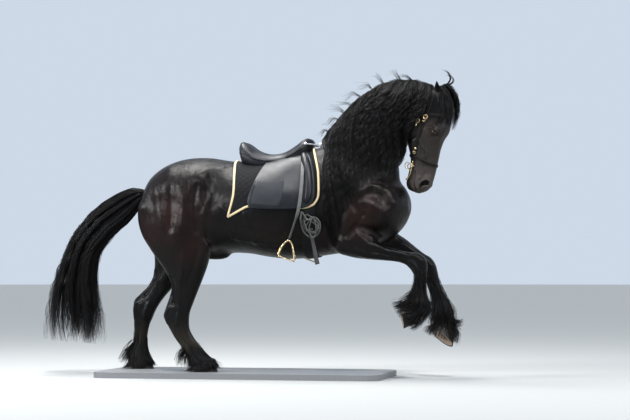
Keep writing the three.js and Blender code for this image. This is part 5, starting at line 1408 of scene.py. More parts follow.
# Feathers. Long hair on the back and sides of each cannon and fetlock, that falls over the hoof. Each
# strand starts on the skin of its leg and follows the four guides of the leg, which lie in the side view.
FEATHERS = {
    "fore_right": [
        [(1128, 540), (1085, 500), (1040, 470), (1004, 440)],
        [(1140, 470), (1070, 440), (1020, 436), (985, 450)],
        [(1150, 455), (1092, 432), (1050, 424), (1022, 430)],
        [(1180, 420), (1140, 380), (1112, 350), (1096, 326)],
    ],
    "fore_left": [
        [(1200, 470), (1158, 420), (1136, 380), (1128, 335)],
        [(1240, 350), (1222, 300), (1214, 262), (1240, 226)],
        [(1280, 330), (1330, 318), (1350, 322), (1372, 342)],
        [(1280, 300), (1322, 272), (1344, 262), (1358, 246)],
    ],
    "hind_right": [
        [(-330, 190), (-378, 140), (-402, 110), (-416, 62)],
        [(-310, 150), (-352, 100), (-368, 60), (-376, 14)],
        [(-260, 110), (-262, 66), (-258, 40), (-262, 12)],
        [(-230, 90), (-180, 58), (-142, 34), (-108, 18)],
    ],
    "hind_left": [
        [(-770, 200), (-822, 150), (-846, 100), (-862, 44)],
        [(-770, 150), (-828, 110), (-862, 66), (-884, 34)],
        [(-750, 110), (-762, 66), (-764, 40), (-768, 12)],
        [(-740, 120), (-700, 80), (-668, 46), (-640, 22)],
    ],
}
LEG_SIDE = {"fore_right": -158, "fore_left": 150, "hind_right": -150, "hind_left": 154}
SOLES = {
    "fore_right": [1047, 281, 1020, 410, -154, 64, 0.55, 2, 2.6],
    "fore_left": [1307, 163, 1180, 254, 150, 64, 0.55, 2, 2.6],
    "hind_right": [-148, 0, -300, 0, -148, 64, 0.55, 2, 2.6],
    "hind_left": [-660, 0, -812, 0, 152, 64, 0.55, 2, 2.6],
}
LONG_HAIRS = 300
COVER_HAIRS = 720
FEATHER_STEPS = 11
COVER_FROM = {"fore": 8.5, "hind": 12.6}
COVER_FLARE = {"fore": 0.40, "hind": 0.62}
COVER_STAND = {"fore": 0.60, "hind": 0.24}
COVER_SHORT = {"fore_right": 0.38, "fore_left": 0.16, "hind_right": 0, "hind_left": 0}
COVER_FALL = {
    "fore_right": (-0.045, 0, -0.020), "fore_left": (-0.012, 0, -0.035),
    "hind_right": (0, 0, 0), "hind_left": (0, 0, 0),
}
REACH = {"fore": (0.55, 0.92), "hind": (0.7, 1.04)}
FEATHER_GUIDE_STEPS = 16
FEATHER_STRAND_WIDE = 3.4 * MM


def make_feather(name):
    """Long strands between neighbouring guides. One goes round the leg by its place across it, from 24 mm
    off its middle at the root to up to 66 mm at the tip."""
    rnd = hair_random
    guides = guide_paths(FEATHERS[name], FEATHER_GUIDE_STEPS)
    t = np.linspace(0, 1, FEATHER_STEPS)
    pick = rnd.uniform(0, len(guides) - 1, LONG_HAIRS)
    rows = between(guides.reshape(len(guides), -1), pick).reshape(LONG_HAIRS, FEATHER_GUIDE_STEPS, 2)
    begin = 0.25 * rnd.random(LONG_HAIRS)
    reach = rnd.uniform(*REACH[name.split("_")[0]], LONG_HAIRS)
    flat = along_paths(rows, begin[:, None] + (reach - begin)[:, None] * t)
    flat = flat + rnd.normal(0, 9, (LONG_HAIRS, 1, 2)) * MM
    aside = rnd.uniform(-1, 1, LONG_HAIRS)
    far = (24 + (rnd.uniform(16, 42, LONG_HAIRS)[:, None]) * smooth(t, 0.0, 0.8)) * MM
    y = LEG_SIDE[name] * MM + aside[:, None] * far
    out = np.stack([flat[..., 0] - flat[:, :1, 0], aside[:, None] * 0.06 + 0 * y, 0.02 + 0 * y], 2) + 1e-3
    return at_side(flat, y), out, np.stack([0.5 + 0.5 * aside, pick / 3], 1), np.round(pick * 3) * 2.1


def make_cover(name):
    """Strands all round the leg, from below the knee or the hock down over the hoof. A strand keeps its
    angle round the leg's sections and stands off by a share of them that grows, most at the back."""
    rnd = hair_random
    kind = name.split("_")[0]
    rows = np.concatenate([LEGS[name], measured([SOLES[name]])])
    last = len(rows) - 1
    angle = rnd.uniform(0, 2 * np.pi, COVER_HAIRS)
    back = (1 - np.sin(angle)) / 2
    t = np.linspace(0, 1, FEATHER_STEPS)
    begin = COVER_FROM[kind] + (last - 0.9 - COVER_FROM[kind]) * rnd.random(COVER_HAIRS) ** 0.8
    lowest = last - 0.42 - COVER_SHORT[name] + 0.36 * back * (kind == "hind") + 0.16 * rnd.random(COVER_HAIRS)
    end = np.minimum(begin + rnd.uniform(3.2, 5.0, COVER_HAIRS), lowest)
    v = begin[:, None] + (end - begin)[:, None] * t
    row = between(rows, v.ravel()).reshape(COVER_HAIRS, FEATHER_STEPS, -1)
    ax, az, bx, bz, side, wide, widest = (row[..., k] for k in range(7))
    c, s = np.cos(angle)[:, None], np.sin(angle)[:, None]
    share = widest + np.where(s > 0, 1 - widest, widest) * s
    surface = np.stack([bx + (ax - bx) * share, side + wide * c, bz + (az - bz) * share], 2)
    middle = np.stack([bx + (ax - bx) * widest, side, bz + (az - bz) * widest], 2)
    lock = np.round(angle * 4) * 1.7 + np.round(begin)
    flare = COVER_FLARE[kind] * (0.12 + 0.88 * back ** 1.4) * rnd.uniform(0.35, 1.1, COVER_HAIRS)
    flare = flare * (0.85 + 0.3 * np.sin(lock * 2.3))
    low = smooth(v, last - 5, last - 0.6)
    stand_off = COVER_STAND[kind] * rnd.random(COVER_HAIRS) ** 1.5
    stand = 1.03 + (flare[:, None] * low + stand_off[:, None]) * smooth(t, 0, 0.7)
    fall = np.array(COVER_FALL[name]) * (t[None, :, None] ** 2) * (0.4 + back[:, None, None])
    out = surface - middle
    roots = np.stack([angle / (2 * np.pi), (begin - COVER_FROM[kind]) / 6], 1)
    return middle + out * stand[..., None] + fall, out, roots, lock


for leg in FEATHERS:
    paths, out, roots, phase = (np.concatenate(pair) for pair in zip(make_feather(leg), make_cover(leg)))
    count = len(paths)
    out = unit(out)
    amplitude, length = hair_random.uniform(1.0, 4.5, count) * MM, hair_random.uniform(50, 80, count) * MM
    paths = waved(paths, out, amplitude, length, phase + hair_random.normal(0, 0.5, count), 0.1, 0.7)
    paths[..., 2] = np.maximum(paths[..., 2], HOOF_LEVEL + 3 * MM)
    wide = FEATHER_STRAND_WIDE * hair_random.uniform(0.6, 1.15, count)
    hair_pieces("feather_" + leg, paths, wide, out, np.clip(roots, 0, 1))


# Eyes. A dark ball behind each slit between the lids, brown-black with a pupil that lies level, under a
# clear wet layer.
def form_piece(name, form, material, slot, *replaced):
    """A new piece of a form's points and faces."""
    points, faces = form
    return new_piece(name, new_mesh(name, points, *faces), material, replaced)


def ball_form(middle, radii, rings=40, sides=64):
    """An ellipsoid whose poles lie on the y axis: middle + radii * (sin v cos u, cos v, sin v sin u)."""
    v = (np.arange(rings) + 0.5)[:, None] / rings * np.pi
    u = np.arange(sides)[None] / sides * 2 * np.pi
    ball = np.stack([np.sin(v) * np.cos(u), np.cos(v) + 0 * u, np.sin(v) * np.sin(u)], 2)
    return closed_form(np.array(middle) + ball * np.array(radii))


SIDES = (("right", -1), ("left", 1))
PUPIL = (0.003, 0.003, 0.004, 1)
PUPIL_HALF = (9 * MM, 4.5 * MM)
IRIS = (0.022, 0.010, 0.005, 1)
EYE = new_material("eye", Roughness=0.12, Coat_Weight=0.3, Coat_Roughness=0.06)
eye_middle = [float(value) for value in head_xz(*EYE_AT)]
iris_speckle = node(EYE, "ShaderNodeTexNoise", Scale=180.0, Detail=3.0)
eye_place = node(EYE, "ShaderNodeTexCoord").outputs["Object"]
eye_split = node(EYE, "ShaderNodeSeparateXYZ")
feed(EYE, iris_speckle.inputs["Vector"], eye_place)
feed(EYE, eye_split.inputs[0], eye_place)
squares = []
for socket, middle, half in zip((eye_split.outputs[0], eye_split.outputs[2]), eye_middle, PUPIL_HALF):
    share = calculated(EYE, "DIVIDE", calculated(EYE, "SUBTRACT", socket, middle), half)
    squares.append(calculated(EYE, "POWER", share, 2.0))
in_pupil = calculated(EYE, "SUBTRACT", 1.6, calculated(EYE, "ADD", *squares), clamp=True)
iris_tone = mixed(EYE, iris_speckle.outputs["Fac"], IRIS, brighter(IRIS, 1.8))
joined_to(EYE, Base_Color=mixed(EYE, in_pupil, iris_tone, PUPIL))
for side, sign in SIDES:
    ball = ball_form((eye_middle[0], sign * EYE_SIDE, eye_middle[1]), (EYE_RADIUS, EYE_FLAT * EYE_RADIUS, EYE_RADIUS))
    form_piece("eye_ball_" + side, ball, EYE, "eye", "eye_" + side)


# Ears. Each is a rolled leaf of gristle with short coat, open towards the front and the side. It is a shell
# 4.5 mm thick; the near ear stands back a little, and the far one pricks forwards.
EAR_HIGH = 116 * MM
EAR_WALL = 4.5 * MM
EAR_WIDTHS = [(0, 21), (0.15, 25.5), (0.35, 27), (0.55, 24), (0.75, 17), (0.9, 8.5), (1.0, 1.2)]
EAR_OPEN = [(0, 12), (0.12, 24), (0.3, 62), (0.6, 88), (0.85, 96), (1.0, 100)]
EAR_FEET = {"right": (1247, -42, 1724), "left": (1252, 42, 1724)}
EAR_SIDEWAYS = 38
EAR_LEAN = {"right": -8, "left": 22}
EAR_OUT = 11


def ear_shell(steps=34, around=30):
    """Crescents up the ear: the outer arc r(h)(cos a, sin a) for a from open(h) round the back, then the
    inner arc home, EAR_WALL further in. The tip leans in by a square law."""
    h = np.linspace(0, 1, steps)[:, None]
    r = np.interp(h, *np.array(EAR_WIDTHS).T) * MM
    gap = np.radians(np.interp(h, *np.array(EAR_OPEN).T))
    a = np.linspace(0, 1, around)[None]
    angle = gap + a * (2 * np.pi - 2 * gap)
    wall = np.minimum(EAR_WALL, 0.45 * r)
    outer = np.stack([r * np.cos(angle), r * np.sin(angle)], 2)
    inner = np.stack([(r - wall) * np.cos(angle), (r - wall) * np.sin(angle)], 2)[:, ::-1]
    ring = np.concatenate([outer, inner], 1)
    z = np.broadcast_to(EAR_HIGH * h - 14 * MM, ring.shape[:2])
    return np.stack([ring[..., 0] * 0.86 + 9 * MM * h ** 2, ring[..., 1], z], 2)


def turned_about(points, axis, angle):
    """Points turned about an axis (0 x, 1 y, 2 z) by an angle."""
    i, j = [(1, 2), (2, 0), (0, 1)][axis]
    made = points.copy()
    made[..., i] = points[..., i] * math.cos(angle) - points[..., j] * math.sin(angle)
    made[..., j] = points[..., i] * math.sin(angle) + points[..., j] * math.cos(angle)
    return made


def two_toned(material, tone_by, tones, rough_by, rough, height, bump):
    """Colour between two tones by one socket, roughness more * socket + least by a second, and a bump of a
    third. rough holds more and least, and bump its strength and distance. Gives the material."""
    joined_to(
        material,
        Base_Color=mixed(material, tone_by, *tones),
        Roughness=calculated(material, "MULTIPLY_ADD", rough_by, *rough),
        Normal=raised(material, height, *bump),
    )
    return material


EAR_INSIDE = (0.014, 0.011, 0.010, 1)
EAR_COAT = new_material("ear_coat", Specular_IOR_Level=0.3)
hair = placed(EAR_COAT, SHORT_HAIR, Fine=1400.0, Long=0.15, Broad=30.0)
two_toned(EAR_COAT, hair["Patch"], (COAT_BLACK, EAR_INSIDE), hair["Patch"], (0.2, 0.42), hair["Height"], (0.5, 0.0012))
for side, sign in SIDES:
    shell = turned_about(ear_shell(), 2, sign * math.radians(EAR_SIDEWAYS))
    shell = turned_about(shell, 1, math.radians(EAR_LEAN[side]))
    shell = turned_about(shell, 0, -sign * math.radians(EAR_OUT))
    shell += np.array(EAR_FEET[side]) * MM + [0, 0, HOOF_LEVEL]
    form_piece("ear_shell_" + side, closed_form(shell), EAR_COAT, "coat", "ear_" + side)


# Hooves. Each is a wall of dark horn with fine growth rings round it, wider at the ground than at the
# coronet, and a pale sole, whose plate stands out of the wall's foot. The sole is painted paler than its own
# horn, as painted light thrown up from the ground under the foot. The fore hooves are rolled a little,
# so that their soles look to the right.
CORONETS = {
    "fore_right": [1112, 312, 1054, 420, -154, 51, 0.55, 2, 2.6],
    "fore_left": [1318, 243, 1192, 283, 150, 51, 0.55, 2, 2.6],
    "hind_right": [-184, 66, -296, 30, -148, 51, 0.55, 2, 2.6],
    "hind_left": [-694, 66, -800, 38, 152, 51, 0.55, 2, 2.6],
}
HORN_DARK = (0.006, 0.005, 0.0045, 1)
HORN_PALE = (0.022, 0.018, 0.015, 1)
# The sole's two tones, made paler than the sole itself as painted light from the ground below.
SOLE_PALE_AND_LIT = (0.62, 0.49, 0.38, 1)
SOLE_DARK_AND_LIT = (0.22, 0.17, 0.13, 1)

HORN = new_material("horn", Specular_IOR_Level=0.35)
rings = placed(HORN, SHORT_HAIR, Fine=60.0, Long=7.0, Broad=14.0)
two_toned(HORN, rings["Height"], (HORN_DARK, HORN_PALE), rings["Patch"], (0.25, 0.35), rings["Height"], (0.4, 0.002))
SOLE = new_material("sole", Specular_IOR_Level=0.2)
grain = placed(SOLE, SHORT_HAIR, Fine=220.0, Long=0.8, Broad=45.0)
two_toned(SOLE, grain["Patch"], (SOLE_DARK_AND_LIT, SOLE_PALE_AND_LIT), grain["Height"], (0.2, 0.7), grain["Patch"], (0.8, 0.004))


def shrunk(row, share, along=0):
    """A section drawn in towards its widest place by a share, and moved along (x, z)."""
    made = row.copy()
    middle = row[[2, 3]] + (row[[0, 1]] - row[[2, 3]]) * row[6]
    for corner in ([0, 1], [2, 3]):
        made[corner] = middle + (row[corner] - middle) * share + along
    made[5] = row[5] * share
    return made


SOLE_OUT = {"fore_right": 0.9 * MM, "fore_left": 0.9 * MM, "hind_right": 0.05 * MM, "hind_left": 0.05 * MM}
SOLE_TURNS = {"fore_right": math.radians(13), "fore_left": math.radians(27), "hind_right": 0, "hind_left": 0}


def rolled(form, top, low, angle):
    """A form turned about the toe-to-heel line through the coronet's middle, so that the sole looks towards
    the right side: p + sin * (a x p) + (1 - cos) * (a x (a x p))."""
    points, faces = form
    ahead = unit(np.array([low[0] - low[2], 0, low[1] - low[3]]))
    middle = np.array([(top[0] + top[2]) / 2, top[4], (top[1] + top[3]) / 2])
    down = np.array([low[0] + low[2], 2 * low[4], low[1] + low[3]]) / 2 - middle
    ahead *= -np.sign(np.cross(ahead, down)[1])
    shift = np.cross(ahead, points - middle)
    return points + math.sin(angle) * shift + (1 - math.cos(angle)) * np.cross(ahead, shift), faces


for leg in SOLES:
    top, low = measured([CORONETS[leg]])[0], measured([SOLES[leg]])[0]
    up = unit((top[[0, 1]] + top[[2, 3]] - low[[0, 1]] - low[[2, 3]]) / 2)
    out = -SOLE_OUT[leg] * up
    wall = [shrunk(top, 0.90), top, top + (low - top) * 0.5, low, shrunk(low, 0.985), shrunk(low, 0.86)]
    plate = [
        shrunk(low, 0.9, 5 * MM * up), shrunk(low, 0.9, out), shrunk(low, 0.6, 2 * out), shrunk(low, 0.3, 2.4 * out)]
    hoof = rolled(closed_form(section_grid(np.stack(wall), 60, 72)), top, low, SOLE_TURNS[leg])
    form_piece("wall_" + leg, hoof, HORN, "hoof", "hoof_" + leg)
    sole = rolled(closed_form(section_grid(np.stack(plate), 40, 72)), top, low, SOLE_TURNS[leg])
    form_piece("sole_" + leg, sole, SOLE, "hoof")


# Saddle cloth. A quilted black cotton cloth lies over the back and hangs down both sides to a point at the
# rear. It follows the back, whose shape is held as a table of distances round a level axis in the trunk.
BACK_AXIS = 1150 * MM + HOOF_LEVEL
BACK_X = np.linspace(-0.11, 0.57, 69)
BACK_TURN = np.linspace(0, np.pi, 91)
body_tree = BVHTree.FromPolygons(skin_points.tolist(), [face for faces in skin_faces for face in faces.tolist()])


def back_table():
    """Distances from the axis to the skin, by x and by the angle from straight up, on the right side."""
    made = np.zeros((len(BACK_X), len(BACK_TURN)))
    for i, x in enumerate(BACK_X):
        for j, turn in enumerate(BACK_TURN):
            hit = body_tree.ray_cast(Vector((x, 0, BACK_AXIS)), Vector((0, -math.sin(turn), math.cos(turn))))
            made[i, j] = hit[3]
    for _ in range(4):
        wide = np.pad(made, 1, mode="edge")
        made = (wide[:-2, 1:-1] + wide[2:, 1:-1] + wide[1:-1, :-2] + wide[1:-1, 2:] + 2 * made) / 6
    return made


back_far = back_table()
back_skin = np.stack([
    BACK_X[:, None] + 0 * back_far, -np.sin(BACK_TURN) * back_far, BACK_AXIS + np.cos(BACK_TURN) * back_far,
], 2)
back_normal = np.cross(np.gradient(back_skin, axis=0), np.gradient(back_skin, axis=1))
back_normal *= np.sign(np.einsum("ijk,ijk->ij", back_normal, back_skin - [0, 0, BACK_AXIS]))[..., None]
back_normal[:, [0, -1], 1] = 0
back_normal = unit(back_normal)


def on_back(x, turn, out):
    """Places over the back at x and the angle from straight up (right side above 0), out off the skin."""
    turn = (np.asarray(turn) + np.pi) % (2 * np.pi) - np.pi
    u = np.clip((x - BACK_X[0]) / (BACK_X[1] - BACK_X[0]), 0, len(BACK_X) - 1.001)
    v = np.clip(np.abs(turn) / BACK_TURN[1], 0, len(BACK_TURN) - 1.001)
    place = table_at(back_skin, u, v) + table_at(back_normal, u, v) * np.asarray(out)[..., None]
    place[..., 1] *= np.where(turn < 0, -1, 1)
    return place


def back_turn(x, z):
    """The angle at which the right side of the back has the height z, at x."""
    rows = np.stack([np.interp(x, BACK_X, back_skin[:, j, 2]) for j in range(len(BACK_TURN))], -1)
    flat, heights = rows.reshape(-1, len(BACK_TURN)), np.asarray(z, float).ravel()
    found = [np.interp(-h, -row, BACK_TURN) for row, h in zip(flat, heights)]
    return np.array(found).reshape(np.shape(z))


def edge_line(points, count):
    """An outline's stretch in side view as count places (x, angle) along a smooth line."""
    line = even_path(over_hooves(points), count)
    return np.stack([line[:, 0], back_turn(line[:, 0], line[:, 1])], 1)


def patch(top, low, rear, front):
    """A grid between four lines of (x, angle): the mix of opposite lines, less the mix of the corners."""
    u, w = np.linspace(0, 1, len(top))[:, None, None], np.linspace(0, 1, len(rear))[None, :, None]
    sides = (1 - w) * top[:, None] + w * low[:, None] + (1 - u) * rear[None] + u * front[None]
    corners = (1 - u) * ((1 - w) * top[0] + w * low[0]) + u * ((1 - w) * top[-1] + w * low[-1])
    return sides - corners


def edge_share(shape, soft):
    """0 on the rim of a grid and 1 from a few rows inside: a quarter circle of the distance over soft rows."""
    i, j = np.meshgrid(np.arange(shape[0]), np.arange(shape[1]), indexing="ij")
    near = np.minimum(np.minimum(i, shape[0] - 1 - i), np.minimum(j, shape[1] - 1 - j))
    return np.sqrt(1 - (1 - np.clip(near / soft, 0, 1)) ** 2)


def rim_of(grid):
    """A grid's entries along its rim, once round."""
    return np.concatenate([grid[0, :-1], grid[:-1, -1], grid[-1, :0:-1], grid[:0:-1, 0]])


def slab_form(inner, outer):
    """Points and faces of a closed slab between two grids that lie over each other."""
    rows, columns = inner.shape[:2]
    shift = rows * columns
    index = np.arange(shift).reshape(rows, columns)
    quads = np.stack([index[:-1, :-1], index[1:, :-1], index[1:, 1:], index[:-1, 1:]], 2).reshape(-1, 4)
    rim = rim_of(index)
    after = np.roll(rim, -1)
    faces = np.concatenate([quads + shift, quads[:, ::-1], np.stack([rim, after, after + shift, rim + shift], 1)])
    points = np.concatenate([inner.reshape(-1, 3), outer.reshape(-1, 3)])
    return points, turned_out(points, faces)


CLOTH_IN = 1.5 * MM
CLOTH_OUT = 8.2 * MM
QUILT = 44 * MM
QUILT_HIGH = 2.4 * MM
CLOTH_FRONT = [(428, 1430), (455, 1395), (492, 1310), (513, 1230), (522, 1106), (496, 1050)]
CLOTH_LOW = [(-46, 974), (30, 1012), (97, 1040), (200, 1040), (330, 1034), (440, 1030), (496, 1050)]
CLOTH_REAR = [(-62, 1345), (-28, 1250), (-12, 1111), (-46, 974)]
ALONG_CLOTH, DOWN_CLOTH = 96, 92

rear_line, front_line = edge_line(CLOTH_REAR, DOWN_CLOTH), edge_line(CLOTH_FRONT, DOWN_CLOTH)
for line in (rear_line, front_line):
    line[:, 1] -= line[0, 1] * (1 - np.linspace(0, 1, DOWN_CLOTH)) ** 3
top_line = np.stack([np.linspace(rear_line[0, 0], front_line[0, 0], ALONG_CLOTH), np.zeros(ALONG_CLOTH)], 1)
half_cloth = patch(top_line, edge_line(CLOTH_LOW, ALONG_CLOTH), rear_line, front_line)
cloth_at = np.concatenate([half_cloth[:, :0:-1] * [1, -1], half_cloth], 1)
cloth_x, cloth_turn = cloth_at[..., 0], cloth_at[..., 1]
girth_run = cloth_turn * 0.31
quilting = np.abs(np.sin(np.pi * (cloth_x + girth_run) / QUILT) * np.sin(np.pi * (cloth_x - girth_run) / QUILT)) ** 0.45
cloth_out = CLOTH_IN + (CLOTH_OUT - CLOTH_IN - QUILT_HIGH + QUILT_HIGH * quilting) * edge_share(cloth_x.shape, 2)
cloth_form = slab_form(on_back(cloth_x, cloth_turn, CLOTH_IN), on_back(cloth_x, cloth_turn, cloth_out))


def weave_group():
    """A shader group for woven cloth: threads along X and along Z as two bands that take turns. Pitch is
    the bands' scale; puts out Height and, from a soft noise, Wear."""
    group, given, shown, place = shader_group("weave", {"Pitch": 120.0}, ("Height", "Wear"))
    both = node(group, "ShaderNodeMath", operation="MULTIPLY")
    for k, way in enumerate("XZ"):
        threads = node(group, "ShaderNodeTexWave", wave_type="BANDS", bands_direction=way, Distortion=0.6, Detail=1.0)
        group.links.new(place, threads.inputs["Vector"])
        group.links.new(given["Pitch"], threads.inputs["Scale"])
        group.links.new(threads.outputs["Fac"], both.inputs[k])
    wear = node(group, "ShaderNodeTexNoise", Scale=14.0, Detail=4.0)
    group.links.new(place, wear.inputs["Vector"])
    group.links.new(both.outputs[0], shown["Height"])
    group.links.new(wear.outputs["Fac"], shown["Wear"])
    return group


WEAVE = weave_group()


def cloth_finish(name, dark, light, pitch, rough, bump, sheen):
    """Woven cloth: two tones by wear, threads in the bump."""
    made = new_material(name, Specular_IOR_Level=0.2, Sheen_Weight=sheen, Sheen_Roughness=0.5)
    weave = placed(made, WEAVE, Pitch=pitch)
    return two_toned(made, weave["Wear"], (dark, light), weave["Wear"], (0.15, rough), weave["Height"], (bump, 0.0008))


QUILTED = cloth_finish("quilted_cotton", (0.005, 0.005, 0.006, 1), (0.012, 0.012, 0.014, 1), 160.0, 0.8, 0.4, 0.06)
cloth = form_piece("cloth", cloth_form, QUILTED, "cloth", "saddle_cloth")


# Binding. A cream woven band folded over the whole edge of the cloth and sewn down, 15 mm wide.
BINDING_HALF = 7.5 * MM
BINDING_DEEP = 5.6 * MM
BINDING_OUT = 5.3 * MM
BINDING_CREAM = (0.60, 0.50, 0.33, 1)
BINDING_SHADE = (0.42, 0.34, 0.21, 1)


def section_ring(sides, power):
    """Places round a rounded rectangle from -1 to 1: sign * |cos|^(2/power), sign * |sin|^(2/power)."""
    a = (np.arange(sides) + 0.5) / sides * 2 * np.pi
    c, s = np.cos(a), np.sin(a)
    return np.sign(c) * np.abs(c) ** (2 / power), np.sign(s) * np.abs(s) ** (2 / power)


def band_grid(path, out, half_wide, half_thick, sides=16, power=3.5, closed=False):
    """Rings of a band along a path: path + across * half_wide * c + out * half_thick * s."""
    if closed:
        tangent = np.roll(path, -1, 0) - np.roll(path, 1, 0) + [0, 1e-9, 0]
    else:
        tangent = np.gradient(path, axis=0)
    tangent = unit(tangent)
    out = np.broadcast_to(out, path.shape)
    out = unit(out - tangent * np.einsum("ij,ij->i", out, tangent)[:, None])
    across = np.cross(tangent, out)
    c, s = section_ring(sides, power)
    wide = np.broadcast_to(half_wide, len(path))[:, None, None]
    thick = np.broadcast_to(half_thick, len(path))[:, None, None]
    return path[:, None] + across[:, None] * (wide * c[:, None]) + out[:, None] * (thick * s[:, None])


def looped_form(grid):
    """Points and faces of a closed ring of sections, with no ends."""
    index = np.arange(grid.shape[0] * grid.shape[1]).reshape(grid.shape[:2])
    a, b = index, np.roll(index, -1, 1)
    faces = np.stack([a, b, np.roll(b, -1, 0), np.roll(a, -1, 0)], 2).reshape(-1, 4)
    points = grid.reshape(-1, 3)
    return points, turned_out(points, faces)


def calm(points, steps, closed=False):
    """A line evened by its neighbours' mean, with its ends kept unless it is closed."""
    for _ in range(steps):
        before, after = np.roll(points, 1, 0), np.roll(points, -1, 0)
        if not closed:
            before[0], after[-1] = points[0], points[-1]
        points = 0.5 * points + 0.25 * (before + after)
    return points


rim_x, rim_turn = rim_of(cloth_at).T
rim_path = calm(on_back(rim_x, rim_turn, BINDING_OUT), 3, closed=True)
rim_out = on_back(rim_x, rim_turn, 1.0) - on_back(rim_x, rim_turn, 0.0)
binding_form = looped_form(band_grid(rim_path, rim_out, BINDING_HALF, BINDING_DEEP, closed=True))
BINDING = cloth_finish("binding", BINDING_SHADE, BINDING_CREAM, 420.0, 0.6, 0.5, 0.1)
binding = form_piece("cloth_binding", binding_form, BINDING, "binding", "saddle_cloth_binding")


# Leather. The saddle and the bridle are black leather: a fine pebble grain, scuffed a little paler, with
# a soft polish.
def grain_group():
    """A shader group for leather: pebbles as cells, with creases between them, and broad scuffs. Scale sets
    the pebbles' size; puts out Height and Scuff."""
    group, given, shown, place = shader_group("leather_grain", {"Scale": 600.0}, ("Height", "Scuff"))
    pebbles = node(group, "ShaderNodeTexVoronoi", feature="SMOOTH_F1", Smoothness=0.4)
    scuff = node(group, "ShaderNodeTexNoise", Scale=22.0, Detail=6.0)
    group.links.new(place, pebbles.inputs["Vector"])
    group.links.new(given["Scale"], pebbles.inputs["Scale"])
    group.links.new(place, scuff.inputs["Vector"])
    group.links.new(pebbles.outputs["Distance"], shown["Height"])
    group.links.new(scuff.outputs["Fac"], shown["Scuff"])
    return group


GRAIN = grain_group()


def leather_finish(name, dark, light, scale, rough, bump, gloss):
    """Leather in two tones by its scuffs, with the grain in its bump."""
    made = new_material(name, Specular_IOR_Level=gloss)
    grain = placed(made, GRAIN, Scale=scale)
    scuff = grain["Scuff"]
    return two_toned(made, scuff, (dark, light), scuff, (0.22, rough), grain["Height"], (bump, 0.0006))


SADDLE_LEATHER = leather_finish(
    "saddle_leather", (0.006, 0.007, 0.009, 1), (0.018, 0.020, 0.026, 1), 520.0, 0.30, 0.35, 0.32)
PANEL_LEATHER = leather_finish(
    "panel_leather", (0.022, 0.024, 0.028, 1), (0.042, 0.044, 0.050, 1), 300.0, 0.5, 0.8, 0.2)
HANGING_LEATHER = leather_finish(
    "hanging_leather", (0.05, 0.05, 0.05, 1), (0.13, 0.13, 0.13, 1), 500.0, 0.4, 0.5, 0.4)
STRAP_LEATHER = leather_finish(
    "strap_leather", (0.004, 0.004, 0.004, 1), (0.012, 0.010, 0.009, 1), 800.0, 0.32, 0.3, 0.22)
THREAD_DARK, THREAD_PALE = (0.10, 0.095, 0.085, 1), (0.22, 0.21, 0.19, 1)
THREAD = new_material("thread", Roughness=0.7, Specular_IOR_Level=0.2)
joined_to(THREAD, Base_Color=mixed(THREAD, placed(THREAD, WEAVE, Pitch=900.0)["Height"], THREAD_DARK, THREAD_PALE))
SPINDLE = np.array([[0, 3, 2], [0, 4, 3], [0, 5, 4], [0, 2, 5], [1, 2, 3], [1, 3, 4], [1, 4, 5], [1, 5, 2]])


def stitches(path, out, length=4.2 * MM, gap=2.4 * MM, wide=0.55 * MM, high=0.5 * MM):
    """Points and faces of stitches along a line: each is a small spindle with four corners in its middle."""
    run = np.concatenate([[0], np.cumsum(np.linalg.norm(np.diff(path, axis=0), axis=1))])
    at = np.arange(0.5 * (length + gap), run[-1] - 0.5 * length, length + gap)
    place, up = (np.stack([np.interp(at, run, line[:, k]) for k in range(3)], 1) for line in (path, out))
    along = unit(np.stack([np.interp(at, run, np.gradient(path[:, k], run)) for k in range(3)], 1))
    up = unit(up)
    side = np.cross(along, up)
    points = np.stack([
        place - along * length / 2, place + along * length / 2, place + side * wide, place + up * high,
        place - side * wide, place - up * high,
    ], 1).reshape(-1, 3)
    faces = (np.arange(len(at))[:, None, None] * 6 + SPINDLE).reshape(-1, 3)
    return points, turned_out(points, faces)


def edge_stitches(line, out, high, aside, *sizes):
    """Two rows of stitches along a strap, at a height over its middle line and aside to both sides of it."""
    across = np.cross(unit(np.gradient(line, axis=0)), out)
    return [stitches(line + out * high + across * k * aside, out, *sizes) for k in (-1, 1)]


# Saddle flaps. A stiff leather flap hangs on each side, nearly 9 mm thick with its padding, edged by a sewn
# welt. A paler panel of pebbled leather is let into its rear half.
FLAP_IN = 11.8 * MM
FLAP_OUT = 20.4 * MM
FLAP_FRONT = [
    (330, 1425), (395, 1400), (452, 1340), (484, 1250), (499, 1160), (497, 1090), (476, 1048), (430, 1026),
]
FLAP_LOW = [(96, 1030), (200, 1021), (330, 1020), (430, 1026)]
FLAP_REAR = [(190, 1335), (150, 1280), (110, 1170), (84, 1072), (96, 1030)]
FLAP_TOP = [(190, 1335), (250, 1365), (330, 1425)]
ALONG_FLAP, DOWN_FLAP = 84, 80
WELT_HIGH = 1.4 * MM
STITCH_ROW, STITCH_FROM = 3, 12
PANEL_ALONG, PANEL_DOWN = slice(6, 44), slice(46, -5)
PANEL_SUNK, PANEL_HIGH = 1.5 * MM, 2.6 * MM
TACK_SIDES = (("right", 1), ("left", -1))
flap_rear, flap_front = edge_line(FLAP_REAR, DOWN_FLAP), edge_line(FLAP_FRONT, DOWN_FLAP)
flap_top, flap_low = edge_line(FLAP_TOP, ALONG_FLAP), edge_line(FLAP_LOW, ALONG_FLAP)
flap_rear[0], flap_front[0] = flap_top[0], flap_top[-1]
flap_at = patch(flap_top, flap_low, flap_rear, flap_front)
k = STITCH_ROW
sewn_at = np.concatenate([flap_at[k, STITCH_FROM:-k], flap_at[k:-k, -1 - k][1:], flap_at[-1 - k, -k:STITCH_FROM:-1]])
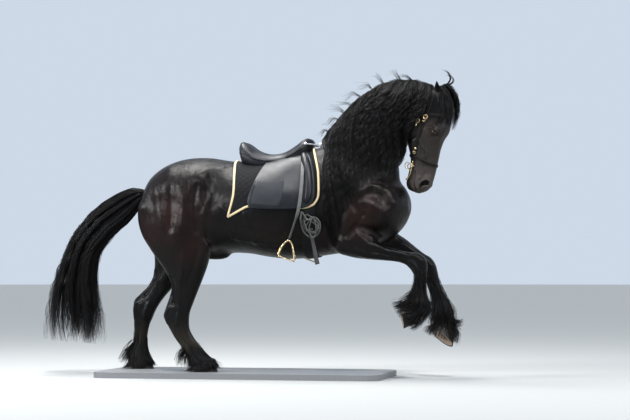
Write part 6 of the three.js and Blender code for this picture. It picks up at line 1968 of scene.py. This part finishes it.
for side, sign in TACK_SIDES:
    x, turn = flap_at[..., 0], flap_at[..., 1] * sign
    welt = WELT_HIGH * (edge_share(x.shape, 1) - edge_share(x.shape, 2.01) ** 8)
    outer = on_back(x, turn, FLAP_IN + (FLAP_OUT - FLAP_IN) * edge_share(x.shape, 3) + welt)
    flap = slab_form(on_back(x, turn, FLAP_IN), outer)
    form_piece("flap_" + side, flap, SADDLE_LEATHER, "leather", "saddle_flap_" + side)
    x, turn = (sewn_at * [1, sign]).T
    line = on_back(x, turn, FLAP_OUT + 0.2 * MM)
    form_piece("flap_stitches_" + side, stitches(line, line - on_back(x, turn, 0.0)), THREAD, "leather")
    panel = flap_at[PANEL_ALONG, PANEL_DOWN] * [1, sign]
    x, turn = panel[..., 0], panel[..., 1]
    raise_by = FLAP_OUT - PANEL_SUNK + PANEL_HIGH * edge_share(x.shape, 2)
    panel = slab_form(on_back(x, turn, FLAP_OUT - PANEL_SUNK), on_back(x, turn, raise_by))
    form_piece("flap_panel_" + side, panel, PANEL_LEATHER, "leather")


# Knee blocks. A long padded roll lies along the front of each flap, stuffed and covered in smooth leather,
# with round ends.
KNEE_LINE = [(392, 1366), (432, 1290), (456, 1200), (458, 1112), (442, 1056)]
KNEE_HALF = 26 * MM
KNEE_HIGH = 21 * MM
KNEE_LONG, KNEE_ROUND = 70, 22


def knee_grids(sign):
    """The roll's lower and upper grids: across by half * a, up by high * (1 - |a|^2.4)^0.55, with round ends."""
    t = np.linspace(0, 1, KNEE_LONG)
    line = even_path(over_hooves(KNEE_LINE), KNEE_LONG)
    ahead = unit(np.gradient(line, axis=0))
    ends = np.clip(1 - np.abs(2 * t - 1) ** 7, 0.0004, 1) ** 0.5
    a = np.sin(np.linspace(-1, 1, KNEE_ROUND) * np.pi / 2)
    across = np.stack([-ahead[:, 1], ahead[:, 0]], 1)
    flat = line[:, None] + across[:, None] * (KNEE_HALF * ends[:, None] * a[None])[..., None]
    turn = back_turn(flat[..., 0], flat[..., 1]) * sign
    high = KNEE_HIGH * ends[:, None] * np.clip(1 - np.abs(a[None]) ** 2.4, 0, 1) ** 0.55
    low = np.full(high.shape, FLAP_OUT - 1 * MM)
    return on_back(flat[..., 0], turn, low), on_back(flat[..., 0], turn, low + 1.2 * MM + high)


for side, sign in TACK_SIDES:
    block = slab_form(*knee_grids(sign))
    form_piece("knee_roll_" + side, block, SADDLE_LEATHER, "leather", "knee_block_" + side)


# Seat. A padded leather seat, high in front and behind, with a welt where the top meets the skirts.
# It dips along its middle and swells a little beside the dip.
SEAT = measured([
    [-42, 1436, -20, 1330, 0, 60, 0.4, 2, 2],
    [-20, 1462, 0, 1290, 0, 112, 0.45, 2.2, 2],
    [20, 1452, 30, 1260, 0, 128, 0.5, 2.2, 2],
    [90, 1404, 95, 1250, 0, 140, 0.5, 2.2, 2],
    [180, 1380, 185, 1260, 0, 134, 0.5, 2.2, 2],
    [260, 1392, 262, 1270, 0, 122, 0.5, 2.1, 2],
    [330, 1432, 322, 1290, 0, 118, 0.5, 2, 2],
    [392, 1478, 372, 1310, 0, 108, 0.5, 2, 2],
    [428, 1478, 400, 1330, 0, 84, 0.5, 2, 2],
    [448, 1458, 425, 1370, 0, 40, 0.5, 2, 2],
])
SEAT_HALF = 0.14
SEAT_DIP = 9 * MM
SEAT_SWELL = 4 * MM
SEAT_WELT = 3.6 * MM
seat_grid = section_grid(SEAT, 120, 88)
seat_across = seat_grid[..., 1] / SEAT_HALF
seat_top = smooth(seat_grid[..., 2] - BACK_AXIS, 0.19, 0.25)
seat_grid[..., 2] -= SEAT_DIP * seat_top * np.exp(-(seat_across / 0.16) ** 2)
seat_grid[..., 2] += SEAT_SWELL * seat_top * np.exp(-((np.abs(seat_across) - 0.55) / 0.25) ** 2)
form_piece("seat", closed_form(seat_grid), SADDLE_LEATHER, "leather", "saddle_seat")
for side, column in (("left", 2), ("right", 41)):
    line = seat_grid[4:-4, column]
    out = line - np.stack([line[:, 0], 0 * line[:, 0], line[:, 2] - 0.02], 1)
    welt = closed_form(band_grid(line, out, SEAT_WELT, SEAT_WELT, power=2))
    form_piece("seat_welt_" + side, welt, STRAP_LEATHER, "leather")


# Girth. A broad black web, ribbed along its length, goes round under the belly from one side of the saddle
# to the other.
GIRTH_REAR = [(1050, 426), (1040, 425), (850, 412), (712, 402)]
GIRTH_FRONT = [(1050, 506), (1040, 505), (850, 492), (712, 484)]
GIRTH_IN, GIRTH_OUT = 0.6 * MM, 7.6 * MM
GIRTH_X, GIRTH_TOP = 0.46, 1.046 + HOOF_LEVEL
RIB_HIGH, RIBS = 0.5 * MM, 5.5
girth_start = float(back_turn(GIRTH_X, GIRTH_TOP))
girth_turn = np.linspace(girth_start, 2 * np.pi - girth_start, 150)[None]
girth_high = on_back(GIRTH_X + 0 * girth_turn, girth_turn, 0.0)[..., 2] - HOOF_LEVEL
rear_x, front_x = (
    np.interp(girth_high / MM, *np.array(line[::-1], float).T) * MM for line in (GIRTH_REAR, GIRTH_FRONT))
girth_share = np.linspace(0, 1, 24)[:, None]
girth_x = rear_x * (1 - girth_share) + front_x * girth_share
girth_turns = girth_turn + 0 * girth_x
ribs = RIB_HIGH * np.cos(girth_share * 2 * np.pi * RIBS)
girth_out = GIRTH_IN + (GIRTH_OUT - GIRTH_IN - 0.6 * MM) * edge_share(girth_x.shape, 2) + ribs
girth_form = slab_form(on_back(girth_x, girth_turns, GIRTH_IN), on_back(girth_x, girth_turns, girth_out))
WEBBING = cloth_finish("webbing", (0.006, 0.006, 0.007, 1), (0.015, 0.015, 0.016, 1), 300.0, 0.7, 0.6, 0.03)
form_piece("girth_web", girth_form, WEBBING, "cloth", "girth")


# Stirrup leathers. A strap from under the seat lies over the knee roll, then hangs free to the iron and
# turns edge on as it goes down. It is sewn along both edges.
LEATHER_LINE = [(408, 1330), (420, 1180), (413, 1032), (384, 930), (352, 836)]
LEATHER_HALF_WIDE, LEATHER_HALF_THICK = 11 * MM, 2.6 * MM
LEATHER_OVER = 45.5 * MM
LEATHER_TURN = math.radians(78)
IRON_SIDE = (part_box("stirrup_iron_right")[0].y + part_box("stirrup_iron_right")[1].y) / 2


def leather_path(sign, count=90):
    """The strap's middle line and its outward direction: over the roll above, then straight to the iron."""
    line = even_path(over_hooves(LEATHER_LINE), count)
    turn = back_turn(line[:, 0], np.maximum(line[:, 1], 1.0 + HOOF_LEVEL))
    lying = on_back(line[:, 0], turn, LEATHER_OVER)
    out = unit(lying - on_back(line[:, 0], turn, 0.0))
    free = smooth(line[:, 1], 1.09 + HOOF_LEVEL, 0.99 + HOOF_LEVEL)
    out = out * (1 - free[:, None]) + np.array([0, -1.0, 0]) * free[:, None]
    twist = LEATHER_TURN * smooth(line[:, 1], 1.02 + HOOF_LEVEL, 0.95 + HOOF_LEVEL)
    out = out * np.cos(twist)[:, None] + np.array([1.0, 0, 0.25]) * np.sin(twist)[:, None]
    return at_side(line, lying[:, 1] * (1 - free) + IRON_SIDE * free) * [1, sign, 1], out * [1, sign, 1]


for side, sign in TACK_SIDES:
    line, out = leather_path(sign)
    strap = closed_form(band_grid(line, out, LEATHER_HALF_WIDE, LEATHER_HALF_THICK, power=5))
    form_piece("leather_" + side, strap, HANGING_LEATHER, "leather", "stirrup_leather_" + side)
    rows = edge_stitches(line, unit(out), LEATHER_HALF_THICK, 0.8 * LEATHER_HALF_WIDE)
    form_piece("leather_stitches_" + side, joined_forms(*rows), THREAD, "leather")


# Stirrup irons. A brass arch of round bar, thicker towards a flat ridged tread, with an eye for the leather.
# Its bar swells in small rings on the way up.
ARCH = [(283, 736), (288, 756), (301, 784), (322, 810), (346, 826), (367, 806), (377, 766), (383, 726), (384, 702)]
TREAD = [(281, 733), (386, 693)]
TREAD_HALF = 22 * MM
ARCH_STEPS, TREAD_STEPS = 80, 90
BRASS_LIGHT = (0.86, 0.72, 0.46, 1)
BRASS_DARK = (0.34, 0.24, 0.12, 1)


def metal_finish(name, light, dark, rough):
    """Polished metal, with the tarnish of use as a darker, duller noise."""
    made = new_material(name, Metallic=1.0)
    grain = placed(made, GRAIN, Scale=240.0)
    scuff = grain["Scuff"]
    return two_toned(made, scuff, (light, dark), scuff, (0.25, rough), grain["Height"], (0.08, 0.0004))


BRASS = metal_finish("brass", BRASS_LIGHT, BRASS_DARK, 0.14)
STEEL = metal_finish("steel", (0.72, 0.72, 0.74, 1), (0.42, 0.42, 0.44, 1), 0.12)
for side, sign in TACK_SIDES:
    line = at_side(even_path(over_hooves(ARCH), ARCH_STEPS), IRON_SIDE * sign)
    along = np.linspace(-1, 1, ARCH_STEPS)
    thick = (5.4 + 2.0 * np.abs(along) ** 1.5 + 1.5 * np.maximum(0, np.cos(along * 10 * np.pi)) ** 6) * MM
    arch = closed_form(band_grid(line, [0, 1.0, 0], thick, thick * 1.1, power=2))
    line = at_side(np.linspace(*over_hooves(TREAD), TREAD_STEPS), IRON_SIDE * sign)
    ends = np.clip(1 - np.abs(np.linspace(-1, 1, TREAD_STEPS)) ** 8, 0.002, 1) ** 0.5
    ridged = (4.0 + 0.8 * np.cos(np.linspace(0, 22 * np.pi, TREAD_STEPS))) * MM
    tread = closed_form(band_grid(line, [0.35, 0, 0.93], TREAD_HALF * ends, ridged * ends, sides=28, power=4))
    form_piece("iron_" + side, joined_forms(arch, tread), BRASS, "brass", "stirrup_iron_" + side)


# Knotted strap. A plaited leather strap hangs in loops from the front of the saddle on the right side, is
# knotted on itself and ends in a flat tail.
KNOT_SIDE = (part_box("knotted_strap")[0].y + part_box("knotted_strap")[1].y) / 2
KNOT_LOOPS = [
    (6.5 * MM, [
        (424, 2, 1000), (420, 0, 936), (446, -4, 872), (492, -5, 846), (534, -4, 876), (540, -2, 934), (506, 0, 968),
        (460, 0, 956)]),
    (6.0 * MM, [
        (452, 4, 984), (432, 2, 930), (462, -3, 884), (508, -4, 880), (528, -3, 918), (510, 2, 958), (478, 4, 974)]),
    (5.5 * MM, [
        (476, -8, 948), (456, -10, 904), (484, -11, 868), (522, -10, 878), (534, -9, 920), (508, -8, 952)]),
    (5.0 * MM, [
        (446, -14, 936), (466, -16, 890), (512, -16, 874), (534, -14, 906), (500, -14, 936), (466, -14, 952)]),
    (5.0 * MM, [
        (498, -18, 966), (478, -18, 910), (484, -18, 862), (504, -18, 842), (520, -18, 876), (516, -18, 930)]),
]
KNOT_TAIL = [(486, -4, 900), (494, -7, 840), (508, -9, 770), (518, -9, 720), (527, -9, 678)]
PLAIT_TURNS, PLAIT_SIDES = 26, 20
TAIL_STRAP_STEPS = 60


def plaited(radius, points):
    """A plaited loop: its radius swells where one of two sets of strands, winding opposite ways, lies on top."""
    count = 30 * len(points)
    path = even_path(np.array(points + points[:3], float) * MM, count)
    start = np.linalg.norm(path[count // 2:] - path[0], axis=1).argmin() + count // 2
    path = path[:start]
    path[:, 1] += KNOT_SIDE
    path[:, 2] += HOOF_LEVEL
    grid = band_grid(path, [0.02, -1.0, 0.01], 1.0, 1.0, sides=PLAIT_SIDES, power=2, closed=True)
    a = (np.arange(PLAIT_SIDES) + 0.5)[None] / PLAIT_SIDES * 2 * np.pi
    w = np.linspace(0, 2 * np.pi * PLAIT_TURNS, len(path))[:, None]
    swell = radius * (0.82 + 0.26 * np.maximum(np.sin(2 * a + w), np.sin(2 * a - w)))
    return looped_form(path[:, None] + (grid - path[:, None]) * swell[..., None])


PLAIT = leather_finish("plaited_leather", (0.004, 0.004, 0.004, 1), (0.09, 0.087, 0.08, 1), 240.0, 0.24, 0.9, 0.7)
tail_line = even_path(np.array(KNOT_TAIL, float) * MM + [0, KNOT_SIDE, HOOF_LEVEL], TAIL_STRAP_STEPS)
tail_half = (10 + 4 * smooth(np.linspace(0, 1, TAIL_STRAP_STEPS), 0.3, 1.0)) * MM
tail_strap = closed_form(band_grid(tail_line, [0.05, -1.0, 0], tail_half, 2.8 * MM, power=4))
knot = joined_forms(*(plaited(*loop) for loop in KNOT_LOOPS), tail_strap)
form_piece("strap_knot", knot, PLAIT, "leather", "knotted_strap")


# Pommel bars. A polished steel bar along each side of the pommel, with a knob behind and a round boss in
# front, to which straps are buckled.
BAR_LINE = [(404, 1440), (450, 1436), (500, 1428)]
BAR_HALF = (4.8 * MM, 2.8 * MM)
KNOB_RADII = (10.5 * MM, 7.5 * MM, 10.5 * MM)
BOSS_RADII = (13.5 * MM, 6 * MM, 13.5 * MM)
COLLAR_RADIUS, COLLAR_TUBE, COLLAR_OUT = 9 * MM, 1.6 * MM, 4.2 * MM
BAR_SIDE = (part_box("pommel_bar_right")[0].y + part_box("pommel_bar_right")[1].y) / 2
BAR_STEPS = 40
for side, sign in TACK_SIDES:
    line = at_side(even_path(over_hooves(BAR_LINE), BAR_STEPS), BAR_SIDE * sign)
    rod = closed_form(band_grid(line, [0, -1.0 * sign, 0], *BAR_HALF, power=3))
    a = np.linspace(0, 2 * np.pi, BAR_STEPS, endpoint=False)
    ring = np.stack([np.cos(a), 0 * a, np.sin(a)], 1) * COLLAR_RADIUS
    rim = line[-1] + ring - [0, sign * COLLAR_OUT * np.sign(-BAR_SIDE), 0]
    collar = looped_form(band_grid(rim, [0, 1.0, 0], COLLAR_TUBE, COLLAR_TUBE, power=2, closed=True))
    bar = joined_forms(rod, ball_form(line[0], KNOB_RADII, 20, 32), ball_form(line[-1], BOSS_RADII, 20, 40), collar)
    form_piece("bar_" + side, bar, STEEL, "steel", "pommel_bar_" + side)


# Bridle. Black leather straps lie on the head, 4.4 mm thick: a headstall down each cheek, a browband under
# the forelock, a throatlash and a noseband, with a pale row of stitches along both edges.
STRAP_HALF_THICK = 2.2 * MM
STRAP_OFF = 1.2 * MM
FACE_FORWARD = np.array([math.cos(FACE_LEAN), 0, -math.sin(FACE_LEAN)])
HEADSTALL = [(-30, -14), (40, -3), (187, -1), (353, -9), (431, -1), (478, 2)]
THROATLASH = [(176, -22), (224, -44), (264, -80), (292, -125), (306, -158)]
BROWBAND = [(176, -30), (172, -12), (160, 50), (140, 110), (124, 175), (120, 230)]
NOSEBAND = [(446, -120), (446, -80), (442, -2), (446, 38), (456, 78), (458, 120), (448, 210), (446, 240)]
HEAD_MIDDLE_T = 0.03


def on_cheek(line, count):
    """Places and outward directions on the right cheek under a line of (s, t), found from the side."""
    flat = even_path(np.array(line, float) * MM, count)
    x, z = head_xz(flat[:, 0], flat[:, 1])
    found = [body_tree.ray_cast(Vector((a, -0.5, b)), Vector((0, 1, 0))) for a, b in zip(x, z)]
    kept = [hit for hit in found if hit[0] is not None]
    return np.array([hit[0] for hit in kept]), np.array([hit[1] for hit in kept])


def round_face(line, angles):
    """Places and outward directions round the head at angles from straight ahead, at the s that the line
    has for each place's t. The rays start on the head's middle."""
    line = np.array(line, float) * MM
    order = np.argsort(line[:, 1])
    found = []
    for angle in angles:
        s = line[:, 0].mean()
        for _ in range(4):
            x, z = head_xz(s, HEAD_MIDDLE_T)
            ray = FACE_FORWARD * math.cos(angle) + np.array([0, -math.sin(angle), 0])
            hit = body_tree.ray_cast(Vector((x, 0, z)), Vector(ray))
            s = np.interp(head_st(hit[0].x, hit[0].z)[1], line[order, 1], line[order, 0])
        found.append(hit)
    return np.array([hit[0] for hit in found]), np.array([hit[1] for hit in found])


def strap_forms(place, out, half, closed=False):
    """A strap along a line on the skin, and the rows of stitches near its two edges."""
    place, out = calm(place, 6, closed), unit(calm(out, 10, closed))
    line = place + out * (STRAP_HALF_THICK + STRAP_OFF)
    grid = band_grid(line, out, half, STRAP_HALF_THICK, power=4.5, closed=closed)
    form = looped_form(grid) if closed else closed_form(grid)
    return form, edge_stitches(line, out, STRAP_HALF_THICK, 0.74 * half, 3.4 * MM, 2.0 * MM)


def mirrored(form, sign):
    """A form, for the sign -1 mirrored in the middle plane."""
    points, faces = form
    return points * [1, sign, 1], [f[:, ::sign] for f in faces]


def both_sides(form):
    """A form and its mirror image in the middle plane."""
    return joined_forms(form, mirrored(form, -1))


def strap_piece(name, form, node_name):
    """A strap of the bridle as a piece."""
    form_piece("bridle_" + name, form, STRAP_LEATHER, "leather", node_name)


cheek, cheek_stitches = strap_forms(*on_cheek(HEADSTALL, 120), 10 * MM)
throat, throat_stitches = strap_forms(*on_cheek(THROATLASH, 60), 8.5 * MM)
brow, brow_stitches = strap_forms(*round_face(BROWBAND, np.radians(np.linspace(-104, 104, 90))), 9 * MM)
nose, nose_stitches = strap_forms(*round_face(NOSEBAND, np.radians(np.arange(0, 360, 3.0))), 9 * MM, closed=True)
strap_piece("headstall", both_sides(cheek), "headstall")
for side, sign in TACK_SIDES:
    strap_piece("throat_" + side, mirrored(throat, sign), "throatlash_" + side)
strap_piece("browband", brow, "browband")
strap_piece("noseband", nose, "noseband")
rows = [both_sides(row) for row in cheek_stitches + throat_stitches] + brow_stitches + nose_stitches
form_piece("bridle_stitches", joined_forms(*rows), THREAD, "leather")


# Buckles, studs and bit. Two gilt ring buckles sit on each cheek, each with a tongue, and a stud lies lower
# down. The bit shows as a brass ring and a curved shank that ends in a knob.
BUCKLES = {"brow": (187, -1), "throat": (224, -44)}
BUCKLE_RADIUS, BUCKLE_TUBE, TONGUE = 13.5 * MM, 3.8 * MM, 1.7 * MM
STUD_AT, STUD_RING_AT = (390, -4), (416, -4)
SHANK = [(466, 2), (500, 7), (545, 11), (572, 8), (590, 1)]
BIT_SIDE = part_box("bit_right")[0].y + 6 * MM
BIT_RING_AT = (507 * MM, -18 * MM)
MOUTHPIECE_AT = (500 * MM, 22 * MM)


def ring_form(middle, out, radius, tube, sides=14, count=48):
    """A torus round middle, facing along out."""
    out = unit(np.array(out, float))
    up = unit(FACE_FORWARD - out * (FACE_FORWARD @ out))
    a = np.linspace(0, 2 * np.pi, count, endpoint=False)[:, None]
    path = middle + radius * (np.cos(a) * np.cross(out, up) + np.sin(a) * up)
    return looped_form(band_grid(path, out, tube, tube, sides=sides, power=2, closed=True))


def cheek_point(s, t):
    """The place and the outward direction on the right cheek at s and t."""
    place, out = on_cheek([(s - 1, t), (s, t), (s + 1, t)], 3)
    return place[1], out[1]


def rod_form(line, radius, out=(0, -1.0, 0), sides=14):
    """A round rod along a line, with its ends drawn in."""
    line = even_path(line, 40)
    wide = radius * np.clip(1 - np.abs(np.linspace(-1, 1, 40)) ** 10, 0.003, 1) ** 0.5
    return closed_form(band_grid(line, out, wide, wide, sides=sides, power=2))


def buckle_form(s, t):
    """A ring buckle with a tongue across it and a small gilt keeper below."""
    place, out = cheek_point(s, t)
    middle, radius = place + out * 9 * MM, BUCKLE_RADIUS
    down = -np.array([math.sin(FACE_LEAN), 0, math.cos(FACE_LEAN)])
    tongue = rod_form([middle - down * radius, middle + out * 2 * MM, middle + down * radius * 1.05], TONGUE)
    keeper = ball_form(place + out * 6 * MM + down * radius * 2.0, (6 * MM, 3.0 * MM, 8 * MM), 14, 20)
    return joined_forms(ring_form(middle, out, radius, BUCKLE_TUBE), tongue, keeper)


def stud_form():
    """A round stud and a small ring below it."""
    place, out = cheek_point(*STUD_AT)
    stud = ball_form(place + out * 6 * MM, (8 * MM, 4 * MM, 8 * MM), 16, 28)
    place, out = cheek_point(*STUD_RING_AT)
    return joined_forms(stud, ring_form(place + out * 6 * MM, out, 8.5 * MM, 2.6 * MM))


def bit_form():
    """The bit's ring, its curved shank with a knob and a boss, and the end of its mouthpiece."""
    shank = at_side(np.stack(head_xz(*(np.array(SHANK) * MM).T), 1), BIT_SIDE)
    ring_place = at_side(np.array(head_xz(*BIT_RING_AT)), BIT_SIDE)
    inside = at_side(np.array(head_xz(*MOUTHPIECE_AT)), BIT_SIDE * 0.75)
    return joined_forms(
        ring_form(ring_place, (0, -1.0, 0), 20 * MM, 2.4 * MM), rod_form(shank, 4.0 * MM),
        ball_form(shank[-1], (7 * MM, 5 * MM, 7 * MM), 16, 28), ball_form(shank[1], (9 * MM, 5 * MM, 9 * MM), 16, 28),
        rod_form([shank[1], inside], 5 * MM, (1.0, 0, 0)))


for side, sign in TACK_SIDES:
    for label, place in BUCKLES.items():
        buckle = mirrored(buckle_form(*place), sign)
        form_piece(f"gilt_{label}_{side}", buckle, BRASS, "brass", f"buckle_{label}_{side}")
    form_piece("gilt_stud_" + side, mirrored(stud_form(), sign), BRASS, "brass", "stud_cheek_" + side)
    form_piece("bit_shank_" + side, mirrored(bit_form(), sign), BRASS, "brass", "bit_" + side)


# Base. The stand's board is painted a flat satin grey with a faint roller texture. Its form is that of the
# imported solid, and only its finish is made here.
BASE_DARK, BASE_PALE = (0.17, 0.175, 0.18, 1), (0.21, 0.215, 0.22, 1)
BASE_PAINT = new_material("base_paint", Specular_IOR_Level=0.35)
texture = node(BASE_PAINT, "ShaderNodeTexNoise", Scale=260.0, Detail=3.0)
feed(BASE_PAINT, texture.inputs["Vector"], node(BASE_PAINT, "ShaderNodeTexCoord").outputs["Object"])
roller = texture.outputs["Fac"]
two_toned(BASE_PAINT, roller, (BASE_DARK, BASE_PALE), roller, (0.12, 0.42), roller, (0.15, 0.0005))
for slot in bpy.data.objects["stand_base"].material_slots:
    slot.material = BASE_PAINT
